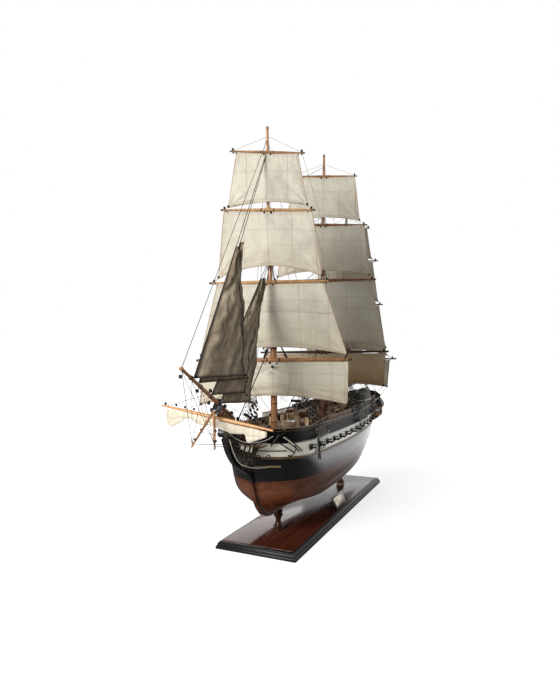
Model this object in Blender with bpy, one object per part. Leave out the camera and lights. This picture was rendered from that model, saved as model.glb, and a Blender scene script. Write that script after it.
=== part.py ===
"""Wooden display model of a three-masted sailing frigate on its mahogany stand.

Units are metres. +X is forward (the bow), +Y is port, +Z is up, and the origin is the
middle of the stand's underside. Every piece is one closed solid with its own name.
"""
import math

import bmesh
import bpy
from mathutils import Matrix, Vector

# Joint gap between two pieces that touch, so that they never share a face
GAP = 0.0003

# Stand: a moulded board, two turned pedestals and a blank nameplate
BOARD_LENGTH = 0.551
BOARD_WIDTH = 0.150
BOARD_HEIGHT = 0.0135
MOULDING_WIDTH = 0.009
PEDESTAL_X = 0.180

# Hull heights: keel, painted waterline, gun stripe and rail amidships
KEEL_BOTTOM = 0.050
RABBET = 0.057
WATERLINE = 0.123
STRIPE_LOW = 0.157
STRIPE_HIGH = 0.180
DECK_TOP = 0.190
RAIL_TOP = 0.204
SHEER_LOW_X = -0.040
SHEER_BOW = 0.0100
SHEER_STERN = 0.0080
BOW_REACH = 0.340
STERN_REACH = 0.345
KEEL_HALF = 0.0035
WALL = 0.0032
PLAN_MIDDLE = 0.120

# Level lines of the hull, from the rabbet up. Columns: height, greatest half breadth,
# bow end in X, stern end in X, bow power, bow root, run power, breadth left at the stern
HULL_LINES = (
    (0.0570, 0.0040, 0.226, -0.318, 2.0, 1.00, 2.0, 0.95),
    (0.0615, 0.0200, 0.240, -0.319, 3.0, 1.00, 1.7, 0.05),
    (0.0700, 0.0510, 0.251, -0.320, 1.6, 1.05, 2.0, 0.07),
    (0.0820, 0.0765, 0.261, -0.321, 2.6, 1.10, 2.2, 0.16),
    (0.0980, 0.0795, 0.270, -0.323, 3.6, 1.20, 2.6, 0.27),
    (0.1150, 0.0805, 0.276, -0.324, 3.9, 1.25, 3.0, 0.36),
    (0.1350, 0.0800, 0.280, -0.326, 4.3, 1.30, 3.2, 0.42),
    (0.1550, 0.0785, 0.284, -0.335, 5.0, 1.35, 3.3, 0.50),
    (0.1800, 0.0765, 0.290, -0.352, 5.0, 1.40, 3.3, 0.60),
    (0.2050, 0.0730, 0.296, -0.372, 5.0, 1.45, 3.0, 0.66),
    (0.2400, 0.0680, 0.301, -0.388, 5.0, 1.50, 3.0, 0.68),
)
STATIONS = 30

# Rudder: radius of its stock, and the ends of the sternpost's after face
RUDDER_STOCK = 0.0026
STERNPOST_FOOT = (-0.3258, 0.0, KEEL_BOTTOM)
STERNPOST_HEAD = (-0.3345, 0.0, 0.1500)

# Guns along each side, in the middle of the stripe
GUN_FIRST_X = 0.205
GUN_PITCH = 0.0385
GUNS_A_SIDE = 13
PORT_SIZE = 0.0090
GUN_RADIUS = 0.0021
GUN_REACH = 0.0105

# Hammock nettings on the quarterdeck's rails: ends in X, height and thickness
NETTING_FRONT = -0.050
NETTING_BACK = -0.300
NETTING_HEIGHT = 0.0135
NETTING_WIDTH = 0.0050

# Two boats stowed keel up on skid beams over the quarterdeck: place and size
STOWED_BOAT_X = -0.195
STOWED_BOAT_Y = 0.0520
STOWED_BOAT_RIM = 0.2200
STOWED_BEAMS_X = (-0.178, -0.212)

# Anchors. The ring end and the crown are given along the bow, each a distance off the hull
CATHEAD_X = 0.2700
ANCHOR_RING = (0.2745, 0.1930)
ANCHOR_CROWN = (0.2520, 0.1725)
ANCHOR_CLEARANCE = 0.0062

# Spars. The bowsprit and the jib-boom rise forward at the same slope
STEEVE = 0.605
CAP_X = 0.386
BOWSPRIT_Z_AT_CAP = 0.2525
BOWSPRIT_HEEL_X = 0.262
BOWSPRIT_RADIUS = 0.0062
JIB_BOOM_RADIUS = 0.0034
JIB_BOOM_LIFT = 0.0113
JIB_BOOM_HEEL_X = 0.340
JIB_BOOM_TIP_X = 0.475
JIB_BOOM_TIP_RADIUS = 0.0022
BRACE_ANGLE = math.radians(20.0)

# Masts. Columns: name, X at the deck, rake in X for each metre up, height of the top,
# of the crosstrees and of the truck, radius of the lower mast
MASTS = (
    ("fore", 0.194, 0.000, 0.372, 0.503, 0.7385, 0.0063),
    ("main", -0.061, -0.065, 0.392, 0.545, 0.7905, 0.0064),
    ("mizzen", -0.2265, -0.080, 0.356, 0.490, 0.7150, 0.0052),
)
DOUBLING = 0.036
TOPMAST_STEP = 0.0115
TOPGALLANT_STEP = 0.0070

# Yards. Columns: mast, yard, height, half length, middle radius
YARDS = (
    ("fore", "course", 0.3235, 0.1390, 0.0036),
    ("fore", "topsail", 0.4616, 0.1080, 0.0032),
    ("fore", "topgallant", 0.5883, 0.0830, 0.0028),
    ("fore", "royal", 0.6909, 0.0660, 0.0023),
    ("main", "course", 0.3367, 0.1430, 0.0036),
    ("main", "topsail", 0.4984, 0.1170, 0.0033),
    ("main", "topgallant", 0.6247, 0.0985, 0.0028),
    ("main", "royal", 0.7374, 0.0750, 0.0023),
    ("mizzen", "course", 0.3180, 0.1240, 0.0031),
    ("mizzen", "topsail", 0.4560, 0.0920, 0.0028),
    ("mizzen", "topgallant", 0.5680, 0.0810, 0.0024),
    ("mizzen", "royal", 0.6540, 0.0600, 0.0020),
)

# Square sails. Columns: mast, sail, half breadth at the head, half breadth at the foot,
# height of the clews, rise of the foot in the middle, belly
SQUARE_SAILS = (
    ("fore", "course", 0.1330, 0.1310, 0.2440, 0.008, 0.014),
    ("fore", "topsail", 0.0945, 0.1310, 0.3320, 0.015, 0.015),
    ("fore", "topgallant", 0.0780, 0.0925, 0.4710, 0.019, 0.011),
    ("fore", "royal", 0.0545, 0.0700, 0.5955, 0.006, 0.008),
    ("main", "course", 0.1360, 0.1330, 0.2610, 0.010, 0.014),
    ("main", "topsail", 0.1050, 0.1370, 0.3450, 0.017, 0.015),
    ("main", "topgallant", 0.0930, 0.1030, 0.5080, 0.012, 0.011),
    ("main", "royal", 0.0700, 0.0820, 0.6320, 0.008, 0.008),
    ("mizzen", "course", 0.1080, 0.1030, 0.2470, 0.010, 0.010),
    ("mizzen", "topsail", 0.0830, 0.1000, 0.3270, 0.018, 0.015),
    ("mizzen", "topgallant", 0.0670, 0.0800, 0.4640, 0.012, 0.009),
    ("mizzen", "royal", 0.0520, 0.0640, 0.5740, 0.006, 0.006),
)
SAIL_THICKNESS = 0.0007

# Headsails, tacked on the centre line. Columns: name, head X and Z, tack X,
# clew X, Y and Z, belly. Each swells further to port than the one behind it
HEADSAILS = (
    ("flying_jib", 0.3230, 0.510, 0.445, 0.352, 0.0280, 0.303, 0.0060),
    ("jib", 0.3090, 0.520, 0.433, 0.333, 0.0160, 0.297, 0.0040),
    ("fore_topmast_staysail", 0.2370, 0.470, 0.401, 0.326, 0.0120, 0.275, 0.0040),
    ("fore_staysail", 0.2270, 0.473, 0.377, 0.291, 0.0040, 0.256, 0.0025),
)

# Colours of the finishes: red, green, blue, roughness, metallic
FINISHES = {
    "mahogany": (0.170, 0.036, 0.014, 0.22, 0.0),
    "black_paint": (0.012, 0.012, 0.013, 0.30, 0.0),
    "bottom_brown": (0.230, 0.075, 0.035, 0.32, 0.0),
    "cream_paint": (0.720, 0.700, 0.610, 0.40, 0.0),
    "deck_wood": (0.480, 0.290, 0.130, 0.50, 0.0),
    "mast_wood": (0.420, 0.150, 0.050, 0.35, 0.0),
    "yard_wood": (0.620, 0.330, 0.100, 0.38, 0.0),
    "dark_wood": (0.085, 0.040, 0.022, 0.40, 0.0),
    "gallery_wood": (0.560, 0.330, 0.150, 0.42, 0.0),
    "canvas": (0.760, 0.710, 0.590, 0.90, 0.0),
    "rope": (0.090, 0.070, 0.050, 0.90, 0.0),
    "plate_metal": (0.560, 0.520, 0.420, 0.30, 1.0),
}


def clear_scene():
    """Remove whatever the opened file holds."""
    for old in list(bpy.data.objects):
        bpy.data.objects.remove(old, do_unlink=True)


def finish(name):
    """Return the Principled material of one finish, made once."""
    if name in bpy.data.materials:
        return bpy.data.materials[name]
    red, green, blue, roughness, metallic = FINISHES[name]
    material = bpy.data.materials.new(name)
    material.use_nodes = True
    shader = material.node_tree.nodes["Principled BSDF"]
    shader.inputs["Base Color"].default_value = (red, green, blue, 1.0)
    shader.inputs["Roughness"].default_value = roughness
    shader.inputs["Metallic"].default_value = metallic
    material.diffuse_color = (red, green, blue, 1.0)
    return material


def place(name, bm, finish_name, smooth_angle=None):
    """Turn a bmesh into a named object with its finish."""
    bmesh.ops.recalc_face_normals(bm, faces=bm.faces)
    mesh = bpy.data.meshes.new(name)
    bm.to_mesh(mesh)
    bm.free()
    if smooth_angle is not None:
        mesh.shade_smooth()
        mesh.set_sharp_from_angle(angle=math.radians(smooth_angle))
    piece = bpy.data.objects.new(name, mesh)
    piece.data.materials.append(finish(finish_name))
    bpy.context.scene.collection.objects.link(piece)
    return piece


def solid_from_rings(bm, rings):
    """Skin a closed solid through rings of equal length and cap both ends."""
    skin = []
    for ring in rings:
        skin.append([bm.verts.new(point) for point in ring])
    count = len(skin[0])
    for near, far in zip(skin, skin[1:]):
        for i in range(count):
            j = (i + 1) % count
            bm.faces.new((near[i], near[j], far[j], far[i]))
    bm.faces.new(skin[0])
    bm.faces.new(skin[-1])
    return bm


def add_box(bm, centre, size, turn=None):
    """Add a box, turned about its own centre if a rotation is given."""
    matrix = Matrix.Translation(centre)
    if turn is not None:
        matrix = matrix @ turn.to_4x4()
    matrix = matrix @ Matrix.Diagonal((*size, 1.0))
    bmesh.ops.create_cube(bm, size=1.0, matrix=matrix)


def add_rod(bm, stops, sides=10):
    """Add a round bar along straight stops, each a place and a radius."""
    start = Vector(stops[0][0])
    along = (Vector(stops[-1][0]) - start).normalized()
    across = along.orthogonal().normalized()
    if abs(along.z) < 0.99:
        across = along.cross(Vector((0.0, 0.0, 1.0))).normalized()
    over = along.cross(across)
    rings = []
    for centre, radius in stops:
        ring = []
        for i in range(sides):
            angle = math.tau * (i + 0.5) / sides
            offset = across * math.cos(angle) + over * math.sin(angle)
            ring.append(Vector(centre) + offset * radius)
        rings.append(ring)
    solid_from_rings(bm, rings)


def add_turned(bm, x, y, profile, sides=16):
    """Add a turned piece on an upright axis from rows of height and radius."""
    add_rod(bm, [((x, y, z), radius) for z, radius in profile], sides)


def add_plate(bm, outline, half_thickness):
    """Add an upright plate on the centre line from an outline in X and Z."""
    near = [bm.verts.new((x, -half_thickness, z)) for x, z in outline]
    far = [bm.verts.new((x, half_thickness, z)) for x, z in outline]
    count = len(outline)
    for i in range(count):
        j = (i + 1) % count
        bm.faces.new((near[i], near[j], far[j], far[i]))
    bm.faces.new(near)
    bm.faces.new(far)


def combine(piece, others, operation):
    """Join or cut a piece with helper solids, and remove the helpers."""
    for other in others:
        bmod = piece.modifiers.new("combine", "BOOLEAN")
        bmod.operation = operation
        bmod.solver = "EXACT"
        bmod.use_self = operation == "UNION"
        bmod.object = other
        other.hide_render = True
        other.display_type = "WIRE"
        bpy.context.view_layer.update()
        graph = bpy.context.evaluated_depsgraph_get()
        shaped = bpy.data.meshes.new_from_object(piece.evaluated_get(graph))
        piece.modifiers.remove(bmod)
        old = piece.data
        piece.data = shaped
        shaped.name = old.name
        bpy.data.meshes.remove(old)
        bpy.data.objects.remove(other, do_unlink=True)
    return piece


def helper(fill):
    """Make a helper solid for joining or cutting."""
    bm = bmesh.new()
    fill(bm)
    return place("helper", bm, "black_paint")


def hull_row(z):
    """Read the hull's level line at a height, on a smooth curve through the table."""
    rows = HULL_LINES
    last = len(rows) - 1
    k = 0
    while k < last - 1 and z > rows[k + 1][0]:
        k += 1
    low, high = rows[k], rows[k + 1]
    before, after = rows[max(k - 1, 0)], rows[min(k + 2, last)]
    step = high[0] - low[0]
    t = min(max((z - low[0]) / step, 0.0), 1.0)
    values = []
    for column in range(1, len(low)):
        slope_low = (high[column] - before[column]) / (high[0] - before[0]) * step
        slope_high = (after[column] - low[column]) / (after[0] - low[0]) * step
        values.append(
            (2 * t ** 3 - 3 * t ** 2 + 1) * low[column]
            + (t ** 3 - 2 * t ** 2 + t) * slope_low
            + (3 * t ** 2 - 2 * t ** 3) * high[column]
            + (t ** 3 - t ** 2) * slope_high
        )
    return values


def half_breadth(x, z):
    """Half breadth of the hull at a place along it and a height."""
    half, bow_x, stern_x, bow_power, bow_root, run_power, stern_part = hull_row(z)
    if x >= PLAN_MIDDLE:
        part = min((x - PLAN_MIDDLE) / (bow_x - PLAN_MIDDLE), 1.0)
        fullness = (1.0 - part ** bow_power) ** (1.0 / bow_root)
    else:
        part = min((PLAN_MIDDLE - x) / (PLAN_MIDDLE - stern_x), 1.0)
        fullness = stern_part + (1.0 - stern_part) * (1.0 - part ** run_power)
    return max(half * fullness, KEEL_HALF + GAP)


def sheer(x):
    """Rise of the decks and stripes towards the bow and the stern."""
    if x > SHEER_LOW_X:
        return SHEER_BOW * ((x - SHEER_LOW_X) / BOW_REACH) ** 2
    return SHEER_STERN * ((SHEER_LOW_X - x) / STERN_REACH) ** 2


def station_parts():
    """Places along a level line, from 0 at the stern to 1 at the bow, closer at the ends."""
    return [0.5 - 0.5 * math.cos(math.pi * i / (STATIONS - 1)) for i in range(STATIONS)]


def hull_slab(low, high, rows, inset=0.0, follows_sheer=(True, True), overrun=0.0):
    """Rings of a slice of the hull between two heights, stern to bow."""
    rings = []
    for part in station_parts():
        port = []
        for k in range(rows + 1):
            share = k / rows
            x = -0.3 + 0.6 * part
            for _ in range(4):
                z_low = low + (sheer(x) if follows_sheer[0] else 0.0)
                z_high = high + (sheer(x) if follows_sheer[1] else 0.0)
                z = z_low + (z_high - z_low) * share
                _, bow_x, stern_x, *_ = hull_row(z)
                x = stern_x + inset + (bow_x - stern_x - 2.0 * inset) * part
            y = max(half_breadth(x, z) - inset, 0.0008)
            port.append((x, y, z))
        if overrun > 0.0:
            port.insert(0, (port[0][0], port[0][1], port[0][2] - overrun))
            port.append((port[-1][0], port[-1][1], port[-1][2] + overrun))
        starboard = [(x, -y, z) for x, y, z in reversed(port)]
        rings.append(port + starboard)
    return rings


def add_hull_slab(bm, rings):
    """Skin a hull slice with triangles, so that nested slices turn their edges alike."""
    skin = []
    for ring in rings:
        skin.append([bm.verts.new(point) for point in ring])
    count = len(skin[0])
    for near, far in zip(skin, skin[1:]):
        for i in range(count):
            j = (i + 1) % count
            bm.faces.new((near[i], near[j], far[j]))
            bm.faces.new((near[i], far[j], far[i]))
    for end in (skin[0], skin[-1]):
        for i in range(count // 2 - 1):
            bm.faces.new((end[i], end[i + 1], end[count - 2 - i], end[count - 1 - i]))


def hull_helper(low, high, rows, inset=0.0, follows_sheer=(True, True), overrun=0.0):
    """Helper solid of a hull slice."""
    rings = hull_slab(low, high, rows, inset, follows_sheer, overrun)
    return helper(lambda bm: add_hull_slab(bm, rings))


# Bands of the hull. Columns: low edge, high edge, rows, and whether each edge has sheer
HULL_BANDS = {
    "bottom": (RABBET, WATERLINE, 10, False, False),
    "wale": (WATERLINE + GAP, STRIPE_LOW, 2, False, True),
    "stripe": (STRIPE_LOW + GAP, STRIPE_HIGH, 1, True, True),
    "bulwark": (STRIPE_HIGH + GAP, RAIL_TOP, 1, True, True),
}


def band_helper(band, inset=0.0, overrun=0.0):
    """Helper solid of a whole band of the hull."""
    low, high, rows, low_sheer, high_sheer = HULL_BANDS[band]
    rings = hull_slab(low, high, rows, inset, (low_sheer, high_sheer), overrun)
    return helper(lambda bm: add_hull_slab(bm, rings))


def place_band(name, band, finish_name, inset=0.0):
    """Place a whole band of the hull as a piece."""
    low, high, rows, low_sheer, high_sheer = HULL_BANDS[band]
    bm = bmesh.new()
    add_hull_slab(bm, hull_slab(low, high, rows, inset, (low_sheer, high_sheer)))
    return place(name, bm, finish_name, 50)


def gun_places():
    """Centre and outward angle of every gun port, port side first."""
    places = []
    for i in range(GUNS_A_SIDE):
        x = GUN_FIRST_X - GUN_PITCH * i
        z = 0.5 * (STRIPE_LOW + STRIPE_HIGH) + sheer(x)
        y = half_breadth(x, z)
        slope = (half_breadth(x + 0.004, z) - half_breadth(x - 0.004, z)) / 0.008
        angle = math.atan(-slope)
        places.append((x, y, z, angle))
    return places


def bowsprit_point(x, lift=0.0):
    """Point on the bowsprit's centre line, or on a line lifted off it."""
    return Vector((x, 0.0, BOWSPRIT_Z_AT_CAP + lift + STEEVE * (x - CAP_X)))


def jib_boom_radius(x):
    """Radius of the tapered jib-boom outside its cap."""
    share = min(max((x - CAP_X) / (JIB_BOOM_TIP_X - 0.004 - CAP_X), 0.0), 1.0)
    return (JIB_BOOM_RADIUS - 0.0002) * (1.0 - share) + JIB_BOOM_TIP_RADIUS * share


def bowsprit_cutter():
    """Cutter that clears the bowsprit's way through the bow."""
    def fill(bm):
        radius = BOWSPRIT_RADIUS + 0.0004
        add_rod(bm, [(bowsprit_point(BOWSPRIT_HEEL_X - 0.0006), radius),
                     (bowsprit_point(0.330), radius)], 14)
    return helper(fill)


def build_stand():
    """Board with its black moulded edge, two pedestals and a blank nameplate."""
    half_length = 0.5 * BOARD_LENGTH
    half_width = 0.5 * BOARD_WIDTH
    inner_length = half_length - MOULDING_WIDTH
    inner_width = half_width - MOULDING_WIDTH

    bm = bmesh.new()
    add_box(bm, (0.0, 0.0, 0.5 * BOARD_HEIGHT),
            (2 * (inner_length - GAP), 2 * (inner_width - GAP), BOARD_HEIGHT))
    place("base_board", bm, "mahogany")

    # The edge moulding is a ring of square plan: a plinth, a round and a small top step
    profile = ((0.0, 0.0), (0.0, 0.0060), (0.0022, 0.0080), (0.0040, 0.0108),
               (0.0075, 0.0122), (MOULDING_WIDTH, 0.0125), (MOULDING_WIDTH, 0.0))
    bm = bmesh.new()
    corners = []
    for sign_x, sign_y in ((1, 1), (-1, 1), (-1, -1), (1, -1)):
        corners.append([bm.verts.new((sign_x * (half_length - run), sign_y * (half_width - run), rise))
                        for run, rise in profile])
    count = len(profile)
    for k in range(4):
        near, far = corners[k], corners[(k + 1) % 4]
        for i in range(count):
            j = (i + 1) % count
            bm.faces.new((near[i], near[j], far[j], far[i]))
    place("base_moulding", bm, "black_paint")

    top = KEEL_BOTTOM - GAP
    foot = BOARD_HEIGHT + GAP
    height = top - foot
    # Columns: share of the height, radius
    baluster = ((0.00, 0.0100), (0.10, 0.0100), (0.16, 0.0070), (0.24, 0.0086), (0.34, 0.0060),
                (0.50, 0.0046), (0.66, 0.0062), (0.76, 0.0084), (0.84, 0.0064), (0.90, 0.0080),
                (1.00, 0.0080))
    for name, x in (("pedestal_front", PEDESTAL_X), ("pedestal_rear", -PEDESTAL_X)):
        bm = bmesh.new()
        add_turned(bm, x, 0.0, [(foot + share * height, radius) for share, radius in baluster])
        place(name, bm, "dark_wood", 40)

    bm = bmesh.new()
    lean = Matrix.Rotation(math.radians(25.0), 3, "X")
    add_box(bm, (0.0, 0.0560, foot + 0.0125), (0.062, 0.0030, 0.0250), lean)
    plate = place("nameplate", bm, "plate_metal")
    block = helper(lambda m: add_box(m, (0.0, 0.0500, foot + 0.0050), (0.040, 0.0120, 0.0100)))
    combine(plate, [block], "UNION")


def build_hull():
    """Painted bottom, wale, gun stripe with its guns, bulwarks and deck."""
    place_band("hull_bottom", "bottom", "bottom_brown")
    place_band("hull_wale", "wale", "black_paint")
    stripe = place_band("gun_stripe", "stripe", "cream_paint")
    combine(stripe, [band_helper("stripe", WALL, 0.002)], "DIFFERENCE")

    def ports(m):
        for x, y, z, angle in gun_places():
            for side in (1, -1):
                turn = Matrix.Rotation(-side * angle, 3, "Z")
                add_box(m, (x, side * y, z), (PORT_SIZE, 0.014, PORT_SIZE), turn)
    combine(stripe, [helper(ports)], "DIFFERENCE")
    combine(stripe, [bowsprit_cutter()], "DIFFERENCE")

    guns = place_band("gun_deck", "stripe", "black_paint", WALL + GAP)

    def barrels(m):
        for x, y, z, angle in gun_places():
            for side in (1, -1):
                out = Vector((math.sin(angle), side * math.cos(angle), 0.0))
                root = Vector((x, side * y, z - 0.0006)) - out * 0.009
                muzzle = Vector((x, side * y, z - 0.0006)) + out * GUN_REACH
                add_rod(m, [(root, GUN_RADIUS * 1.2), (muzzle - out * 0.0018, GUN_RADIUS * 0.85),
                            (muzzle, GUN_RADIUS * 1.1)], 6)
    combine(guns, [helper(barrels)], "UNION")

    def lids(m):
        lid_z = 0.5 * PORT_SIZE - 0.0003 - 0.0006
        for x, y, z, angle in gun_places():
            for side in (1, -1):
                out = Vector((math.sin(angle), side * math.cos(angle), 0.0))
                turn = Matrix.Rotation(-side * angle, 3, "Z")
                centre = Vector((x, side * y, z + lid_z)) + out * 0.0010
                add_box(m, centre, (PORT_SIZE - 2 * GAP, 0.0160, 0.0012), turn)
    combine(guns, [helper(lids)], "UNION")
    combine(guns, [bowsprit_cutter()], "DIFFERENCE")

    walls = place_band("bulwarks", "bulwark", "black_paint")
    combine(walls, [hull_helper(RAIL_TOP - 0.0016, RAIL_TOP + 0.0004, 1, -0.0012)], "UNION")

    def channels(m):
        for x_front, x_back in ((0.196, 0.140), (-0.064, -0.128), (-0.232, -0.276)):
            z = STRIPE_HIGH + 0.004 + sheer(0.5 * (x_front + x_back))
            inner = min(half_breadth(x_front, z), half_breadth(x_back, z)) - 0.002
            outer = max(half_breadth(x_front, z), half_breadth(x_back, z)) + 0.0105
            for side in (1, -1):
                add_box(m, (0.5 * (x_front + x_back), side * 0.5 * (inner + outer), z),
                        (x_front - x_back, outer - inner, 0.0018))
    combine(walls, [helper(channels), helper(add_catheads)], "UNION")
    combine(walls, [band_helper("bulwark", WALL, 0.003)], "DIFFERENCE")
    combine(walls, [bowsprit_cutter()], "DIFFERENCE")
    combine(walls, [helper(add_nettings), helper(add_anchors)], "UNION")

    # The deck is the inside of the bulwarks, cut off at the planking's height
    deck = place_band("deck", "bulwark", "deck_wood", WALL + GAP)
    combine(deck, [hull_helper(DECK_TOP, RAIL_TOP + 0.0040, 1, -0.0040)], "DIFFERENCE")
    combine(deck, [helper(add_deck_pieces), helper(add_belfry), helper(add_stowed_boats)], "UNION")
    combine(deck, [bowsprit_cutter()], "DIFFERENCE")


def cathead_tip(side):
    """Outer end of the timber that an anchor hangs from."""
    height = RAIL_TOP + sheer(CATHEAD_X) - 0.0024
    return Vector((CATHEAD_X + 0.0065, side * (half_breadth(CATHEAD_X, height) + 0.0105), height))


def add_catheads(bm):
    """A stout timber each side, out and forward over the bow from inside the bulwark."""
    for side in (1, -1):
        tip = cathead_tip(side)
        root = Vector((CATHEAD_X - 0.0060, side * (half_breadth(CATHEAD_X, tip.z) - 0.0080), tip.z))
        along = tip - root
        turn = Matrix.Rotation(math.atan2(along.y, along.x), 3, "Z")
        add_box(bm, 0.5 * (root + tip), (along.length, 0.0036, 0.0036), turn)


def add_nettings(bm):
    """A trough of hammocks along the rail each side, rounded over the top."""
    steps = 8
    for side in (1, -1):
        rings = []
        for k in range(steps + 1):
            x = NETTING_FRONT + (NETTING_BACK - NETTING_FRONT) * k / steps
            base = RAIL_TOP + sheer(x) - 0.0010
            outer = half_breadth(x, RAIL_TOP + sheer(x)) + 0.0004
            inner = outer - NETTING_WIDTH
            shoulder = base + 0.78 * NETTING_HEIGHT
            rings.append([(x, side * inner, base), (x, side * outer, base), (x, side * outer, shoulder),
                          (x, side * 0.5 * (outer + inner), base + NETTING_HEIGHT),
                          (x, side * inner, shoulder)])
        solid_from_rings(bm, rings)


def add_anchors(bm):
    """An anchor each side, lashed up along the bow under its cathead."""
    for side in (1, -1):
        ends = []
        for x, z in (ANCHOR_RING, ANCHOR_CROWN):
            slope = (half_breadth(x + 0.004, z) - half_breadth(x - 0.004, z)) / 0.008
            out = Vector((-slope, side, 0.0)).normalized()
            ends.append(Vector((x, side * half_breadth(x, z), z)) + out * ANCHOR_CLEARANCE)
        ring, crown = ends
        shank = (crown - ring).normalized()
        out = (out - shank * out.dot(shank)).normalized()
        flat_way = shank.cross(out)
        tip = cathead_tip(side)
        add_rod(bm, [(ring, 0.0013), (crown, 0.0010)], 6)
        add_rod(bm, [(tip - Vector((0.0, 0.0, 0.0010)), 0.0008), (ring + shank * 0.0008, 0.0008)], 6)
        stock = flat_way * 0.985 + out * 0.170
        middle = ring + shank * 0.0040
        add_rod(bm, [(middle - stock * 0.0120, 0.0009), (middle, 0.0017), (middle + stock * 0.0120, 0.0009)], 6)
        for way in (1, -1):
            elbow = crown + flat_way * (way * 0.0055) - shank * 0.0016
            palm = crown + flat_way * (way * 0.0098) - shank * 0.0058
            add_rod(bm, [(crown - flat_way * (way * 0.0006), 0.0012), (elbow, 0.0010)], 6)
            add_rod(bm, [(elbow - flat_way * (way * 0.0004), 0.0011), (palm, 0.0018)], 6)


def deck_height(x):
    """Height of the deck's planking."""
    return DECK_TOP + sheer(x)


# Boxes that stand on the deck. Columns: X, Y, length, breadth, height
DECK_BOXES = (
    (0.240, 0.0, 0.020, 0.024, 0.006),
    (0.150, 0.0, 0.026, 0.028, 0.004),
    (0.112, 0.0, 0.024, 0.028, 0.010),
    (0.092, 0.0, 0.020, 0.026, 0.005),
    (-0.018, 0.0, 0.018, 0.026, 0.005),
    (-0.090, 0.0, 0.022, 0.026, 0.005),
    (-0.150, 0.0, 0.022, 0.024, 0.005),
    (-0.192, 0.0, 0.010, 0.016, 0.012),
    (-0.268, 0.0, 0.022, 0.026, 0.010),
    (-0.325, 0.0, 0.016, 0.050, 0.008),
)


def add_belfry(bm):
    """Belfry on the galley: four posts, an arched roof and the galley's funnel over it."""
    x_middle, half_length, eaves = 0.111, 0.0085, 0.2180
    floor = deck_height(x_middle) + 0.0090
    for x in (x_middle - 0.0060, x_middle + 0.0060):
        for side in (1, -1):
            add_box(bm, (x, side * 0.0085, 0.5 * (floor + eaves) + 0.0004), (0.0020, 0.0020, eaves - floor + 0.0008))
    arch = ((-0.0115, 0.0), (-0.0115, 0.0025), (-0.0075, 0.0072), (0.0, 0.0095),
            (0.0075, 0.0072), (0.0115, 0.0025), (0.0115, 0.0))
    solid_from_rings(bm, [[(x, y, eaves + rise) for y, rise in arch]
                          for x in (x_middle - half_length, x_middle + half_length)])
    add_rod(bm, [((x_middle, 0.0, eaves + 0.0080), 0.0013), ((x_middle, 0.0, 0.2385), 0.0013)], 8)
    add_rod(bm, [((x_middle, side * 0.0095, 0.2385), 0.0026) for side in (-1, 1)], 8)


# A stowed boat, keel up. Columns: X from its middle, half breadth, height of the keel over the rim
STOWED_SECTIONS = ((-0.044, 0.0080, 0.0180), (-0.030, 0.0135, 0.0245), (-0.005, 0.0160, 0.0265),
                   (0.020, 0.0150, 0.0260), (0.036, 0.0095, 0.0235), (0.045, 0.0022, 0.0195))


def add_stowed_boats(bm):
    """Two boats, keel up, on two beams that stand on posts from the deck."""
    for x in STOWED_BEAMS_X:
        add_box(bm, (x, 0.0, STOWED_BOAT_RIM - 0.0008), (0.0040, 0.1190, 0.0032))
        for across in (-0.0298, 0.0298):
            foot = deck_height(x) - 0.0010
            head = STOWED_BOAT_RIM - 0.0012
            add_box(bm, (x, across, 0.5 * (foot + head)), (0.0034, 0.0034, head - foot))
    for side in (1, -1):
        rings = []
        for along, half, keel in STOWED_SECTIONS:
            section = ((half, 0.0), (0.94 * half, 0.48 * keel), (0.62 * half, 0.84 * keel), (0.0006, keel),
                       (-0.0006, keel), (-0.62 * half, 0.84 * keel), (-0.94 * half, 0.48 * keel), (-half, 0.0))
            rings.append([(STOWED_BOAT_X + along, side * STOWED_BOAT_Y + y, STOWED_BOAT_RIM + z)
                          for y, z in section])
        solid_from_rings(bm, rings)


def add_deck_pieces(bm):
    """Hatches, galley, capstan, binnacle, wheel and the long-boat on its skids."""
    for x, y, length, breadth, height in DECK_BOXES:
        z = deck_height(x)
        add_box(bm, (x, y, z + 0.5 * height - 0.001), (length, breadth, height + 0.002))
    z = deck_height(-0.122)
    add_turned(bm, -0.122, 0.0, ((z - 0.001, 0.0060), (z + 0.002, 0.0060), (z + 0.004, 0.0040),
                                 (z + 0.010, 0.0036), (z + 0.0105, 0.0066), (z + 0.0135, 0.0066)), 12)
    # Two skid beams cross the waist on posts and carry the long-boat
    for x in (0.062, 0.020):
        z = deck_height(x)
        add_box(bm, (x, 0.0, z + 0.0125), (0.0045, 0.0560, 0.0030))
        for side in (1, -1):
            add_box(bm, (x, side * 0.0235, z + 0.0050), (0.0034, 0.0034, 0.0130))
    # Columns: X, half breadth, keel height and sheer height above the skids
    sections = ((-0.008, 0.0075, 0.0020, 0.0135), (0.004, 0.0120, 0.0000, 0.0120),
                (0.022, 0.0140, -0.0006, 0.0112), (0.046, 0.0140, -0.0006, 0.0112),
                (0.066, 0.0115, 0.0000, 0.0122), (0.080, 0.0050, 0.0025, 0.0140))
    base = deck_height(0.04) + 0.0134
    rings = []
    for x, half, keel, top in sections:
        rings.append([(x, half, base + top), (x, 0.86 * half, base + keel + 0.40 * (top - keel)),
                      (x, 0.30 * half, base + keel), (x, -0.30 * half, base + keel),
                      (x, -0.86 * half, base + keel + 0.40 * (top - keel)), (x, -half, base + top)])
    solid_from_rings(bm, rings)


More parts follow.
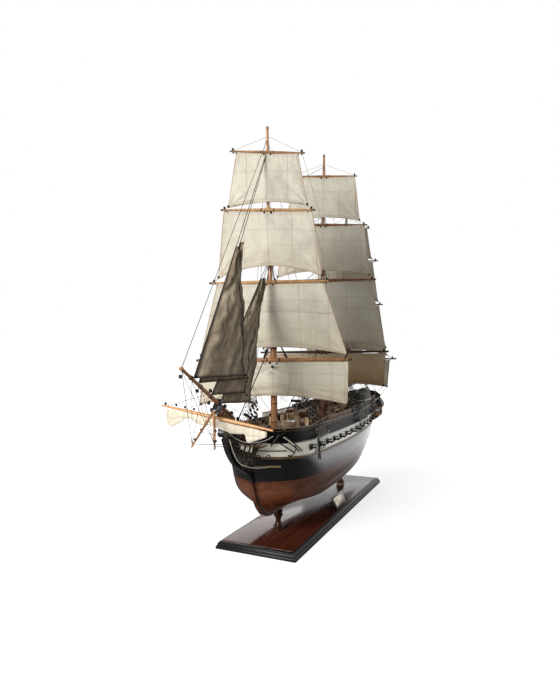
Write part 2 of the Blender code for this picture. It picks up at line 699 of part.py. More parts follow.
# Outline of the timbers on the centre line. Columns: X, Z, from the stern round the keel
KEEL_OUTER = ((-0.3345, 0.1500), (-0.3258, 0.0500), (0.2180, 0.0500), (0.2330, 0.0530),
              (0.2480, 0.0605), (0.2620, 0.0740), (0.2740, 0.0920), (0.2830, 0.1120),
              (0.2880, 0.1290), (0.2965, 0.1390), (0.3160, 0.1490), (0.3350, 0.1590),
              (0.3500, 0.1740), (0.3600, 0.1910), (0.3665, 0.2070), (0.3690, 0.2200),
              (0.3590, 0.2215), (0.3480, 0.2165), (0.3300, 0.2075), (0.3130, 0.1965))


def keel_inner():
    """Inner line of the centre timbers, a little inside the hull that then cuts it."""
    points = []
    depth = 0.0012
    height = RAIL_TOP - 0.0160 + sheer(0.296)
    while height > RABBET + 0.004:
        points.append((hull_row(height)[1] - depth, height))
        height -= 0.0105
    points.append((0.2200, RABBET + depth))
    points.append((-0.3180 + depth, RABBET + depth))
    height = RABBET + 0.006
    while height < 0.146:
        points.append((hull_row(height)[2] + depth, height))
        height += 0.015
    return points


def cut_by_hull(piece):
    """Cut a piece back to a gap outside the hull's bands."""
    for band in HULL_BANDS:
        combine(piece, [band_helper(band, -GAP, GAP)], "DIFFERENCE")


def stem_scroll(growth):
    """Helper solid of the round scroll that finishes the stem head."""
    def fill(m):
        matrix = Matrix.Translation((0.3710, 0.0, 0.2180)) @ Matrix.Rotation(math.radians(90), 4, "X")
        bmesh.ops.create_cone(m, cap_ends=True, segments=12, radius1=0.0075 + growth,
                              radius2=0.0075 + growth, depth=0.0100 + 2 * growth, matrix=matrix)
    return helper(fill)


def build_centre_timbers():
    """Keel, stem with the knee of the head, sternpost, rudder and head rails."""
    bm = bmesh.new()
    add_plate(bm, list(KEEL_OUTER) + keel_inner(), KEEL_HALF)
    keel = place("keel_and_stem", bm, "dark_wood")

    combine(keel, [stem_scroll(0.0)], "UNION")
    combine(keel, [bowsprit_cutter()], "DIFFERENCE")
    cut_by_hull(keel)

    # The rudder turns on a line along the sternpost's after face
    foot, head = rudder_axis()
    along = (head - foot).normalized()
    aft = Vector((-along.z, 0.0, along.x))
    bm = bmesh.new()
    add_rod(bm, [(foot + along * 0.003, RUDDER_STOCK), (foot + along * 0.098, RUDDER_STOCK)], 16)
    rudder = place("rudder", bm, "dark_wood")

    def blade(m):
        # Columns: distance up the sternpost, distance aft
        outline = ((0.004, 0.0), (0.004, 0.0215), (0.030, 0.0205), (0.052, 0.0160),
                   (0.056, 0.0125), (0.090, 0.0100), (0.096, 0.0060), (0.096, 0.0))
        points = []
        for up, back in outline:
            point = foot + along * up + aft * back
            points.append((point.x, point.z))
        add_plate(m, points, 0.0021)
    combine(rudder, [helper(blade)], "UNION")


def rudder_axis():
    """Foot and head of the rudder's hinge line."""
    foot = Vector(STERNPOST_FOOT)
    head = Vector(STERNPOST_HEAD)
    along = (head - foot).normalized()
    aft = Vector((-along.z, 0.0, along.x))
    offset = aft * (RUDDER_STOCK + 0.0004)
    return foot + offset, head + offset


def build_head_rails():
    """Curved rails and timbers on both sides of the head, joined at the stem."""
    # Columns: X, half breadth, Z of the upper rail; the lower cheek runs below it
    upper = ((0.3640, 0.0062, 0.2150), (0.3480, 0.0100, 0.2040), (0.3300, 0.0165, 0.1965),
             (0.3130, 0.0250, 0.1940), (0.2990, 0.0345, 0.1960), (0.2870, 0.0420, 0.2010))
    lower = ((0.3640, 0.0062, 0.2070), (0.3530, 0.0062, 0.1850), (0.3360, 0.0070, 0.1660),
             (0.3160, 0.0120, 0.1560), (0.3000, 0.0200, 0.1520), (0.2860, 0.0300, 0.1515))

    def rails(m):
        for side in (1, -1):
            for path, half_high, half_wide in ((upper, 0.0018, 0.0014), (lower, 0.0018, 0.0016)):
                rings = []
                for x, y, z in path:
                    rings.append([(x, side * (y - half_wide), z - half_high),
                                  (x, side * (y + half_wide), z - half_high),
                                  (x, side * (y + half_wide), z + half_high),
                                  (x, side * (y - half_wide), z + half_high)])
                solid_from_rings(m, rings)

    bm = bmesh.new()
    add_box(bm, (0.3655, 0.0, 0.2110), (0.0040, 0.0150, 0.0130))
    head = place("head_rails", bm, "black_paint")
    combine(head, [helper(rails)], "UNION")

    def timbers(m):
        for side in (1, -1):
            for k in (1, 2, 3, 4):
                x_up, y_up, z_up = upper[k]
                x_low, y_low, z_low = lower[k]
                add_rod(m, [((x_up, side * y_up, z_up), 0.0015),
                            ((x_low, side * y_low, z_low), 0.0015)], 6)
    combine(head, [helper(timbers)], "UNION")
    combine(head, [helper(lambda m: add_plate(m, list(KEEL_OUTER) + keel_inner(), KEEL_HALF + GAP))],
            "DIFFERENCE")
    cut_by_hull(head)
    combine(head, [bowsprit_cutter(), stem_scroll(GAP)], "DIFFERENCE")


def build_stern():
    """Stern and quarter galleries wrapped round the after end of the hull."""
    # Columns: height, growth outwards, length forward of the stern
    levels = ((0.1520, -0.0020, 0.030), (0.1580, 0.0070, 0.046), (0.1640, 0.0120, 0.052),
              (0.1900, 0.0130, 0.052), (0.1910, 0.0145, 0.054), (0.1945, 0.0145, 0.054),
              (0.2060, 0.0060, 0.046))
    rings = []
    for z, growth, reach in levels:
        stern_x = hull_row(z)[2]
        after = stern_x - 0.0040 - 0.4 * max(growth, 0.0)
        front = stern_x + reach
        half_front = half_breadth(front, z)
        half_after = half_breadth(stern_x, z)
        side = [(front, half_front - 0.004), (front - 0.006, half_front + growth),
                (stern_x + 0.008, half_after + growth + 0.004), (after, half_after + 0.4 * growth)]
        ring = [(x, y, z) for x, y in side] + [(x, -y, z) for x, y in reversed(side)]
        rings.append(ring)
    bm = bmesh.new()
    solid_from_rings(bm, rings)
    stern = place("stern_gallery", bm, "gallery_wood")

    def taffrail(m):
        # Columns: height, half breadth of the arched board above the counter
        board = ((0.1960, 0.0500), (0.2060, 0.0510), (0.2160, 0.0520), (0.2240, 0.0400), (0.2285, 0.0180))
        board_rings = []
        for z, half in board:
            x = hull_row(z)[2] - 0.0018
            board_rings.append([(x, half, z), (x, -half, z), (x - 0.0042, -half, z), (x - 0.0042, half, z)])
        solid_from_rings(m, board_rings)
    combine(stern, [helper(taffrail)], "UNION")
    combine(stern, [hull_helper(0.140, 0.2395, 9, -0.0016, (False, False))], "DIFFERENCE")


def mast_axis(mast, z):
    """X of the lower mast's centre line at a height."""
    _, deck_x, rake, _, _, _, _ = mast
    return deck_x + rake * (z - deck_height(deck_x))


def topmast_x(mast, z):
    """X of the topmast's centre line, in front of the lower mast."""
    return mast_axis(mast, z) + TOPMAST_STEP


def topgallant_x(mast, z):
    """X of the topgallant mast's centre line, in front of the topmast."""
    return topmast_x(mast, z) + TOPGALLANT_STEP


def lower_profile(mast):
    """Height and radius of the lower mast, from the deck up."""
    _, deck_x, _, top_z, _, _, lower = mast
    return ((deck_height(deck_x) + GAP + 0.0005, lower), (top_z - 0.030, 0.92 * lower),
            (top_z, 0.84 * lower), (top_z + DOUBLING + 0.001, 0.76 * lower))


def topmast_profile(mast):
    """Height and radius of the topmast, from its heel up."""
    _, _, _, top_z, cross_z, _, lower = mast
    radius = 0.66 * lower
    return ((top_z - 0.0040, radius - 0.0003), (top_z + DOUBLING + 0.004, radius - 0.0003),
            (cross_z, 0.84 * radius), (cross_z + 0.62 * DOUBLING + 0.001, 0.74 * radius))


def pole_profile(mast):
    """Height and radius of the topgallant pole, with its truck."""
    _, _, _, _, cross_z, truck_z, lower = mast
    return ((cross_z - 0.003, 0.44 * lower), (cross_z + 0.45 * (truck_z - cross_z), 0.40 * lower),
            (truck_z - 0.006, 0.27 * lower), (truck_z - 0.0055, 0.44 * lower),
            (truck_z - 0.0020, 0.44 * lower), (truck_z, 0.20 * lower))


def mast_radius(mast, z):
    """Radius of whichever mast carries a yard or a stay at this height."""
    _, _, _, top_z, cross_z, _, _ = mast
    profile = pole_profile(mast)
    if z < cross_z:
        profile = topmast_profile(mast)
    if z < top_z:
        profile = lower_profile(mast)
    for (low_z, low), (high_z, high) in zip(profile, profile[1:]):
        if z <= high_z:
            return low + (high - low) * (z - low_z) / (high_z - low_z)
    return profile[-1][1]


def build_masts():
    """Lower masts with tops and caps, and upper masts with crosstrees."""
    for mast in MASTS:
        name, deck_x, rake, top_z, cross_z, truck_z, lower = mast
        cap_z = top_z + DOUBLING

        bm = bmesh.new()
        add_rod(bm, [((mast_axis(mast, z), 0.0, z), radius) for z, radius in lower_profile(mast)], 12)
        low = place(name + "_lower_mast", bm, "mast_wood", 40)

        def top(m):
            x = mast_axis(mast, top_z)
            spread = 3.1 * lower
            outline = ((x - 1.7 * lower, spread), (x + 1.4 * lower, spread), (x + 2.7 * lower, 0.70 * spread),
                       (x + 3.2 * lower, 0.30 * spread))
            ring = list(outline) + [(px, -py) for px, py in reversed(outline)]
            solid_from_rings(m, [[(px, py, top_z - 0.0008) for px, py in ring],
                                 [(px, py, top_z + 0.0012) for px, py in ring]])

        def cheeks(m):
            x = mast_axis(mast, top_z - 0.010)
            for side in (1, -1):
                add_box(m, (x + 0.003, side * 0.80 * lower, top_z - 0.0080),
                        (0.0160, 0.0022, 0.0160))
            x_cap = mast_axis(mast, cap_z)
            add_box(m, (x_cap + 0.5 * TOPMAST_STEP, 0.0, cap_z), (TOPMAST_STEP + 0.0130, 0.0110, 0.0042))
        combine(low, [helper(top)], "UNION")
        combine(low, [helper(cheeks)], "UNION")

        top_radius = 0.66 * lower
        head_z = cross_z + 0.62 * DOUBLING

        def clearance(m):
            add_rod(m, [((topmast_x(mast, z), 0.0, z), top_radius + GAP)
                        for z in (top_z - 0.006, cap_z + 0.008)], 12)
        combine(low, [helper(clearance)], "DIFFERENCE")

        bm = bmesh.new()
        add_rod(bm, [((topmast_x(mast, z), 0.0, z), radius) for z, radius in topmast_profile(mast)], 12)
        high = place(name + "_upper_mast", bm, "mast_wood", 40)

        def crosstrees(m):
            x = topmast_x(mast, cross_z)
            add_box(m, (x + 0.0030, 0.0, cross_z), (0.0240, 0.0060, 0.0016))
            for offset in (-0.0030, 0.0095):
                add_box(m, (x + offset, 0.0, cross_z + 0.0008), (0.0018, 4.6 * lower, 0.0018))
            x_cap = topmast_x(mast, head_z)
            add_box(m, (x_cap + 0.5 * TOPGALLANT_STEP, 0.0, head_z),
                    (TOPGALLANT_STEP + 0.0080, 0.0070, 0.0030))

        def pole(m):
            add_rod(m, [((topgallant_x(mast, z), 0.0, z), radius) for z, radius in pole_profile(mast)], 10)
        combine(high, [helper(crosstrees)], "UNION")
        combine(high, [helper(pole)], "UNION")


def mast_named(name):
    """Row of the mast table by its name."""
    return [row for row in MASTS if row[0] == name][0]


def yard_row(mast_name, yard_name):
    """Row of the yard table by its mast and its own name."""
    return [row for row in YARDS if row[0] == mast_name and row[1] == yard_name][0]


def yard_centre(row):
    """Centre of a yard, a gap in front of the mast that carries it."""
    mast_name, yard_name, z, _, radius = row
    mast = mast_named(mast_name)
    _, _, _, top_z, cross_z, _, _ = mast
    if z < top_z:
        x = mast_axis(mast, z)
    elif z < cross_z:
        x = topmast_x(mast, z)
    else:
        x = topgallant_x(mast, z)
    reach = mast_radius(mast, z) + radius + GAP + 0.0002
    return Vector((x, 0.0, z)) + yard_normal() * reach


def yard_normal():
    """Level direction that the braced yards face."""
    return Vector((math.cos(BRACE_ANGLE), math.sin(BRACE_ANGLE), 0.0))


def yard_port():
    """Level direction from a braced yard's middle to its port end."""
    return Vector((-math.sin(BRACE_ANGLE), math.cos(BRACE_ANGLE), 0.0))


def build_yards():
    """Twelve square yards, tapered to both ends."""
    for row in YARDS:
        mast_name, yard_name, _, half, radius = row
        centre = yard_centre(row)
        stops = []
        for share, part in ((-1.0, 0.52), (-0.90, 0.56), (-0.45, 0.86), (0.0, 1.0),
                            (0.45, 0.86), (0.90, 0.56), (1.0, 0.52)):
            stops.append((centre + yard_port() * (half * share), radius * part))
        bm = bmesh.new()
        add_rod(bm, stops, 10)
        place(mast_name + "_" + yard_name + "_yard", bm, "yard_wood", 40)


def sail_solid(name, grid):
    """Thicken a grid of sail points into a closed cloth solid."""
    bm = bmesh.new()
    verts = []
    for line in grid:
        verts.append([bm.verts.new(point) for point in line])
    for i in range(len(verts) - 1):
        for j in range(len(verts[0]) - 1):
            bm.faces.new((verts[i][j], verts[i][j + 1], verts[i + 1][j + 1], verts[i + 1][j]))
    bmesh.ops.recalc_face_normals(bm, faces=bm.faces)
    mesh = bpy.data.meshes.new(name)
    bm.to_mesh(mesh)
    bm.free()
    mesh.shade_smooth()
    sail = bpy.data.objects.new(name, mesh)
    sail.data.materials.append(finish("canvas"))
    bpy.context.scene.collection.objects.link(sail)
    thick = sail.modifiers.new("cloth thickness", "SOLIDIFY")
    thick.thickness = SAIL_THICKNESS
    thick.offset = 0.0
    thick.use_even_offset = False
    return sail


def build_square_sails():
    """Twelve square sails, each laced under its yard and full of wind."""
    columns = 6
    rows = 5
    for mast_name, sail_name, half_head, half_foot, clew_z, rise, belly in SQUARE_SAILS:
        yard = yard_row(mast_name, sail_name)
        centre = yard_centre(yard)
        head_z = centre.z - yard[4] - GAP - 0.0002
        mast = mast_named(mast_name)
        names = [row[1] for row in YARDS if row[0] == mast_name]
        position = names.index(sail_name)
        if position == 0:
            foot_centre = Vector(centre) + Vector((mast[2] * (clew_z - centre.z), 0.0, 0.0))
        else:
            foot_centre = yard_centre(yard_row(mast_name, names[position - 1]))
        grid = []
        for i in range(rows + 1):
            down = i / rows
            line = []
            for j in range(columns + 1):
                across = 2.0 * j / columns - 1.0
                lift = rise * (1.0 - across ** 2) * down ** 1.5
                z = head_z + (clew_z - head_z) * down + lift
                half = half_head + (half_foot - half_head) * down
                middle = centre.lerp(foot_centre, down)
                swell = belly * math.sin(math.pi * 0.78 * down) * (1.0 - 0.85 * across ** 2)
                swell *= 1.0 if down < 1.0 else (1.0 - across ** 2)
                point = Vector((middle.x, middle.y, z))
                point += yard_port() * (half * across) + yard_normal() * swell
                line.append(point)
            grid.append(line)
        sail_solid(mast_name + "_" + sail_name + "_sail", grid)


def build_bowsprit():
    """Bowsprit with its cap, jib-boom, twin dolphin strikers and the spritsail."""
    bm = bmesh.new()
    add_rod(bm, [(bowsprit_point(BOWSPRIT_HEEL_X), BOWSPRIT_RADIUS),
                 (bowsprit_point(0.330), BOWSPRIT_RADIUS),
                 (bowsprit_point(CAP_X + 0.001), 0.0052)], 12)
    sprit = place("bowsprit", bm, "mast_wood", 40)
    tilt = Matrix.Rotation(-math.atan(STEEVE), 3, "Y")

    def cap(m):
        add_box(m, bowsprit_point(CAP_X, 0.5 * JIB_BOOM_LIFT), (0.0050, 0.0130, 0.0240), tilt)
    combine(sprit, [helper(cap)], "UNION")

    def boom_way(m):
        add_rod(m, [(bowsprit_point(CAP_X - 0.020, JIB_BOOM_LIFT), JIB_BOOM_RADIUS + GAP),
                    (bowsprit_point(CAP_X + 0.020, JIB_BOOM_LIFT), JIB_BOOM_RADIUS + GAP)], 12)
    combine(sprit, [helper(boom_way)], "DIFFERENCE")

    bm = bmesh.new()
    add_rod(bm, [(bowsprit_point(JIB_BOOM_HEEL_X, JIB_BOOM_LIFT), JIB_BOOM_RADIUS - 0.0002),
                 (bowsprit_point(CAP_X, JIB_BOOM_LIFT), JIB_BOOM_RADIUS - 0.0002),
                 (bowsprit_point(JIB_BOOM_TIP_X - 0.004, JIB_BOOM_LIFT), JIB_BOOM_TIP_RADIUS),
                 (bowsprit_point(JIB_BOOM_TIP_X - 0.0035, JIB_BOOM_LIFT), 0.0030),
                 (bowsprit_point(JIB_BOOM_TIP_X, JIB_BOOM_LIFT), 0.0030)], 12)
    place("jib_boom", bm, "dark_wood", 40)

    # The strikers hang square to the bowsprit from a saddle under the cap
    along = Vector((1.0, 0.0, STEEVE)).normalized()
    down = Vector((along.z, 0.0, -along.x))
    root = bowsprit_point(CAP_X + 0.0068)
    bm = bmesh.new()
    for side in (1, -1):
        tip = root + down * 0.059 + Vector((0.0, side * 0.0195, 0.0))
        start = root + down * 0.004 + Vector((0.0, side * 0.0008, 0.0))
        add_rod(bm, [(start, 0.0019), (start.lerp(tip, 0.3), 0.0022), (tip, 0.0015)], 8)
    strikers = place("dolphin_striker", bm, "yard_wood", 40)
    block = helper(lambda m: add_box(m, root + down * 0.0035, (0.0058, 0.0085, 0.0090), tilt))
    combine(strikers, [block], "UNION")
    combine(strikers, [helper(lambda m: add_box(
        m, bowsprit_point(CAP_X, 0.5 * JIB_BOOM_LIFT), (0.0050 + 2 * GAP, 0.0150, 0.0260), tilt))],
        "DIFFERENCE")

    # The spritsail yard crosses below the bowsprit with its sail gathered on it
    heel = math.radians(8.5)
    port = Vector((0.0, math.cos(heel), -math.sin(heel)))
    middle = bowsprit_point(0.3840) + Vector((0.0, -0.0060, -0.0093))
    bm = bmesh.new()
    half = 0.0965
    add_rod(bm, [(middle + port * (half * share), 0.0030 * part) for share, part in
                 ((-1.0, 0.55), (-0.9, 0.6), (0.0, 1.0), (0.9, 0.6), (1.0, 0.55))], 10)
    place("spritsail_yard", bm, "yard_wood", 40)

    # Columns: share along the yard, drop of the bunt, half depth fore and aft
    bundle = ((-0.92, 0.0150, 0.0030), (-0.84, 0.0290, 0.0045), (-0.70, 0.0250, 0.0050),
              (-0.52, 0.0110, 0.0045), (-0.25, 0.0110, 0.0045), (0.0, 0.0080, 0.0040),
              (0.30, 0.0130, 0.0045), (0.50, 0.0190, 0.0048), (0.64, 0.0260, 0.0045),
              (0.78, 0.0140, 0.0030))
    rings = []
    for share, drop, depth in bundle:
        centre = middle + port * (half * share) + Vector((0.0, 0.0, -0.0036 - 0.5 * drop))
        ring = []
        for i in range(10):
            angle = math.tau * i / 10
            ring.append(centre + Vector((depth * math.cos(angle), 0.0, 0.5 * drop * math.sin(angle))))
        rings.append(ring)
    bm = bmesh.new()
    solid_from_rings(bm, rings)
    place("spritsail", bm, "canvas", 60)


def build_headsails():
    """Four three-cornered sails on the stays between the fore mast and the jib-boom."""
    rows = 6
    columns = 4
    for name, head_x, head_z, tack_x, clew_x, clew_y, clew_z, belly in HEADSAILS:
        clear = (jib_boom_radius(tack_x) + 0.0007) * math.hypot(1.0, STEEVE)
        boom_top = bowsprit_point(tack_x, JIB_BOOM_LIFT).z + clear
        head = Vector((head_x, 0.0, head_z))
        tack = Vector((tack_x, 0.0, boom_top))
        clew = Vector((clew_x, clew_y, clew_z))
        grid = []
        for i in range(rows + 1):
            down = 0.03 + 0.97 * i / rows
            luff = head.lerp(tack, down)
            leech = head.lerp(clew, down)
            line = []
            for j in range(columns + 1):
                across = j / columns
                point = luff.lerp(leech, across)
                swell = belly * math.sin(math.pi * across ** 0.8) * math.sin(math.pi * (0.1 + 0.75 * down))
                line.append(point + Vector((0.0, swell, 0.0)))
            grid.append(line)
        sail_solid(name, grid)


def build_spanker():
    """Gaff, boom and fore-and-aft sail abaft the mizzen mast."""
    mizzen = mast_named("mizzen")
    lower = mizzen[6]
    spars = (("spanker_gaff", 0.3330, Vector((-0.3650, 0.0, 0.3880)), 0.0024),
             ("spanker_boom", 0.2470, Vector((-0.4500, 0.0, 0.2600)), 0.0030))
    lines = {}
    for name, jaw_z, tip, radius in spars:
        jaw = Vector((mast_axis(mizzen, jaw_z) - lower - 0.0012, 0.0, jaw_z))
        bm = bmesh.new()
        add_rod(bm, [(jaw, 0.9 * radius), (jaw.lerp(tip, 0.4), radius), (tip, 0.65 * radius)], 10)
        place(name, bm, "yard_wood", 40)
        lines[name] = (jaw, tip, radius)
    gaff_jaw, gaff_tip, gaff_radius = lines["spanker_gaff"]
    boom_jaw, boom_tip, boom_radius = lines["spanker_boom"]
    below_gaff = Vector((0.0, 0.0, -1.1 * gaff_radius - 0.0009))
    above_boom = Vector((0.0, 0.0, boom_radius + 0.0009))
    throat = gaff_jaw.lerp(gaff_tip, 0.04) + below_gaff
    peak = gaff_jaw.lerp(gaff_tip, 0.94) + below_gaff
    tack = boom_jaw.lerp(boom_tip, 0.04) + above_boom
    clew = boom_jaw.lerp(boom_tip, 0.90) + above_boom
    grid = []
    for i in range(7):
        down = i / 6
        line = []
        for j in range(7):
            back = j / 6
            point = throat.lerp(tack, down).lerp(peak.lerp(clew, down), back)
            swell = -0.009 * math.sin(math.pi * back) * math.sin(math.pi * down)
            line.append(point + Vector((0.0, swell, 0.0)))
        grid.append(line)
    sail_solid("spanker", grid)


def build_main_stays():
    """The heavy stays from the lower mastheads, one to each mast."""
    main = mast_named("main")
    collar_z = 0.2320
    collar_x = mast_axis(main, collar_z) - mast_radius(main, collar_z) - 0.0010
    stays = (
        ("fore_stay", "fore", 0.3560, bowsprit_point(0.3300) + Vector((0.0, 0.0, 0.0082))),
        ("main_stay", "main", 0.3620, Vector((0.1835, 0.0, deck_height(0.1835) + 0.0016))),
        ("mizzen_stay", "mizzen", 0.3400, Vector((collar_x, 0.0, collar_z))),
    )
    for name, mast_name, z, lower_end in stays:
        mast = mast_named(mast_name)
        upper_end = Vector((mast_axis(mast, z) + mast_radius(mast, z) + 0.0011, 0.0, z))
        bm = bmesh.new()
        add_rod(bm, [(upper_end, 0.0009), (lower_end, 0.0009)], 6)
        place(name, bm, "rope")


clear_scene()
build_stand()
build_hull()
build_centre_timbers()
build_head_rails()
build_stern()
build_masts()
build_yards()
build_square_sails()
build_bowsprit()
build_headsails()
build_spanker()
build_main_stays()
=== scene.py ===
"""Looks of a wooden display model of a three-masted sailing frigate on its stand.

Metres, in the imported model's frame: +X forward to the bow, +Y to port, +Z up.
"""
import math

import bmesh
import bpy
from mathutils import Matrix, Vector, noise


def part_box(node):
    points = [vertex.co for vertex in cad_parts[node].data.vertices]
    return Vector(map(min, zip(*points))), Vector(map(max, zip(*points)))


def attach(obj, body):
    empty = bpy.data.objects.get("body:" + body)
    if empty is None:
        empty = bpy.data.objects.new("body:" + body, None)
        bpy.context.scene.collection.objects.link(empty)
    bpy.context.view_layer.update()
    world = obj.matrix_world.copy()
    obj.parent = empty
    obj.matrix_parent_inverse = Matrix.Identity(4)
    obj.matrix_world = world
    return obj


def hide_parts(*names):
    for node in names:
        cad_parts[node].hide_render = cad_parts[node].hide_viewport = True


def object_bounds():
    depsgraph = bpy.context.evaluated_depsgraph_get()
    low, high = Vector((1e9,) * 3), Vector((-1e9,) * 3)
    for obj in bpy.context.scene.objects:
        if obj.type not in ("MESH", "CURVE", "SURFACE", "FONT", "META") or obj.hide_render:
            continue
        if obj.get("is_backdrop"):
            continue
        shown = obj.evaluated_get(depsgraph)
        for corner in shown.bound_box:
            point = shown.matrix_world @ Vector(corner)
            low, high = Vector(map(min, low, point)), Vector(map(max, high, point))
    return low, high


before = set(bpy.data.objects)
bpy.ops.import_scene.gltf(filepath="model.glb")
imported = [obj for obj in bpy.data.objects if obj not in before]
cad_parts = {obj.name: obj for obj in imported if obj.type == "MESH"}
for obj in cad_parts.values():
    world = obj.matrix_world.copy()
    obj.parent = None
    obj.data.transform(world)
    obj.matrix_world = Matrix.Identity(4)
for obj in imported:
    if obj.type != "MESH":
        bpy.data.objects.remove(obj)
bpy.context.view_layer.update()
bpy.ops.object.select_all(action="DESELECT")


# Studio. A white floor that runs into a white backdrop, large soft boxes, and the camera where
# the photograph was taken from: about 1.1 m away, level with the lower sails, off the port bow.
class Socket:
    """One output of a shader node, for use in Python expressions."""

    def __init__(self, maker, output):
        self.maker = maker
        self.output = output

    def maths(self, operation, first, second=0.0):
        return self.maker.node("Math", {"operation": operation}, {0: first, 1: second})

    def __add__(self, other):
        return self.maths("ADD", self, other)

    def __sub__(self, other):
        return self.maths("SUBTRACT", self, other)

    def __rsub__(self, other):
        return self.maths("SUBTRACT", other, self)

    def __mul__(self, other):
        return self.maths("MULTIPLY", self, other)

    def __truediv__(self, other):
        return self.maths("DIVIDE", self, other)

    def __gt__(self, other):
        return self.maths("GREATER_THAN", self, other)

    def __lt__(self, other):
        return self.maths("LESS_THAN", self, other)

    def __abs__(self):
        return self.maths("ABSOLUTE", self)

    def floor(self):
        return self.maths("FLOOR", self)

    def fraction(self):
        return self.maths("FRACT", self)

    def least(self, other):
        return self.maths("MINIMUM", self, other)

    def most(self, other):
        return self.maths("MAXIMUM", self, other)

    def part(self, axis):
        """One coordinate of a place: 0, 1 or 2."""
        return self.maker.node("SeparateXYZ", {}, {0: self}, axis)

    def rises(self, low, high):
        """0 below low, 1 above high, smooth between."""
        return self.maker.node("MapRange", {"interpolation_type": "SMOOTHSTEP"},
                               {"Value": self, "From Min": low, "From Max": high})

    __radd__ = __add__
    __rmul__ = __mul__


class Finish:
    """A material: its Principled shader and the nodes that feed it."""

    def __init__(self, name, values, tree=None):
        if tree is None:
            self.material = bpy.data.materials.new(name)
            self.material.use_nodes = True
            tree = self.material.node_tree
            self.shader = tree.nodes["Principled BSDF"]
        self.tree = tree
        for socket, value in values.items():
            self.shader.inputs[socket].default_value = value

    def node(self, kind, settings, sockets, output=0):
        """Add a node: its settings first, then the values or links of its sockets."""
        made = self.tree.nodes.new("ShaderNode" + kind)
        for name, value in settings.items():
            setattr(made, name, value)
        for name, value in sockets.items():
            self.feed(made.inputs[name], value)
        return Socket(self, made.outputs[output])

    def feed(self, socket, value):
        if isinstance(value, Socket):
            self.tree.links.new(value.output, socket)
        else:
            socket.default_value = value

    def place(self, stretch=(1.0, 1.0, 1.0), turn=0.0):
        """Object coordinates, turned about the upright axis and stretched."""
        here = self.node("TexCoord", {}, {}, "Object")
        return self.node("Mapping", {}, {"Vector": here, "Rotation": (0.0, 0.0, turn), "Scale": stretch})

    def cloth(self, name):
        """A named UV map of the piece."""
        return self.node("UVMap", {"uv_map": name}, {})

    def grain(self, where, scale, detail=3.0, roughness=0.55):
        """Noise from 0 to 1."""
        return self.node("TexNoise", {}, {"Vector": where, "Scale": scale, "Detail": detail,
                                          "Roughness": roughness})

    def mix(self, share, first, second, blend="MIX"):
        """One colour changing to another; each is three numbers or a socket."""
        first, second = (value if isinstance(value, Socket) else (*value, 1.0) for value in (first, second))
        settings = {"data_type": "RGBA", "blend_type": blend}
        return self.node("Mix", settings, {0: share, 6: first, 7: second}, 2)

    def colour(self, value):
        self.feed(self.shader.inputs["Base Color"], value)

    def roughness(self, value):
        self.feed(self.shader.inputs["Roughness"], value)

    def relief(self, height, depth):
        """Bump from a height between 0 and 1, as deep as depth in metres."""
        bump = self.node("Bump", {}, {"Height": height, "Strength": 1.0, "Distance": depth})
        self.tree.links.new(bump.output, self.shader.inputs["Normal"])


EYE = (1.0280, 0.4014, 0.3379)
EYE_HEADING = 3.5777
EYE_PITCH = -0.0035
EYE_ROLL = -0.0082
PHOTO_HEIGHT = 700
FOCAL_PIXELS = 512.26
SENSOR = 36.0

scene = bpy.context.scene
scene.view_settings.view_transform = "Standard"
bpy.ops.object.camera_add(location=EYE)
camera = bpy.context.object
camera.data.sensor_width = SENSOR
camera.data.lens = FOCAL_PIXELS / PHOTO_HEIGHT * SENSOR
camera.data.clip_start = 0.01
ahead = Vector((math.cos(EYE_HEADING), math.sin(EYE_HEADING), -math.tan(EYE_PITCH)))
camera.rotation_euler = (ahead.to_track_quat("-Z", "Y").to_matrix()
                         @ Matrix.Rotation(EYE_ROLL, 3, "Z")).to_euler()
scene.camera = camera

bpy.ops.mesh.primitive_plane_add(size=14.0)
floor = bpy.context.object
floor.name = "studio_floor"
pale = Finish("studio_floor", {"Roughness": 0.6, "Specular IOR Level": 0.1,
                               "Emission Color": (1.0, 1.0, 1.0, 1.0)})
lit = pale.node("LightPath", {}, {}, "Is Camera Ray")
paper = pale.mix(pale.grain(pale.place(), 3.0), (0.43, 0.43, 0.43), (0.40, 0.40, 0.40))
mirrored = pale.node("LightPath", {}, {}, "Is Glossy Ray")
pale.colour(pale.mix(mirrored, paper, (0.07, 0.07, 0.07)))
spread = pale.node("VectorMath", {"operation": "LENGTH"}, {0: pale.place()}, "Value")
behind_stern = (pale.place().part(0) * -1.0).rises(0.18, 0.85)
shown = lit * (spread.rises(0.3, 1.2) * 0.35 + 0.72)
pale.feed(pale.shader.inputs["Emission Strength"], shown + mirrored * behind_stern * 0.75 + 0.01)
floor.data.materials.append(pale.material)
floor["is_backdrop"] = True

world = bpy.data.worlds.new("studio")
scene.world = world
world.use_nodes = True
sweep = Finish("studio", {}, world.node_tree)
sight = sweep.node("TexCoord", {}, {}, "Generated")
backdrop = sight.part(0) * -0.985 + sight.part(1) * 0.17
seen = sweep.node("LightPath", {}, {}, "Is Camera Ray")
soaked = sweep.node("LightPath", {}, {}, "Is Diffuse Ray")
mirrored = sweep.mix(backdrop.rises(0.30, 1.00), (0.03, 0.03, 0.03), (1.0, 1.0, 1.0))
glow = sweep.mix(soaked, mirrored, (0.20, 0.20, 0.21))
sweep.feed(world.node_tree.nodes["Background"].inputs["Color"], sweep.mix(seen, glow, (1.0, 1.0, 1.0)))

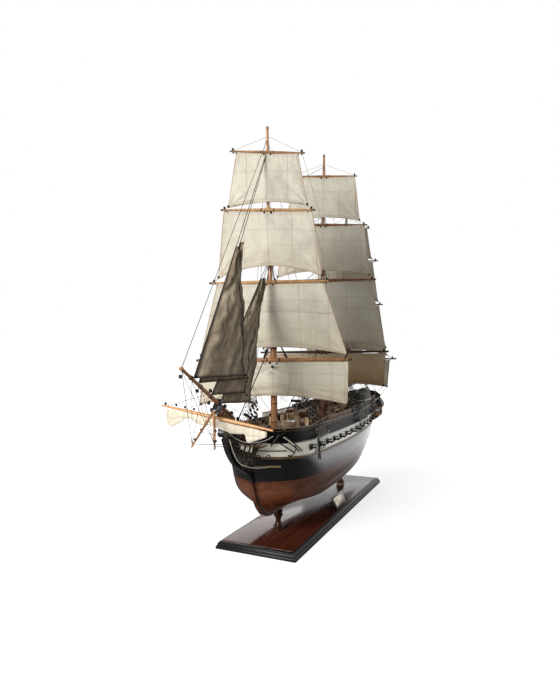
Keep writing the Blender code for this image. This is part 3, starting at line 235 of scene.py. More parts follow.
# Columns: place, what it points at, width, height, watts
SOFT_BOXES = (
    ((2.15, -0.50, 1.05), (0.05, 0.00, 0.40), 1.10, 1.10, 72.0),
    ((-0.90, 1.50, 0.80), (-0.15, 0.00, 0.20), 1.00, 0.70, 7.0),
    ((-1.60, -1.30, 1.30), (-0.10, 0.00, 0.35), 1.20, 1.20, 10.0),
)
for spot, aim, width, height, watts in SOFT_BOXES:
    bpy.ops.object.light_add(type="AREA", location=spot)
    lamp = bpy.context.object
    lamp.rotation_euler = (Vector(aim) - Vector(spot)).to_track_quat("-Z", "Y").to_euler()
    lamp.data.shape = "RECTANGLE"
    lamp.data.size = width
    lamp.data.size_y = height
    lamp.data.energy = watts


# Base board. A mahogany board with its upper edge eased, French polished to a mirror, inside a
# black lacquered moulding mitred at the corners: a plinth, a torus and a bright top fillet.
def wood(name, dark, light, gloss, turn=0.0, along=(3.0, 60.0, 60.0), coat=0.0, pores=0.00004, shine=0.5):
    """Wood whose grain runs where along is small: streaks, slow clouds and fine pores."""
    made = Finish(name, {"Roughness": gloss, "Coat Weight": coat, "Coat Roughness": 0.08,
                         "Specular IOR Level": shine})
    streak = made.grain(made.place(along, turn), 1.6, 5.0, 0.6)
    cloud = made.grain(made.place(), 9.0, 2.0)
    pore = made.grain(made.place([4.0 * a for a in along], turn), 3.0, 2.0).rises(0.60, 0.72)
    tone = (streak * 0.72 + cloud * 0.28).rises(0.30, 0.68)
    body = made.mix(tone, dark, light)
    made.colour(made.mix(pore * 0.5, body, [0.45 * d for d in dark]))
    made.roughness(pore * 0.12 + streak * 0.10 + (gloss - 0.05))
    made.relief(1.0 - pore, pores)
    return made.material


def lacquer(name, shade, gloss, coat=0.4, speck=0.5, shine=0.5):
    """Sprayed paint: one colour with faint clouds, a slight orange peel and dust in the gloss."""
    made = Finish(name, {"Coat Weight": coat, "Coat Roughness": 0.06, "Specular IOR Level": shine})
    cloud = made.grain(made.place(), 26.0, 4.0)
    made.colour(made.mix(cloud.rises(0.35, 0.70), shade,
                         [min(1.0, c * 1.25 + 0.004 * speck) for c in shade]))
    made.roughness(made.grain(made.place(), 90.0, 3.0) * 0.14 + (gloss - 0.07))
    made.relief(made.grain(made.place(), 420.0, 1.0), 0.00002)
    return made.material


def formed(name, columns, rows, place, capped=False, turned=False):
    """A grid of quads, each corner moved to place(across, along), both from 0 to 1.

    Edges that meet are merged, and open ends are capped if asked.
    """
    bpy.ops.mesh.primitive_grid_add(x_subdivisions=columns, y_subdivisions=rows, size=2.0)
    made = bpy.context.object
    made.name = name
    for corner in made.data.vertices:
        corner.co = place(0.5 + 0.5 * corner.co.x, 0.5 + 0.5 * corner.co.y)
    bpy.ops.object.mode_set(mode="EDIT")
    bpy.ops.mesh.select_all(action="SELECT")
    bpy.ops.mesh.remove_doubles(threshold=0.000002)
    if capped:
        bpy.ops.mesh.fill_holes(sides=0)
        bpy.ops.mesh.select_all(action="SELECT")
    bpy.ops.mesh.normals_make_consistent(inside=turned)
    bpy.ops.object.mode_set(mode="OBJECT")
    return made


def settle(piece):
    """Put a primitive's place into its mesh."""
    bpy.ops.object.select_all(action="DESELECT")
    piece.select_set(True)
    bpy.context.view_layer.objects.active = piece
    bpy.ops.object.transform_apply(location=True, rotation=True, scale=True)
    return piece


def modified(piece, kind, **settings):
    """Add a modifier with its settings and apply it."""
    step = piece.modifiers.new(kind.lower(), kind)
    for name, value in settings.items():
        setattr(step, name, value)
    bpy.ops.object.select_all(action="DESELECT")
    piece.select_set(True)
    bpy.context.view_layer.objects.active = piece
    bpy.ops.object.modifier_apply(modifier=step.name)
    return piece


def fitted(piece, look, slot, *nodes, body="ship", smooth=32.0):
    """Give a piece its finish and its body, and hide the nodes that it stands for; slot is not used."""
    settle(piece)
    piece.data.materials.clear()
    piece.data.materials.append(look)
    bpy.ops.object.shade_smooth_by_angle(angle=math.radians(smooth))
    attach(piece, body)
    if nodes:
        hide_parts(*nodes)
    return piece


def block(name, middle, size, edge=0.0004, turn=(0.0, 0.0, 0.0)):
    """A squared timber with eased edges."""
    bpy.ops.mesh.primitive_cube_add(size=1.0, location=middle, rotation=turn, scale=size)
    made = settle(bpy.context.object)
    made.name = name
    if edge:
        modified(made, "BEVEL", width=edge, segments=2, limit_method="ANGLE")
    return made


mahogany = wood("french_polished_mahogany", (0.032, 0.008, 0.004), (0.075, 0.019, 0.009), 0.12, shine=0.24)
black_lacquer = lacquer("black_lacquer", (0.010, 0.009, 0.009), 0.30, 0.0, shine=0.25)

board_low, board_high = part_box("base_board")
board = block("polished_board", (board_low + board_high) / 2, board_high - board_low, 0.0010)
fitted(board, mahogany, "mahogany", "base_board")

edge_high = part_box("base_moulding")[1]
# Columns: distance in from the outer edge, height, of the moulding's round-cornered outline
EDGE_OUTLINE = ((0.0090, 0.0000), (0.0000, 0.0000), (0.0000, 0.0026), (0.0004, 0.0044), (0.0015, 0.0057),
                (0.0022, 0.0062), (0.0022, 0.0080), (0.0026, 0.0092), (0.0036, 0.0102), (0.0042, 0.0104),
                (0.0042, 0.0112), (0.0052, 0.0120), (0.0070, 0.0125), (0.0090, 0.0125), (0.0090, 0.0000))


def edge_place(across, along):
    run, rise = EDGE_OUTLINE[round(across * (len(EDGE_OUTLINE) - 1))]
    corner = round(along * 4) % 4
    x = (edge_high.x - run) * (1, -1, -1, 1)[corner]
    y = (edge_high.y - run) * (1, 1, -1, -1)[corner]
    return Vector((x, y, rise))


moulding = formed("board_moulding", len(EDGE_OUTLINE) - 1, 4, edge_place)
modified(moulding, "BEVEL", width=0.00025, segments=2, limit_method="ANGLE", angle_limit=math.radians(25))
fitted(moulding, black_lacquer, "black_moulding", "base_moulding", smooth=50.0)

# Felt pads. Four thin discs let into the underside keep the polish off the table.
felt = Finish("green_felt", {"Roughness": 0.95, "Sheen Weight": 0.4})
felt.colour(felt.mix(felt.grain(felt.place(), 900.0), (0.010, 0.030, 0.018), (0.025, 0.060, 0.035)))
felt.relief(felt.grain(felt.place(), 1500.0), 0.0002)
for number, (side_x, side_y) in enumerate(((1, 1), (1, -1), (-1, 1), (-1, -1))):
    bpy.ops.mesh.primitive_cylinder_add(vertices=32, radius=0.009, depth=0.0010,
                                        location=(side_x * 0.240, side_y * 0.045, 0.0005))
    pad = bpy.context.object
    pad.name = f"felt_pad_{number + 1}"
    fitted(pad, felt.material, "mahogany")


# Pedestals. Two balusters turned from one hardwood, stained and lacquered, screwed up through
# the board into the keel. Beads and coves are spun round the upright axis from one outline.
def lathe(name, outline, middle, sides=48):
    """A turned piece: an outline of heights and radii spun round an upright axis."""
    rows = len(outline) - 1
    x, y = middle

    def place(across, along):
        height, radius = outline[round(along * rows)]
        turn = math.tau * across
        return Vector((x + radius * math.cos(turn), y + radius * math.sin(turn), height))
    return formed(name, sides, rows, place, capped=True)


def eased(points, steps=5):
    """Points of a smooth curve through given points."""
    out = []
    ends = [points[0], *points, points[-1]]
    for before, start, end, after in zip(ends, ends[1:], ends[2:], ends[3:]):
        for k in range(steps):
            t = k / steps
            out.append(tuple(
                0.5 * (2 * b + (c - a) * t + (2 * a - 5 * b + 4 * c - d) * t * t
                       + (3 * b - a - 3 * c + d) * t ** 3)
                for a, b, c, d in zip(before, start, end, after)))
    out.append(tuple(points[-1]))
    return out


pedestal_stain = wood("pedestal_hardwood", (0.012, 0.005, 0.003), (0.038, 0.015, 0.008), 0.22,
                      along=(60.0, 60.0, 3.0), coat=0.0, shine=0.2)
# Columns: share of the height, radius
FOOT_TURNING = ((0.000, 0.0100), (0.070, 0.0101), (0.100, 0.0097), (0.118, 0.0080), (0.135, 0.0078))
BODY_TURNING = ((0.150, 0.0088), (0.190, 0.0092), (0.230, 0.0086), (0.250, 0.0068), (0.300, 0.0062),
                (0.380, 0.0052), (0.460, 0.0047), (0.550, 0.0050), (0.650, 0.0064), (0.700, 0.0072),
                (0.720, 0.0084), (0.760, 0.0087), (0.800, 0.0083), (0.820, 0.0066), (0.850, 0.0062))
CAP_TURNING = ((0.870, 0.0076), (0.900, 0.0081), (0.960, 0.0081), (0.990, 0.0079), (1.000, 0.0074))
# The after baluster takes a lighter, more orange copy of the same wood: painted light where the lamp falls
# on it.
pedestal_lit_copy = wood("pedestal_painted_light", (0.150, 0.050, 0.018), (0.300, 0.120, 0.045), 0.16,
                       along=(60.0, 60.0, 4.0), coat=0.5)
for name, stain in (("pedestal_front", pedestal_stain), ("pedestal_rear", pedestal_lit_copy)):
    low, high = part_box(name)
    turning = [(low.z + share * (high.z - low.z), radius)
               for rows in (FOOT_TURNING, BODY_TURNING, CAP_TURNING) for share, radius in eased(rows, 4)]
    turned = lathe(name.replace("pedestal", "baluster"), turning, ((low.x + high.x) / 2, 0.0))
    fitted(turned, stain, "pedestal_wood", name, smooth=40.0)

# Nameplate. A blank pewter plate pinned in a bevelled black frame, leaning back on a small
# block that is glued to the board in front of the after pedestal.
SIDES = ((1, "port"), (-1, "starboard"))
FORWARD, PORTWARD, UP = (Vector(row) for row in Matrix.Identity(3))
PLATE_LEAN = math.radians(25.0)
PLATE_MIDDLE = (0.0, 0.0560, board_high.z + 0.0128)
frame_wood = lacquer("plate_frame", (0.016, 0.013, 0.011), 0.28)
backing = block("plate_frame", PLATE_MIDDLE, (0.0620, 0.0030, 0.0250), 0.0008, (PLATE_LEAN, 0.0, 0.0))
fitted(backing, frame_wood, "black_moulding", "nameplate")
pewter = Finish("blank_pewter", {"Metallic": 1.0, "Roughness": 0.3})
tarnish = pewter.grain(pewter.place(), 130.0, 5.0)
pewter.colour(pewter.mix(tarnish.rises(0.42, 0.66), (0.60, 0.54, 0.44), (0.27, 0.24, 0.19)))
pewter.roughness(tarnish * 0.35 + 0.16)
pewter.relief(pewter.grain(pewter.place((200.0, 2.0, 2.0)), 3.0), 0.00003)
face = Matrix.Rotation(PLATE_LEAN, 3, "X") @ PORTWARD
plate = block("blank_plate", Vector(PLATE_MIDDLE) + face * 0.0016, (0.0540, 0.0010, 0.0180), 0.0003,
              (PLATE_LEAN, 0.0, 0.0))
fitted(plate, pewter.material, "plate_metal")
rest = block("plate_rest", (0.0, 0.0500, board_high.z + 0.0053), (0.0400, 0.0120, 0.0098), 0.0008)
fitted(rest, frame_wood, "black_moulding")
for side, word in reversed(SIDES):
    spot = Vector(PLATE_MIDDLE) + face * 0.0021 + FORWARD * (side * 0.0235)
    bpy.ops.mesh.primitive_uv_sphere_add(segments=16, ring_count=8, radius=0.0009, location=spot)
    pin = bpy.context.object
    pin.name = f"plate_pin_{word}"
    fitted(pin, pewter.material, "plate_metal")


# Hull bottom. Narrow mahogany planks on a solid core, sanded fair, stained red-brown and
# varnished to a gloss. Its level lines are the frame's, from the keel up to the painted line.
KEEL_SIDE = 0.0038
PLAN_MIDDLE = 0.120
# Columns: height, greatest half breadth, bow end in X, stern end in X, bow power, bow root,
# run power, breadth left at the stern
LEVEL_LINES = ((0.0570, 0.0040, 0.226, -0.318, 2.0, 1.00, 2.0, 0.95),
               (0.0615, 0.0200, 0.240, -0.319, 3.0, 1.00, 1.7, 0.05),
               (0.0700, 0.0510, 0.251, -0.320, 1.6, 1.05, 2.0, 0.07),
               (0.0820, 0.0765, 0.261, -0.321, 2.6, 1.10, 2.2, 0.16),
               (0.0980, 0.0795, 0.270, -0.323, 3.6, 1.20, 2.6, 0.27),
               (0.1150, 0.0805, 0.276, -0.324, 3.9, 1.25, 3.0, 0.36),
               (0.1350, 0.0800, 0.280, -0.326, 4.3, 1.30, 3.2, 0.42),
               (0.1550, 0.0785, 0.284, -0.335, 5.0, 1.35, 3.3, 0.50),
               (0.1800, 0.0765, 0.290, -0.352, 5.0, 1.40, 3.3, 0.60),
               (0.2050, 0.0730, 0.296, -0.372, 5.0, 1.45, 3.0, 0.66),
               (0.2400, 0.0680, 0.301, -0.388, 5.0, 1.50, 3.0, 0.68))
RABBET, PAINT_LINE, STRIPE_LOW, STRIPE_HIGH = 0.0570, 0.1230, 0.1570, 0.1800
DECK, RAIL = 0.1900, 0.2040
WALL = 0.0032


def level_line(z):
    """Shape of the level line at a height, on a smooth curve through the table."""
    last = len(LEVEL_LINES) - 1
    k = 0
    while k < last - 1 and z > LEVEL_LINES[k + 1][0]:
        k += 1
    low, high = LEVEL_LINES[k], LEVEL_LINES[k + 1]
    before, after = LEVEL_LINES[max(k - 1, 0)], LEVEL_LINES[min(k + 2, last)]
    step = high[0] - low[0]
    t = min(max((z - low[0]) / step, 0.0), 1.0)
    line = []
    for column in range(1, len(low)):
        slope_low = (high[column] - before[column]) / (high[0] - before[0]) * step
        slope_high = (after[column] - low[column]) / (after[0] - low[0]) * step
        line.append((2 * t ** 3 - 3 * t ** 2 + 1) * low[column] + (t ** 3 - 2 * t ** 2 + t) * slope_low
                    + (3 * t ** 2 - 2 * t ** 3) * high[column] + (t ** 3 - t ** 2) * slope_high)
    return line


def half_breadth(x, z):
    """Half breadth of the hull at a place along it and a height."""
    half, bow_x, stern_x, bow_power, bow_root, run_power, stern_part = level_line(z)
    if x >= PLAN_MIDDLE:
        part = min((x - PLAN_MIDDLE) / (bow_x - PLAN_MIDDLE), 1.0)
        fullness = (1.0 - part ** bow_power) ** (1.0 / bow_root)
    else:
        part = min((PLAN_MIDDLE - x) / (PLAN_MIDDLE - stern_x), 1.0)
        fullness = stern_part + (1.0 - stern_part) * (1.0 - part ** run_power)
    return max(half * fullness, KEEL_SIDE)


def sheer(x):
    """Rise of the decks and stripes towards the bow and the stern."""
    if x > -0.040:
        return 0.0100 * ((x + 0.040) / 0.340) ** 2
    return 0.0080 * ((-0.040 - x) / 0.345) ** 2


def on_hull(way, level, out=0.0):
    """Port side of the hull: way 0 at the stern to 1 at the bow, level(x) the height there."""
    def at(share):
        share = min(max(share, 0.0), 1.0)
        x = -0.3 + 0.6 * share
        for _ in range(4):
            _, bow_x, stern_x, *_ = level_line(level(x))
            x = stern_x + (bow_x - stern_x) * share
        return Vector((x, half_breadth(x, level(x)), level(x)))
    here = at(way)
    if out == 0.0:
        return here
    run = at(way + 0.003) - at(way - 0.003)
    away = Vector((-run.y, run.x, 0.0)).normalized()
    return here + away * (-out if run.x < 0 else out)


def spaced(share):
    """Even steps drawn closer together towards both ends."""
    return 0.5 - 0.5 * math.cos(math.pi * min(max(share, 0.0), 1.0))


def band(name, low, high, columns, rows, inset=0.0, wall=0.0012):
    """A skin of the hull between two heights, from the transom round the bow and back."""
    transom = 0.06

    def place(across, along):
        def level(x):
            return low(x) + (high(x) - low(x)) * along
        side = 1 if across < 0.5 else -1
        share = 2.0 * across if across < 0.5 else 2.0 - 2.0 * across
        if share < transom:
            corner = on_hull(0.0, level, -inset)
            return Vector((corner.x, side * corner.y * share / transom, corner.z))
        spot = on_hull(spaced((share - transom) / (1.0 - transom)), level, -inset)
        return Vector((spot.x, side * spot.y if share < 1.0 else 0.0, spot.z))
    skin = formed(name, columns, rows, place)
    return modified(skin, "SOLIDIFY", thickness=wall, offset=-1.0, use_even_offset=False)


def flat(height):
    """A level edge."""
    return lambda x: height


def sheered(height):
    """An edge that rises with the sheer."""
    return lambda x: height + sheer(x)


def planked(name, dark, light, gloss, coat, plank, depth):
    """Varnished planks: grain along the hull, a tone to each plank and a fine seam between."""
    made = Finish(name, {"Roughness": gloss, "Coat Weight": coat, "Coat Roughness": 0.05})
    here = made.place()
    row = ((here.part(2) - 0.05) / plank).floor()
    shift = row * 0.37
    joint = (here.part(0) / 0.14 + shift).floor()
    tone = made.node("TexWhiteNoise", {"noise_dimensions": "2D"},
                     {"Vector": made.node("CombineXYZ", {}, {0: row, 1: joint})})
    streak = made.grain(made.place((4.0, 70.0, 70.0)), 1.5, 5.0, 0.6)
    share = (streak * 0.60 + tone * 0.22 + made.grain(here, 7.0) * 0.18).rises(0.26, 0.70)
    body = made.mix(share, dark, light)
    within = ((here.part(2) - 0.05) / plank).fraction()
    seam = (abs(within - 0.5)).rises(0.455, 0.495)
    made.colour(made.mix(seam * 0.45, body, [0.35 * d for d in dark]))
    made.roughness(streak * 0.10 + (gloss - 0.05))
    made.relief((1.0 - seam) + streak * 0.10, depth)
    return made.material


stained_planks = planked("stained_hull_planks", (0.060, 0.018, 0.008), (0.165, 0.054, 0.022), 0.18, 1.0,
                         0.0056, 0.00006)
black_hull = lacquer("black_hull_paint", (0.0045, 0.0045, 0.0042), 0.16, 1.0, 0.3)
off_white = lacquer("off_white_paint", (0.80, 0.76, 0.64), 0.26, 1.0, 1.0)
dark_stain = wood("dark_stained_timber", (0.020, 0.010, 0.007), (0.060, 0.030, 0.018), 0.24,
                  along=(60.0, 60.0, 4.0), coat=0.4)

bottom = band("planked_bottom", flat(RABBET), flat(PAINT_LINE), 220, 44)
fitted(bottom, stained_planks, "bottom_brown", "hull_bottom", smooth=60.0)

# Wale and gun stripe. The wale is painted glossy black, the broad stripe above it off-white,
# cut through for thirteen guns a side, with a dark parting line and bead mouldings.
wale = band("black_wale", flat(PAINT_LINE + 0.0003), sheered(STRIPE_LOW), 220, 14)
fitted(wale, black_hull, "black_paint", "hull_wale", smooth=60.0)

GUNS_A_SIDE, FIRST_GUN_X, GUN_STEP = 13, 0.205, 0.0385
PORT_SIZE = 0.0090
guns = []
for number in range(GUNS_A_SIDE):
    x = FIRST_GUN_X - GUN_STEP * number
    z = 0.5 * (STRIPE_LOW + STRIPE_HIGH) + sheer(x)
    slope = (half_breadth(x + 0.004, z) - half_breadth(x - 0.004, z)) / 0.008
    for side in (1, -1):
        guns.append((x, side * half_breadth(x, z), z, side, math.atan(-slope)))


def cube():
    """A cube one metre a side, to be copied or to cut with."""
    bpy.ops.mesh.primitive_cube_add(size=1.0)
    return bpy.context.object


def copies(name, model, places):
    """Copies of one modelled piece, each with its own place and turn, as one mesh."""
    shape = bmesh.new()
    for place in places:
        count = len(shape.verts)
        shape.from_mesh(model.data)
        shape.verts.ensure_lookup_table()
        bmesh.ops.transform(shape, matrix=place, verts=shape.verts[count:])
    mesh = bpy.data.meshes.new(name)
    shape.to_mesh(mesh)
    shape.free()
    made = bpy.data.objects.new(name, mesh)
    scene.collection.objects.link(made)
    bpy.data.objects.remove(model)
    return made


def gun_turn(side, angle):
    """Turn that brings +Y to point out of a gun port."""
    return Matrix.Rotation(-angle if side > 0 else math.pi + angle, 4, "Z")


def at_ports(*steps, rise=0.0):
    """A place at each gun port, +Y pointing out of it, followed by each of the steps."""
    return [Matrix.Translation((x, y, z + rise)) @ gun_turn(side, angle) @ step
            for x, y, z, side, angle in guns for step in steps]


stripe = band("gun_stripe_skin", sheered(STRIPE_LOW + 0.0003), sheered(STRIPE_HIGH), 220, 8, wall=WALL)
ports = copies("port_cutter", cube(), at_ports(Matrix.Diagonal((PORT_SIZE, 0.016, PORT_SIZE, 1.0))))
modified(stripe, "BOOLEAN", operation="DIFFERENCE", solver="EXACT", object=ports)
bpy.data.objects.remove(ports)
fitted(stripe, off_white, "cream_paint", "gun_stripe", smooth=40.0)


def strake(name, start, end, height, tall, proud, look, slot, side):
    """A moulding bent along one side of the hull, way start to way end, at a height."""
    section = ((-0.0006, 0.0), (proud * 0.7, 0.0), (proud, 0.2), (proud, 0.8), (proud * 0.7, 1.0),
               (-0.0006, 1.0))

    def place(across, along):
        out, up = section[round(across * 6) % 6]
        spot = on_hull(start + (end - start) * along, lambda x: height + sheer(x) + tall * up, out)
        return Vector((spot.x, side * spot.y, spot.z))
    return fitted(formed(name, 6, 90, place, capped=True), look, slot)


GRAIN_ALONG = (4.0, 70.0, 70.0)
bronze_brown = wood("oiled_brown_moulding", (0.085, 0.042, 0.016), (0.200, 0.110, 0.040), 0.34,
                    along=GRAIN_ALONG)
tan_moulding = wood("tan_cheek_moulding", (0.200, 0.130, 0.062), (0.340, 0.240, 0.125), 0.34,
                    along=GRAIN_ALONG)
# Columns: name, start, end, height above the keel line, how tall, how proud, finish, slot
MOULDINGS = (
    ("stripe_foot_bead", 0.000, 0.9985, 0.1532, 0.0036, 0.0015, bronze_brown, "dark_wood"),
    ("stripe_parting_line", 0.955, 0.9985, 0.1665, 0.0016, 0.0015, black_hull, "black_paint"),
    ("stripe_head_bead", 0.000, 0.985, 0.1795, 0.0018, 0.0012, black_hull, "black_paint"),
    ("bulwark_line", 0.000, 0.985, 0.1990, 0.0011, 0.0008, bronze_brown, "dark_wood"),
    ("cheek_moulding", 0.968, 0.9985, 0.1395, 0.0030, 0.0022, tan_moulding, "gallery_wood"),
    ("wale_bead", 0.000, 0.980, 0.1500, 0.0010, 0.0005, black_hull, "black_paint"),
)
for name, *shape, look, slot in MOULDINGS:
    for side, word in SIDES:
        strake(f"{name}_{word}", *shape, look, slot, side)

# Guns. Each is a turned barrel with a swelled muzzle that looks out of its port, in a black
# lined opening, with a lid hinged along the top and held up level.
lining = band("gun_deck_lining", sheered(STRIPE_LOW + 0.0006), sheered(STRIPE_HIGH - 0.0006), 120, 2,
              inset=0.0055, wall=0.0010)
fitted(lining, black_hull, "black_paint", "gun_deck", smooth=50.0)
gun_iron = Finish("gun_iron", {"Metallic": 0.6, "Roughness": 0.4})
gun_iron.colour(gun_iron.mix(gun_iron.grain(gun_iron.place(), 320.0), (0.012, 0.012, 0.013),
                             (0.035, 0.033, 0.031)))
gun_iron.roughness(gun_iron.grain(gun_iron.place(), 200.0) * 0.3 + 0.25)
# Columns: distance along the barrel, radius
BARREL = ((-0.0080, 0.0000), (-0.0080, 0.0024), (-0.0050, 0.0026), (0.0020, 0.0021), (0.0060, 0.0018),
          (0.0085, 0.0018), (0.0092, 0.0022), (0.0100, 0.0023), (0.0105, 0.0020), (0.0105, 0.0011),
          (0.0060, 0.0010), (0.0060, 0.0000))


def barrel_place(across, along):
    reach, radius = BARREL[round(along * (len(BARREL) - 1))]
    turn = math.tau * across
    return Vector((radius * math.cos(turn), reach, radius * math.sin(turn)))


barrel = formed("gun_barrel", 16, len(BARREL) - 1, barrel_place)
barrels = copies("gun_barrels", barrel, at_ports(Matrix.Identity(4), rise=-0.0006))
fitted(barrels, gun_iron.material, "black_paint", smooth=45.0)
lid = block("port_lid", (0.0, 0.0085, 0.0), (PORT_SIZE + 0.0008, 0.0092, 0.0013), 0.0003)
lid_hang = Matrix.Rotation(math.radians(-6.0), 4, "X") @ Matrix.Translation((0.0, -0.0030, 0.0))
lids = copies("port_lids", lid, at_ports(lid_hang, rise=0.5 * PORT_SIZE + 0.0004))
fitted(lids, black_hull, "black_paint")
rim = block("port_rim_side", (0.0, 0.0, 0.0), (0.0010, 0.0022, PORT_SIZE + 0.0020), 0.0002)
rim_out = Matrix.Translation((0.5 * PORT_SIZE + 0.0004, 0.0, 0.0))
quarters = [Matrix.Rotation(math.radians(quarter * 90), 4, "Y") @ rim_out for quarter in range(4)]
fitted(copies("port_rims", rim, at_ports(*quarters)), dark_stain, "dark_wood")

# Bulwarks. Black outside and stained inside, with a moulded cap rail all round, three channels
# a side that spread the shrouds, and the timbers that stand inside the planking.
outside = band("bulwark_planking", sheered(STRIPE_HIGH + 0.0003), sheered(RAIL - 0.0016), 220, 6,
               wall=0.0018)
bulwark_paint = lacquer("bulwark_paint", (0.0045, 0.0045, 0.0045), 0.42, 0.0, 0.3, shine=0.12)
fitted(outside, bulwark_paint, "black_paint", "bulwarks", smooth=50.0)
inside_stain = wood("bulwark_lining", (0.070, 0.030, 0.012), (0.170, 0.080, 0.034), 0.36, along=GRAIN_ALONG)
inside = band("bulwark_lining", sheered(DECK - 0.0010), sheered(RAIL - 0.0016), 160, 4, inset=0.0020,
              wall=0.0012)
fitted(inside, inside_stain, "deck_wood", smooth=50.0)
cap_rail_stain = wood("cap_rail", (0.030, 0.014, 0.008), (0.085, 0.040, 0.020), 0.24, along=GRAIN_ALONG,
                      coat=0.5)
# Columns: distance out of the hull, share of the cap's height
CAP_OUTLINE = ((-0.0052, 0.0), (-0.0052, 0.8), (-0.0046, 1.0), (0.0014, 1.0), (0.0022, 0.8), (0.0022, 0.3),
               (0.0016, 0.0))


def cap_place(across, along):
    out, up = CAP_OUTLINE[round(across * 7) % 7]
    side = 1 if along < 0.5 else -1
    share = 2.0 * along if along < 0.5 else 2.0 - 2.0 * along
    spot = on_hull(spaced(share), lambda x: RAIL - 0.0016 + sheer(x) + 0.0022 * up, out)
    if share == 1.0:
        return Vector((spot.x, 0.0, spot.z))
    return Vector((spot.x, side * spot.y, spot.z))


fitted(formed("cap_rail", 7, 180, cap_place, capped=True), cap_rail_stain, "dark_wood", smooth=40.0)


def rail_height(x):
    """Height of the rail's underside at a place along the ship."""
    return RAIL + sheer(x)


def rail_breadth(x):
    """Half breadth of the hull at the rail."""
    return half_breadth(x, rail_height(x))


TIMBERS_A_SIDE, FIRST_TIMBER_X, TIMBER_STEP = 34, 0.262, 0.0182
timber = block("bulwark_timber", (0.0, 0.0, 0.5 * (DECK + RAIL) - 0.001),
               (0.0030, 0.0022, RAIL - DECK - 0.001), 0.0002)
timber_places = []
for number in range(TIMBERS_A_SIDE):
    x = FIRST_TIMBER_X - TIMBER_STEP * number
    for side in (1, -1):
        y = side * (rail_breadth(x) - WALL - 0.0012)
        timber_places.append(Matrix.Translation((x, y, sheer(x))))
fitted(copies("bulwark_timbers", timber, timber_places), inside_stain, "deck_wood")

# Columns: mast, front end in X, after end in X, shrouds a side
CHANNELS = (("fore", 0.196, 0.140, 6), ("main", -0.064, -0.128, 7), ("mizzen", -0.232, -0.276, 5))
for mast, front, back, shrouds in CHANNELS:
    z = STRIPE_HIGH + 0.004 + sheer(0.5 * (front + back))
    inner = min(half_breadth(front, z), half_breadth(back, z)) - 0.002
    outer = max(half_breadth(front, z), half_breadth(back, z)) + 0.0105
    for side, word in SIDES:
        shelf = block(f"{mast}_channel_{word}", (0.5 * (front + back), side * 0.5 * (inner + outer), z),
                      (front - back, outer - inner, 0.0020), 0.0005)
        fitted(shelf, black_hull, "black_paint")


# Masts. Each is built in three lengths like the real one: a stout lower mast with iron hoops, a
# topmast fidded before it and held by a cap, and a slender pole above, with a button truck.
# Columns: mast, place on deck in X, rake, height of the top, of the crosstrees, of the truck, radius
MASTS = (
    ("fore", 0.1940, 0.000, 0.3720, 0.5030, 0.7385, 0.0063),
    ("main", -0.0610, -0.065, 0.3920, 0.5450, 0.7905, 0.0064),
    ("mizzen", -0.2265, -0.080, 0.3560, 0.4900, 0.7150, 0.0052),
)
DOUBLING = 0.0360
TOPMAST_AHEAD, POLE_AHEAD = 0.0115, 0.0185


def deck_height(x):
    return DECK + sheer(x)


def mast_x(mast, z):
    """Place in X of a lower mast's axis at a height."""
    _, deck_x, rake, *_ = mast
    return deck_x + rake * (z - deck_height(deck_x))


def spar(name, rows, look, slot, *nodes, sides=24, smooth=40.0):
    """A round spar through rows of a place and a radius."""
    rows = [(Vector(spot), radius) for spot, radius in rows]
    run = (rows[-1][0] - rows[0][0]).normalized()
    side = run.cross(PORTWARD if abs(run.y) < 0.7 else FORWARD).normalized()
    other = run.cross(side)

    def place(across, along):
        spot, radius = rows[round(along * (len(rows) - 1))]
        turn = math.tau * across
        return spot + (side * math.cos(turn) + other * math.sin(turn)) * radius
    return fitted(formed(name, sides, len(rows) - 1, place, capped=True), look, slot, *nodes, smooth=smooth)


def plate_of(name, outline, low, high, edge=0.0003):
    """A board cut to an outline of (x, y) points, between two heights."""
    bpy.ops.mesh.primitive_circle_add(vertices=len(outline), fill_type="NGON")
    made = bpy.context.object
    made.name = name
    for corner, (x, y) in zip(made.data.vertices, outline):
        corner.co = (x, y, low)
    bpy.ops.object.mode_set(mode="EDIT")
    bpy.ops.mesh.select_all(action="SELECT")
    bpy.ops.mesh.extrude_region_move(TRANSFORM_OT_translate={"value": (0.0, 0.0, high - low)})
    bpy.ops.mesh.select_all(action="SELECT")
    bpy.ops.mesh.normals_make_consistent(inside=False)
    bpy.ops.object.mode_set(mode="OBJECT")
    settle(made)
    return modified(made, "BEVEL", width=edge, segments=2, limit_method="ANGLE") if edge else made


def between(start, end, thickness):
    """Place of a round rod of unit length and radius, laid from start to end."""
    start, end = Vector(start), Vector(end)
    run = end - start
    turn = run.to_track_quat("Z", "Y").to_matrix().to_4x4()
    return Matrix.Translation(start) @ turn @ Matrix.Diagonal((thickness, thickness, run.length, 1.0))


def rod(sides):
    """A round rod of unit length and radius that stands on the origin."""
    bpy.ops.mesh.primitive_cylinder_add(vertices=sides, radius=1.0, depth=1.0, location=(0.0, 0.0, 0.5))
    return settle(bpy.context.object)


def rods(name, runs, look, slot, *nodes, sides=8):
    """Many straight rods in one piece, from runs of a start, an end and a radius."""
    return fitted(copies(name, rod(sides), [between(*run) for run in runs]), look, slot, *nodes,
                  smooth=50.0)


def boxes(name, rows, look, slot, *nodes, edge=0.0002, body="ship"):
    """Many squared timbers in one piece, from rows of a middle, a size and perhaps a turn."""
    places = [Matrix.Translation(row[0]) @ (row[2].to_4x4() if len(row) > 2 else Matrix.Identity(4))
              @ Matrix.Diagonal((*row[1], 1.0)) for row in rows]
    made = copies(name, cube(), places)
    if edge:
        modified(made, "BEVEL", width=edge, segments=1, limit_method="ANGLE")
    return fitted(made, look, slot, *nodes, body=body)


def on_mast(mast, z, ahead=0.0):
    """A place on a mast's axis, or ahead of it, at a height."""
    return Vector((mast_x(mast, z) + ahead, 0.0, z))


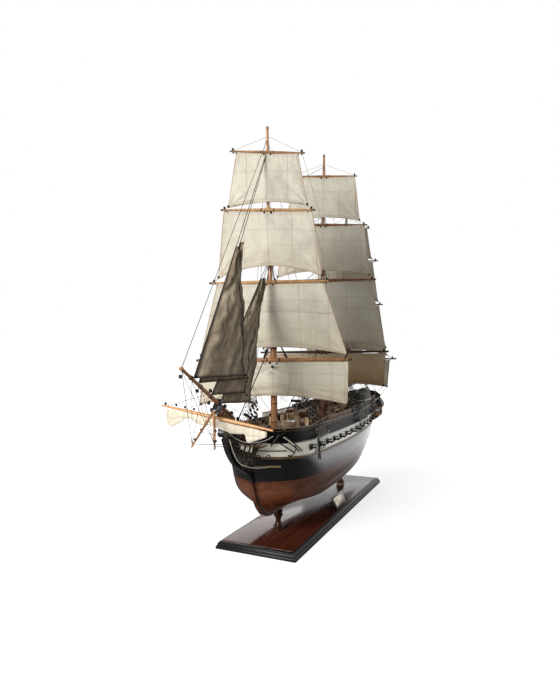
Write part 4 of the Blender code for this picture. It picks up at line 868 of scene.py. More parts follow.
def mast_rows(mast, rows, ahead=0.0, part=1.0):
    """A spar's rows from heights and shares of the mast's radius, or of a part of it."""
    return [(on_mast(mast, z, ahead), share * (part * mast[-1])) for z, share in rows]


def pole_middle(mast):
    """Height on a mast's pole where its upper taper starts."""
    cross_z, truck_z = mast[4:6]
    return cross_z + 0.45 * (truck_z - cross_z)


GRAIN_UP = (60.0, 60.0, 3.0)
# Copies of one mast wood by light: the main and mizzen masts and the spanker spars take a darker copy as
# painted shade, the fore pole a lighter copy as painted light.
mast_wood = wood("mast_wood", (0.190, 0.075, 0.028), (0.400, 0.185, 0.080), 0.30, along=GRAIN_UP, coat=0.3)
shaded_mast_wood = wood("shaded_mast_wood", (0.095, 0.032, 0.014), (0.215, 0.085, 0.038), 0.30, along=GRAIN_UP,
                     coat=0.3)
lit_pole_wood = wood("lit_pole_mast_wood", (0.260, 0.130, 0.048), (0.480, 0.270, 0.110), 0.32, along=GRAIN_UP,
                 coat=0.2)
iron_black = lacquer("iron_black", (0.012, 0.011, 0.011), 0.30, 0.3)
# Columns: mast radii ahead of the mast, share of the top's spread, round half of a top
TOP_OUTLINE = ((-1.7, 1.0), (1.4, 1.0), (2.7, 0.7), (3.2, 0.3))
TOP_SPREAD = 3.1
HOUNDS_DROP = 0.030
TOPMAST_PART = 0.66
HOOPS = 5
hoop_runs, top_rows = [], []
for mast in MASTS:
    name, deck_x, _, top_z, cross_z, truck_z, radius = mast
    look = mast_wood if name == "fore" else shaded_mast_wood
    foot = deck_height(deck_x)
    hounds_z, cap_z, middle_z = top_z - HOUNDS_DROP, top_z + DOUBLING, pole_middle(mast)
    # Lower mast: a wedged coat at the deck, a long taper, hounds under the top
    lower = [(foot, 1.35), (foot + 0.0016, 1.32), (foot + 0.0030, 1.06), (foot + 0.0034, 1.0)]
    lower += [(foot + share * (hounds_z - foot), 1.0 - 0.08 * share) for share in (0.25, 0.5, 0.75)]
    lower += [(hounds_z, 0.92), (top_z - 0.010, 1.02), (top_z - 0.003, 1.06), (top_z, 0.84),
              (cap_z + 0.001, 0.76)]
    spar(f"{name}_lower_mast_spar", mast_rows(mast, lower), look, "mast_wood", f"{name}_lower_mast")
    for number in range(HOOPS):
        z = foot + 0.016 + number * (top_z - 0.045 - foot) / (HOOPS - 1)
        hoop_runs.append((on_mast(mast, z), on_mast(mast, z + 0.0018), 1.045 * radius))
    # Topmast, pole and truck
    topmast = [(top_z - 0.004, 1.0), (top_z + 0.040, 1.0), (0.5 * (top_z + cross_z), 0.94),
               (cross_z - 0.008, 0.86), (cross_z - 0.002, 0.95), (cross_z, 0.82), (cross_z + 0.0240, 0.72)]
    spar(f"{name}_topmast_spar", mast_rows(mast, topmast, TOPMAST_AHEAD, TOPMAST_PART), look, "mast_wood",
         f"{name}_upper_mast")
    pole = [(cross_z - 0.003, 0.44), (middle_z, 0.40), (0.5 * (middle_z + truck_z), 0.42),
            (truck_z - 0.006, 0.38)]
    spar(f"{name}_pole_mast", mast_rows(mast, pole, POLE_AHEAD), lit_pole_wood if name == "fore" else mast_wood,
         "mast_wood")
    truck = [(truck_z - 0.0062, 0.24), (truck_z - 0.0055, 0.40), (truck_z - 0.0046, 0.45),
             (truck_z - 0.0026, 0.45), (truck_z - 0.0014, 0.40), (truck_z, 0.18)]
    spar(f"{name}_truck", mast_rows(mast, truck, POLE_AHEAD), mast_wood, "mast_wood", smooth=60.0)
    for z, ahead, share in ((cross_z + 0.055, POLE_AHEAD, 0.475), (middle_z + 0.02, POLE_AHEAD, 0.44),
                            (truck_z - 0.030, POLE_AHEAD, 0.36), (cross_z - 0.020, TOPMAST_AHEAD, 0.62),
                            (top_z + 0.060, TOPMAST_AHEAD, 0.70)):
        hoop_runs.append((on_mast(mast, z, ahead), on_mast(mast, z + 0.0016, ahead), share * radius))
    # Top: a planked platform, round before and square behind, on trestle-trees, with a rail aft
    spread = TOP_SPREAD * radius
    centre = mast_x(mast, top_z)
    half = [(centre + along * radius, across * spread) for along, across in TOP_OUTLINE]
    outline = half + [(x, -y) for x, y in reversed(half)]
    fitted(plate_of(f"{name}_top_platform", outline, top_z - 0.0008, top_z + 0.0010), iron_black,
           "dark_wood")
    for side in (1, -1):
        top_rows.append(((centre + 0.0035, side * 0.95 * radius, top_z - 0.0024), (0.0300, 0.0018, 0.0030)))
        top_rows.append(((centre - 0.0085, side * 0.5 * spread, top_z + 0.0040), (0.0010, spread, 0.0008)))
    for ahead in (-0.0040, 0.0090):
        top_rows.append(((centre + ahead, 0.0, top_z - 0.0016), (0.0020, 1.9 * spread, 0.0016)))
    for across in (-0.95, -0.5, 0.0, 0.5, 0.95):
        top_rows.append(((centre - 0.0085, across * spread, top_z + 0.0024), (0.0009, 0.0009, 0.0034)))
    cap = block(f"{name}_lower_cap", on_mast(mast, cap_z, 0.00575), (0.0245, 0.0110, 0.0042), 0.0007)
    fitted(cap, iron_black, "dark_wood")
    # Crosstrees, and the cap that holds the pole
    cross_x = mast_x(mast, cross_z) + TOPMAST_AHEAD
    top_rows.append(((cross_x + 0.0035, 0.0, cross_z), (0.0240, 0.0060, 0.0016)))
    for ahead in (-0.0030, 0.0095):
        top_rows.append(((cross_x + ahead, 0.0, cross_z + 0.0002), (0.0018, 4.6 * radius, 0.0018)))
    pole_cap = on_mast(mast, cross_z + 0.0223, 0.5 * (TOPMAST_AHEAD + POLE_AHEAD))
    top_rows.append((pole_cap, (0.0150, 0.0070, 0.0030)))
rods("mast_hoops", hoop_runs, iron_black, "black_paint", sides=24)
boxes("tops_and_crosstrees", top_rows, iron_black, "dark_wood", edge=0)


# Yards. Tapered spars slung before the masts and braced round 20 degrees, varnished, with dark
# brown arms and iron straps. The varnish comes in copies: lighter ones as painted light on the
# lit yards, darker ones as painted shade on the yards in shade.
BRACE = math.radians(20.0)
AHEAD = Vector((math.cos(BRACE), math.sin(BRACE), 0.0))
PORT = Vector((-math.sin(BRACE), math.cos(BRACE), 0.0))
# Columns: mast, yard, height, half length, radius at the sling
YARDS = (
    ("fore", "course", 0.3235, 0.1390, 0.0036), ("fore", "topsail", 0.4616, 0.1080, 0.0032),
    ("fore", "topgallant", 0.5883, 0.0830, 0.0028), ("fore", "royal", 0.6909, 0.0660, 0.0023),
    ("main", "course", 0.3367, 0.1430, 0.0036), ("main", "topsail", 0.4984, 0.1170, 0.0033),
    ("main", "topgallant", 0.6247, 0.0985, 0.0028), ("main", "royal", 0.7374, 0.0750, 0.0023),
    ("mizzen", "course", 0.3180, 0.1240, 0.0031), ("mizzen", "topsail", 0.4560, 0.0920, 0.0028),
    ("mizzen", "topgallant", 0.5680, 0.0810, 0.0024), ("mizzen", "royal", 0.6540, 0.0600, 0.0020),
)
# Columns: share of the half length, share of the sling's radius
YARD_TAPER = ((-1.00, 0.52), (-0.90, 0.56), (-0.70, 0.72), (-0.45, 0.86), (-0.20, 0.97), (0.00, 1.00),
              (0.20, 0.97), (0.45, 0.86), (0.70, 0.72), (0.90, 0.56), (1.00, 0.52))
mast_named = {mast[0]: mast for mast in MASTS}


def radius_at(mast, z):
    """Place in X and radius of whichever length of a mast stands at a height."""
    _, deck_x, _, top_z, cross_z, truck_z, radius = mast
    foot = deck_height(deck_x)
    middle_z = pole_middle(mast)
    if z < top_z:
        share = (z - foot) / (top_z - HOUNDS_DROP - foot)
        return mast_x(mast, z), radius * (1.0 - 0.08 * min(share, 1.0))
    if z < cross_z:
        share = max(z - top_z - 0.040, 0.0) / (cross_z - top_z - 0.040)
        return mast_x(mast, z) + TOPMAST_AHEAD, TOPMAST_PART * radius * (1.0 - 0.16 * share)
    if z < middle_z:
        return mast_x(mast, z) + POLE_AHEAD, radius * (0.44 - 0.04 * (z - cross_z) / (middle_z - cross_z))
    share = (z - middle_z) / (truck_z - 0.006 - middle_z)
    return mast_x(mast, z) + POLE_AHEAD, radius * (0.40 - 0.13 * share)


def yard_wood(name, dark, light, gloss=0.32, coat=0.3):
    """Varnished wood whose grain runs along the braced yards."""
    return wood(name, dark, light, gloss, turn=-(BRACE + math.pi / 2), coat=coat)


lit_yard = yard_wood("golden_yard_wood", (0.290, 0.145, 0.050), (0.500, 0.280, 0.110))
shaded_yard = yard_wood("brown_yard_wood", (0.120, 0.048, 0.018), (0.270, 0.120, 0.048), gloss=0.30)
half_lit_yard = yard_wood("orange_yard_wood", (0.200, 0.085, 0.028), (0.390, 0.190, 0.070))
dark_yard = yard_wood("deep_shaded_yard_wood", (0.030, 0.015, 0.008), (0.085, 0.040, 0.019), gloss=0.34, coat=0.1)
dark_arm = wood("dark_yard_arm", (0.040, 0.016, 0.008), (0.085, 0.038, 0.018), 0.35,
                along=(60.0, 60.0, 60.0))
# Lighter copies on the fore yards and the main royal are painted light; the darkest, on the main course
# yard, is painted shade.
YARD_FINISH = {("main", "course"): dark_yard, ("fore", "royal"): half_lit_yard,
               ("main", "royal"): half_lit_yard, ("fore", "topgallant"): lit_yard,
               ("fore", "topsail"): lit_yard, ("fore", "course"): half_lit_yard}
# How far a yard's port arm stands above level, as a share of its length
COCKED = {("fore", "royal"): -0.065, ("fore", "topgallant"): -0.030,
          ("main", "royal"): -0.030, ("main", "topgallant"): -0.030}
slings, yard_ways, arm_runs, strap_runs = {}, {}, [], []
for mast_name, yard, z, half, radius in YARDS:
    mast_place, mast_radius = radius_at(mast_named[mast_name], z)
    sling = Vector((mast_place, 0.0, z)) + AHEAD * (mast_radius + radius + 0.0005)
    slings[mast_name, yard] = (sling, half, radius)
    way = (PORT + UP * COCKED.get((mast_name, yard), 0.0)).normalized()
    yard_ways[mast_name, yard] = way
    rows = [(sling + way * half * share, radius * part) for share, part in YARD_TAPER]
    look = YARD_FINISH.get((mast_name, yard), shaded_yard)
    spar(f"{mast_name}_{yard}_yard_spar", rows, look, "yard_wood", f"{mast_name}_{yard}_yard", sides=20)
    for side in (1, -1):
        arm, end = sling + way * half * side * 0.955, sling + way * side * (half + 0.0008)
        arm_runs.append((arm, end, 0.60 * radius))
        for inner, outer, part in ((0.900 * half, 0.915 * half, 0.64), (0.0100, 0.0122, 1.06)):
            strap_runs.append((sling + way * side * inner, sling + way * side * outer, part * radius))
rods("yard_arms", arm_runs, dark_arm, "dark_wood", sides=16)
rods("yard_straps", strap_runs, iron_black, "black_paint", sides=16)


# Bowsprit. It rises over the stem at 31 degrees, lashed down by gammoning, carries the jib-boom
# above it through a tilted cap, and has two dolphin strikers below to spread the bobstays.
STEEVE = 0.605
SPRIT_TILT = math.atan(STEEVE)


def on_bowsprit(x, lift=0.0):
    return Vector((x, 0.0, 0.2525 + lift + STEEVE * (x - 0.386)))


sprit_along = Vector((1.0, 0.0, STEEVE)).normalized()
sprit_down = Vector((sprit_along.z, 0.0, -sprit_along.x))
BOOM_LIFT = 0.0113
# Columns: X, radius
BOWSPRIT = ((0.262, 0.0062), (0.300, 0.0062), (0.330, 0.0062), (0.360, 0.0057), (0.387, 0.0052))
JIB_BOOM = ((0.340, 0.0032), (0.400, 0.0030), (0.440, 0.0026), (0.472, 0.0022), (0.4725, 0.0029),
            (0.4745, 0.0029), (0.4755, 0.0018))
spar("bowsprit_spar", [(on_bowsprit(x), radius) for x, radius in BOWSPRIT], mast_wood, "mast_wood",
     "bowsprit")
spar("jib_boom_spar", [(on_bowsprit(x, BOOM_LIFT), radius) for x, radius in JIB_BOOM], mast_wood,
     "mast_wood", "jib_boom")
sprit_cap = block("bowsprit_cap", on_bowsprit(0.386, 0.5 * BOOM_LIFT), (0.0050, 0.0130, 0.0240), 0.0008,
                  (0.0, -SPRIT_TILT, 0.0))
fitted(sprit_cap, iron_black, "dark_wood")
# Columns: X, height over the bowsprit's axis, half width, radius
SPRIT_HOOPS = [(0.352, 0.0, 0.0009, 0.0062), (0.368, 0.0, 0.0009, 0.0059), (0.3785, 0.0, 0.0009, 0.0057)]
SPRIT_HOOPS += [(x, BOOM_LIFT, 0.0008, 0.0035) for x in (0.352, 0.405, 0.430, 0.452)]
sprit_hoops = []
for x, lift, half, radius in SPRIT_HOOPS:
    middle = on_bowsprit(x, lift)
    sprit_hoops.append((middle - sprit_along * half, middle + sprit_along * half, radius))
rods("bowsprit_hoops", sprit_hoops, iron_black, "black_paint", sides=24)
striker_wood = wood("striker_wood", (0.220, 0.100, 0.036), (0.420, 0.215, 0.085), 0.34, along=GRAIN_UP)
# Columns: share of the striker's length, radius
STRIKER = ((0.0, 0.0021), (0.06, 0.0017), (0.30, 0.0021), (0.60, 0.0019), (0.90, 0.0013), (0.93, 0.0017),
           (1.0, 0.0012))
root = on_bowsprit(0.3928)
start = root + sprit_down * 0.0035
for side, word in SIDES:
    tip = root + sprit_down * 0.0620 + PORTWARD * (side * 0.0195)
    nodes = ["dolphin_striker"] if side > 0 else []
    spar(f"dolphin_striker_{word}", [(start.lerp(tip, share), thick) for share, thick in STRIKER],
         striker_wood, "yard_wood", *nodes, sides=16)
saddle = block("striker_saddle", start, (0.0066, 0.0110, 0.0050), 0.0007, (0.0, -SPRIT_TILT, 0.0))
fitted(saddle, iron_black, "dark_wood")
sprit_sling = on_bowsprit(0.3840) + Vector((0.0, -0.0060, -0.0093))
CANT = math.radians(8.5)
sprit_port = Vector((0.0, math.cos(CANT), -math.sin(CANT)))
SPRIT_HALF, SPRIT_RADIUS = 0.0965, 0.0030


def on_spritsail_yard(share):
    """A place on the spritsail yard, from -1 at its starboard arm to 1 at its port arm."""
    return sprit_sling + sprit_port * SPRIT_HALF * share


# A still lighter copy of the yard varnish: painted light where the lamp falls on the low spritsail yard.
lit_sprit_yard = wood("spritsail_yard_lit_wood", (0.340, 0.150, 0.046), (0.580, 0.300, 0.110), 0.34,
                 along=(60.0, 3.0, 60.0), coat=0.2)
spar("spritsail_yard_spar", [(on_spritsail_yard(share), SPRIT_RADIUS * part) for share, part in YARD_TAPER],
     lit_sprit_yard, "yard_wood", "spritsail_yard", sides=20)

# Spanker spars. A gaff with jaws round the mast and a long boom over the taffrail.
# Columns: share of the spar's length, share of its radius
GAFF_TAPER = ((0.0, 0.80), (0.03, 1.0), (0.35, 1.0), (0.70, 0.86), (0.96, 0.62), (0.965, 0.75), (1.0, 0.70))
mizzen = mast_named["mizzen"]
JAW_GAP = 0.0052 + 0.0012
gaff_jaw, gaff_tip = on_mast(mizzen, 0.3330, -JAW_GAP), Vector((-0.3650, 0.0, 0.3880))
boom_jaw, boom_tip = on_mast(mizzen, 0.2470, -JAW_GAP), Vector((-0.4500, 0.0, 0.2600))
GAFF_RADIUS, BOOM_RADIUS = 0.0024, 0.0030
for name, jaw, tip, radius in (("spanker_gaff", gaff_jaw, gaff_tip, GAFF_RADIUS),
                               ("spanker_boom", boom_jaw, boom_tip, BOOM_RADIUS)):
    rows = [(jaw.lerp(tip, share), radius * part) for share, part in GAFF_TAPER]
    spar(f"{name}_spar", rows, shaded_mast_wood, "mast_wood", name, sides=20)


# Deck. Narrow maple planks laid fore and aft on the sheer, caulked with dark thread, with their
# butts shifted from plank to plank and a thick waterway round the edge.
def decking(name, dark, light, plank):
    """Laid planks: a tone to each, dark caulking and shifted butts."""
    made = Finish(name, {"Roughness": 0.55})
    here = made.place()
    row = (here.part(1) / plank).floor()
    butt = here.part(0) / 0.085 + row * 0.31
    tone = made.node("TexWhiteNoise", {"noise_dimensions": "2D"},
                     {"Vector": made.node("CombineXYZ", {}, {0: row, 1: butt.floor()})})
    streak = made.grain(made.place((5.0, 120.0, 40.0)), 1.5, 4.0, 0.6)
    share = (streak * 0.45 + tone * 0.35 + made.grain(here, 18.0) * 0.20).rises(0.25, 0.75)
    body = made.mix(share, dark, light)
    seam = abs((here.part(1) / plank).fraction() - 0.5).rises(0.43, 0.48)
    end = abs(butt.fraction() - 0.5).rises(0.494, 0.498)
    line = seam.most(end)
    made.colour(made.mix(line * 0.75, body, (0.035, 0.022, 0.014)))
    made.roughness(streak * 0.15 + 0.45)
    made.relief(1.0 - line, 0.00008)
    return made.material


deck_planks = decking("deck_planks", (0.200, 0.115, 0.052), (0.400, 0.255, 0.130), 0.0030)


def deck_place(across, along):
    edge = on_hull(spaced(along), sheered(DECK + 0.0002), -(WALL + 0.0004))
    return Vector((edge.x, max(edge.y, 0.0006) * (2.0 * across - 1.0), edge.z))


planking = formed("deck_planking", 24, 150, deck_place)
modified(planking, "SOLIDIFY", thickness=0.0015, offset=-1.0, use_even_offset=False)
fitted(planking, deck_planks, "deck_wood", "deck")


# Columns: distance out of the hull, height over the deck
WATERWAY = ((-0.0060, 0.0), (-0.0058, 0.0010), (-0.0044, 0.0016), (-0.0030, 0.0016), (-0.0030, 0.0))
for side, word in SIDES:
    def waterway_place(across, along, way=side):
        out, up = WATERWAY[round(across * 5) % 5]
        edge = on_hull(spaced(0.006 + 0.986 * along), sheered(DECK + up), out)
        return Vector((edge.x, way * edge.y, edge.z))
    edge_timber = formed(f"waterway_{word}", len(WATERWAY), 120, waterway_place, capped=True)
    fitted(edge_timber, cap_rail_stain, "dark_wood", smooth=50.0)

# Hatches. Coamings of dark timber round gratings of crossed battens, down the middle of the deck.
# Columns: middle in X, length, breadth, height
HATCHES = ((0.150, 0.026, 0.028, 0.004), (0.0905, 0.017, 0.026, 0.005), (-0.018, 0.018, 0.026, 0.005),
           (-0.090, 0.022, 0.026, 0.005), (-0.150, 0.022, 0.024, 0.005))
house_wood = wood("deck_house_wood", (0.120, 0.048, 0.020), (0.280, 0.130, 0.058), 0.38,
                  along=(60.0, 60.0, 4.0))
fine_wood = wood("pale_deck_wood", (0.330, 0.220, 0.120), (0.560, 0.420, 0.260), 0.45,
                 along=(4.0, 60.0, 60.0))
COAMING, BATTEN_STEP = 0.0022, 0.0026
coamings, battens = [], []
for x, length, breadth, height in HATCHES:
    base = deck_height(x)
    middle_z = base + 0.5 * height
    for way in (1, -1):
        coamings.append(((x + way * 0.5 * (length - COAMING), 0.0, middle_z), (COAMING, breadth, height)))
        coamings.append(((x, way * 0.5 * (breadth - COAMING), middle_z),
                         (length - 0.0040, COAMING, height)))
    for k in range(int((length - 2 * COAMING) / BATTEN_STEP)):
        at = x - 0.5 * (length - 2 * COAMING) + BATTEN_STEP * (k + 0.5)
        battens.append(((at, 0.0, base + height - 0.0011), (0.0010, breadth - 0.0040, 0.0012)))
    for k in range(int((breadth - 2 * COAMING) / BATTEN_STEP)):
        at = -0.5 * (breadth - 2 * COAMING) + BATTEN_STEP * (k + 0.5)
        battens.append(((x, at, base + height - 0.0009), (length - 0.0040, 0.0010, 0.0012)))
boxes("hatch_coamings", coamings, house_wood, "dark_wood")
boxes("hatch_gratings", battens, fine_wood, "deck_wood", edge=0)

# Deck houses. A forward scuttle, the galley with the bell in its belfry and its iron funnel, the
# binnacle, a glazed skylight and the flag locker under the taffrail.
houses, panels, roofs = [], [], []
# Columns: middle in X, length, breadth, height
HOUSES = ((0.240, 0.020, 0.024, 0.006), (0.112, 0.023, 0.027, 0.010), (-0.192, 0.010, 0.016, 0.012),
          (-0.268, 0.021, 0.025, 0.009), (-0.325, 0.015, 0.048, 0.008))
for x, length, breadth, height in HOUSES:
    base = deck_height(x)
    houses.append(((x, 0.0, base + 0.5 * height - 0.0006), (length - 0.0016, breadth - 0.0016, height)))
    roofs.append(((x, 0.0, base + height - 0.0004), (length + 0.0006, breadth + 0.0006, 0.0012)))
    panels.append(((x, 0.0, base + 0.0006), (length, breadth, 0.0014)))
    middle_z = base + 0.5 * height - 0.0004
    for side in (1, -1):
        count = max(2, round(length / 0.0070))
        for k in range(count + 1):
            at = x - 0.5 * (length - 0.0014) + (length - 0.0014) * k / count
            panels.append(((at, side * 0.5 * (breadth - 0.0012), middle_z), (0.0012, 0.0014, height)))
        count = max(2, round(breadth / 0.0065))
        for k in range(count + 1):
            at = -0.5 * (breadth - 0.0014) + (breadth - 0.0014) * k / count
            panels.append(((x + side * 0.5 * (length - 0.0012), at, middle_z), (0.0014, 0.0012, height)))
boxes("deck_house_sides", houses, house_wood, "deck_wood")
boxes("deck_house_frames", panels, fine_wood, "deck_wood")
boxes("deck_house_roofs", roofs, cap_rail_stain, "dark_wood", edge=0.0003)
glass = Finish("dark_glass", {"Roughness": 0.20, "Specular IOR Level": 0.15})
glass.colour(glass.mix(glass.grain(glass.place(), 60.0), (0.010, 0.014, 0.018), (0.030, 0.036, 0.042)))
SKYLIGHT_X = -0.268
panes = []
for side in (1, -1):
    slope = Matrix.Rotation(side * math.radians(-22.0), 3, "X")
    for k in (-1, 0, 1):
        middle = (SKYLIGHT_X + 0.0062 * k, side * 0.0058, deck_height(SKYLIGHT_X) + 0.0106)
        panes.append((middle, (0.0050, 0.0080, 0.0006), slope))
boxes("skylight_panes", panes, glass.material, "dark_wood", edge=0)

BELFRY_X, EAVES = 0.111, 0.2180
belfry_foot = deck_height(BELFRY_X) + 0.0098
posts = []
for x in (BELFRY_X - 0.0060, BELFRY_X + 0.0060):
    for side in (1, -1):
        posts.append(((x, side * 0.0085, 0.5 * (belfry_foot + EAVES)),
                      (0.0018, 0.0018, EAVES - belfry_foot + 0.0006)))
        posts.append(((x, side * 0.0085, belfry_foot + 0.0008), (0.0028, 0.0028, 0.0016)))
        posts.append(((x, side * 0.0085, EAVES - 0.0012), (0.0026, 0.0026, 0.0010)))
for side in (1, -1):
    posts.append(((BELFRY_X, side * 0.0085, EAVES - 0.0003), (0.0160, 0.0022, 0.0014)))
    posts.append(((BELFRY_X, side * 0.0085, belfry_foot + 0.0060), (0.0120, 0.0010, 0.0010)))
    posts.append(((BELFRY_X + side * 0.0060, 0.0, EAVES - 0.0003), (0.0022, 0.0190, 0.0014)))
    posts.append(((BELFRY_X + 0.0120, side * 0.0165, deck_height(BELFRY_X) + 0.0110),
                  (0.0034, 0.0058, 0.0230)))
boxes("belfry_posts", posts, fine_wood, "deck_wood")
ARCH = ((-0.0115, 0.0004), (-0.0115, 0.0022), (-0.0098, 0.0052), (-0.0075, 0.0072), (-0.0040, 0.0090),
        (0.0, 0.0095), (0.0040, 0.0090), (0.0075, 0.0072), (0.0098, 0.0052), (0.0115, 0.0022),
        (0.0115, 0.0004), (0.0086, 0.0004), (0.0070, 0.0048), (0.0, 0.0072), (-0.0070, 0.0048),
        (-0.0086, 0.0004))


def arch_place(across, along):
    y, rise = ARCH[round(across * len(ARCH)) % len(ARCH)]
    return Vector((BELFRY_X - 0.0085 + 0.0170 * along, y, EAVES + rise))


arch = formed("belfry_roof", len(ARCH), 6, arch_place, capped=True)
fitted(arch, house_wood, "dark_wood", smooth=35.0)
brass = Finish("old_brass", {"Metallic": 1.0, "Roughness": 0.3})
brass.colour(brass.mix(brass.grain(brass.place(), 180.0).rises(0.3, 0.7), (0.20, 0.12, 0.04),
                       (0.42, 0.28, 0.10)))
brass.roughness(brass.grain(brass.place(), 240.0) * 0.25 + 0.2)
bell = lathe("ships_bell", [(EAVES, 0.0004), (EAVES - 0.0004, 0.0014), (EAVES - 0.0020, 0.0022),
                            (EAVES - 0.0046, 0.0026), (EAVES - 0.0066, 0.0036), (EAVES - 0.0070, 0.0038),
                            (EAVES - 0.0070, 0.0032), (EAVES - 0.0050, 0.0022), (EAVES - 0.0020, 0.0016)],
             (BELFRY_X, 0.0), 32)
fitted(bell, brass.material, "plate_metal", smooth=50.0)
FUNNEL_X, FUNNEL_Y, FUNNEL_TOP = 0.1010, 0.0045, 0.2410
funnel = [(belfry_foot, 0.0026), (belfry_foot + 0.0010, 0.0026), (belfry_foot + 0.0014, 0.0015),
          (0.2240, 0.0015)]
fitted(lathe("galley_funnel_foot", funnel, (FUNNEL_X, FUNNEL_Y), 20), fine_wood, "deck_wood", smooth=50.0)
pipe_foot, pipe_head = Vector((FUNNEL_X, FUNNEL_Y, 0.2238)), Vector((FUNNEL_X, FUNNEL_Y, FUNNEL_TOP))
rods("galley_funnel_pipe", [(pipe_foot, pipe_head, 0.0013)], fine_wood, "deck_wood", sides=16)
crosspiece = [(pipe_head - PORTWARD * 0.0105, pipe_head + PORTWARD * 0.0105, 0.0027)]
crosspiece += [(pipe_head + PORTWARD * at, pipe_head + PORTWARD * (at + 0.0010), 0.0031)
               for at in (-0.0115, -0.0040, 0.0030, 0.0105)]
rods("galley_funnel", crosspiece, black_hull, "black_paint", sides=16)

# Ready lockers. Upright boxes with tan doors and dark brown sides stand either side of the galley.
LOCKER_X, LOCKER_Y = 0.1250, 0.0370
locker_foot = deck_height(LOCKER_X)
locker_rows, locker_doors = [], []
for side in (1, -1):
    locker_rows.append(((LOCKER_X, side * LOCKER_Y, locker_foot + 0.0095), (0.0090, 0.0100, 0.0200)))
    locker_doors.append(((LOCKER_X + 0.0048, side * 0.0380, locker_foot + 0.0098),
                         (0.0008, 0.0072, 0.0180)))
    locker_doors.append(((LOCKER_X, side * LOCKER_Y, locker_foot + 0.0199), (0.0102, 0.0112, 0.0012)))
boxes("ready_lockers", locker_rows, house_wood, "dark_wood")
boxes("ready_locker_doors", locker_doors, fine_wood, "deck_wood")

# Skid beams and the long-boat. Two beams on posts carry an open clinker boat, with its
# thwarts, gunwales and oars, amidships.
SKIDS = (0.062, 0.020)
skid_rows = [((x, 0.0, deck_height(x) + 0.0125), (0.0045, 0.0560, 0.0030)) for x in SKIDS]
skid_rows += [((x, side * 0.0235, deck_height(x) + 0.0055), (0.0030, 0.0030, 0.0120)) for x in SKIDS
              for side in (1, -1)]
boxes("skid_beams", skid_rows, house_wood, "dark_wood", edge=0.0004)


def boat_finish(name, outer, strakes, line):
    """Painted planks: a tone and a lap line to each strake, by the piece's own map."""
    made = Finish(name, {"Roughness": 0.45, "Coat Weight": 0.05, "Specular IOR Level": 0.2})
    round_way = made.cloth("UVMap").part(0) * strakes
    lap = abs(round_way.fraction() - 0.5).rises(0.40, 0.48)
    cloud = made.grain(made.place(), 60.0)
    body = made.mix(cloud.rises(0.3, 0.7), outer, [1.6 * c + 0.004 for c in outer])
    made.colour(made.mix(lap * 0.6, body, line))
    made.relief((1.0 - lap) + cloud * 0.2, 0.0001)
    return made.material


# Columns: place along the boat, half breadth, height of the keel, height of the sheer
LONG_BOAT = ((-0.008, 0.0070, 0.0024, 0.0135), (0.000, 0.0108, 0.0006, 0.0126),
             (0.010, 0.0130, -0.0002, 0.0118), (0.022, 0.0139, -0.0006, 0.0112),
             (0.046, 0.0138, -0.0006, 0.0112), (0.058, 0.0128, -0.0003, 0.0116),
             (0.068, 0.0105, 0.0002, 0.0124), (0.076, 0.0062, 0.0014, 0.0133),
             (0.080, 0.0012, 0.0028, 0.0140))
boat_base = deck_height(0.04) + 0.0134
boat_rows = eased(LONG_BOAT, 4)


def long_boat_place(across, along):
    x, half, keel, top = boat_rows[round(along * (len(boat_rows) - 1))]
    turn = math.pi * across
    depth = top - keel
    return Vector((x, half * math.cos(turn) * (1.0 - 0.10 * math.sin(turn)),
                   boat_base + top - depth * math.sin(turn) ** 0.72))


boat_brown = boat_finish("varnished_boat", (0.150, 0.070, 0.030), 9.0, (0.040, 0.018, 0.010))
hull_of_boat = formed("long_boat", 18, len(boat_rows) - 1, long_boat_place)
modified(hull_of_boat, "SOLIDIFY", thickness=0.0009, offset=1.0, use_even_offset=False)
fitted(hull_of_boat, boat_brown, "deck_wood", smooth=50.0)


def strung(points, thickness):
    """Rods end to end through points."""
    points = [Vector(point) for point in points]
    return [(start, end, thickness) for start, end in zip(points, points[1:])]


rims = []
for edge in (0.0, 1.0):
    rims += strung([long_boat_place(edge, k / 16) for k in range(17)], 0.0007)
rods("long_boat_gunwales", rims, off_white, "cream_paint", sides=6)
thwarts = []
for along in (0.18, 0.34, 0.50, 0.66, 0.82):
    x, half, keel, top = boat_rows[round(along * (len(boat_rows) - 1))]
    thwarts.append(((x, 0.0, boat_base + top - 0.0022), (0.0030, 1.86 * half, 0.0007)))
# Oars: distance off the middle line, height, length
for side in (1, -1):
    for off, rise, long in ((0.0048, 0.0104, 0.0560), (0.0062, 0.0106, 0.0520)):
        thwarts.append(((0.036, side * off, boat_base + rise), (long, 0.0008, 0.0008)))
boxes("long_boat_thwarts_and_oars", thwarts, fine_wood, "deck_wood", edge=0)

# Capstan, wheel and deck guns. A turned capstan with whelps, the steering wheel on its barrel,
# and short iron guns on wooden slides along the quarterdeck.
CAPSTAN_X = -0.122
capstan_foot = deck_height(CAPSTAN_X)
# Columns: height over the deck, radius
CAPSTAN = ((0.0, 0.0010), (0.0, 0.0060), (0.0024, 0.0060), (0.0030, 0.0044), (0.0040, 0.0036),
           (0.0090, 0.0032), (0.0100, 0.0052), (0.0106, 0.0066), (0.0130, 0.0066), (0.0137, 0.0058),
           (0.0140, 0.0020), (0.0140, 0.0002))
capstan_turning = [(capstan_foot + rise, radius) for rise, radius in CAPSTAN]
fitted(lathe("capstan", capstan_turning, (CAPSTAN_X, 0.0), 32), house_wood, "dark_wood", smooth=40.0)
WHELPS, SPOKES = 8, 10
whelps = []
for number in range(WHELPS):
    turn = Matrix.Rotation(math.tau * number / WHELPS, 3, "Z")
    for rise, reach, size in ((0.0066, 0.0038, (0.0018, 0.0010, 0.0062)),
                              (0.0119, 0.0064, (0.0008, 0.0010, 0.0010))):
        middle = Vector((CAPSTAN_X, 0.0, capstan_foot + rise)) + turn @ (FORWARD * reach)
        whelps.append((middle, size, turn))
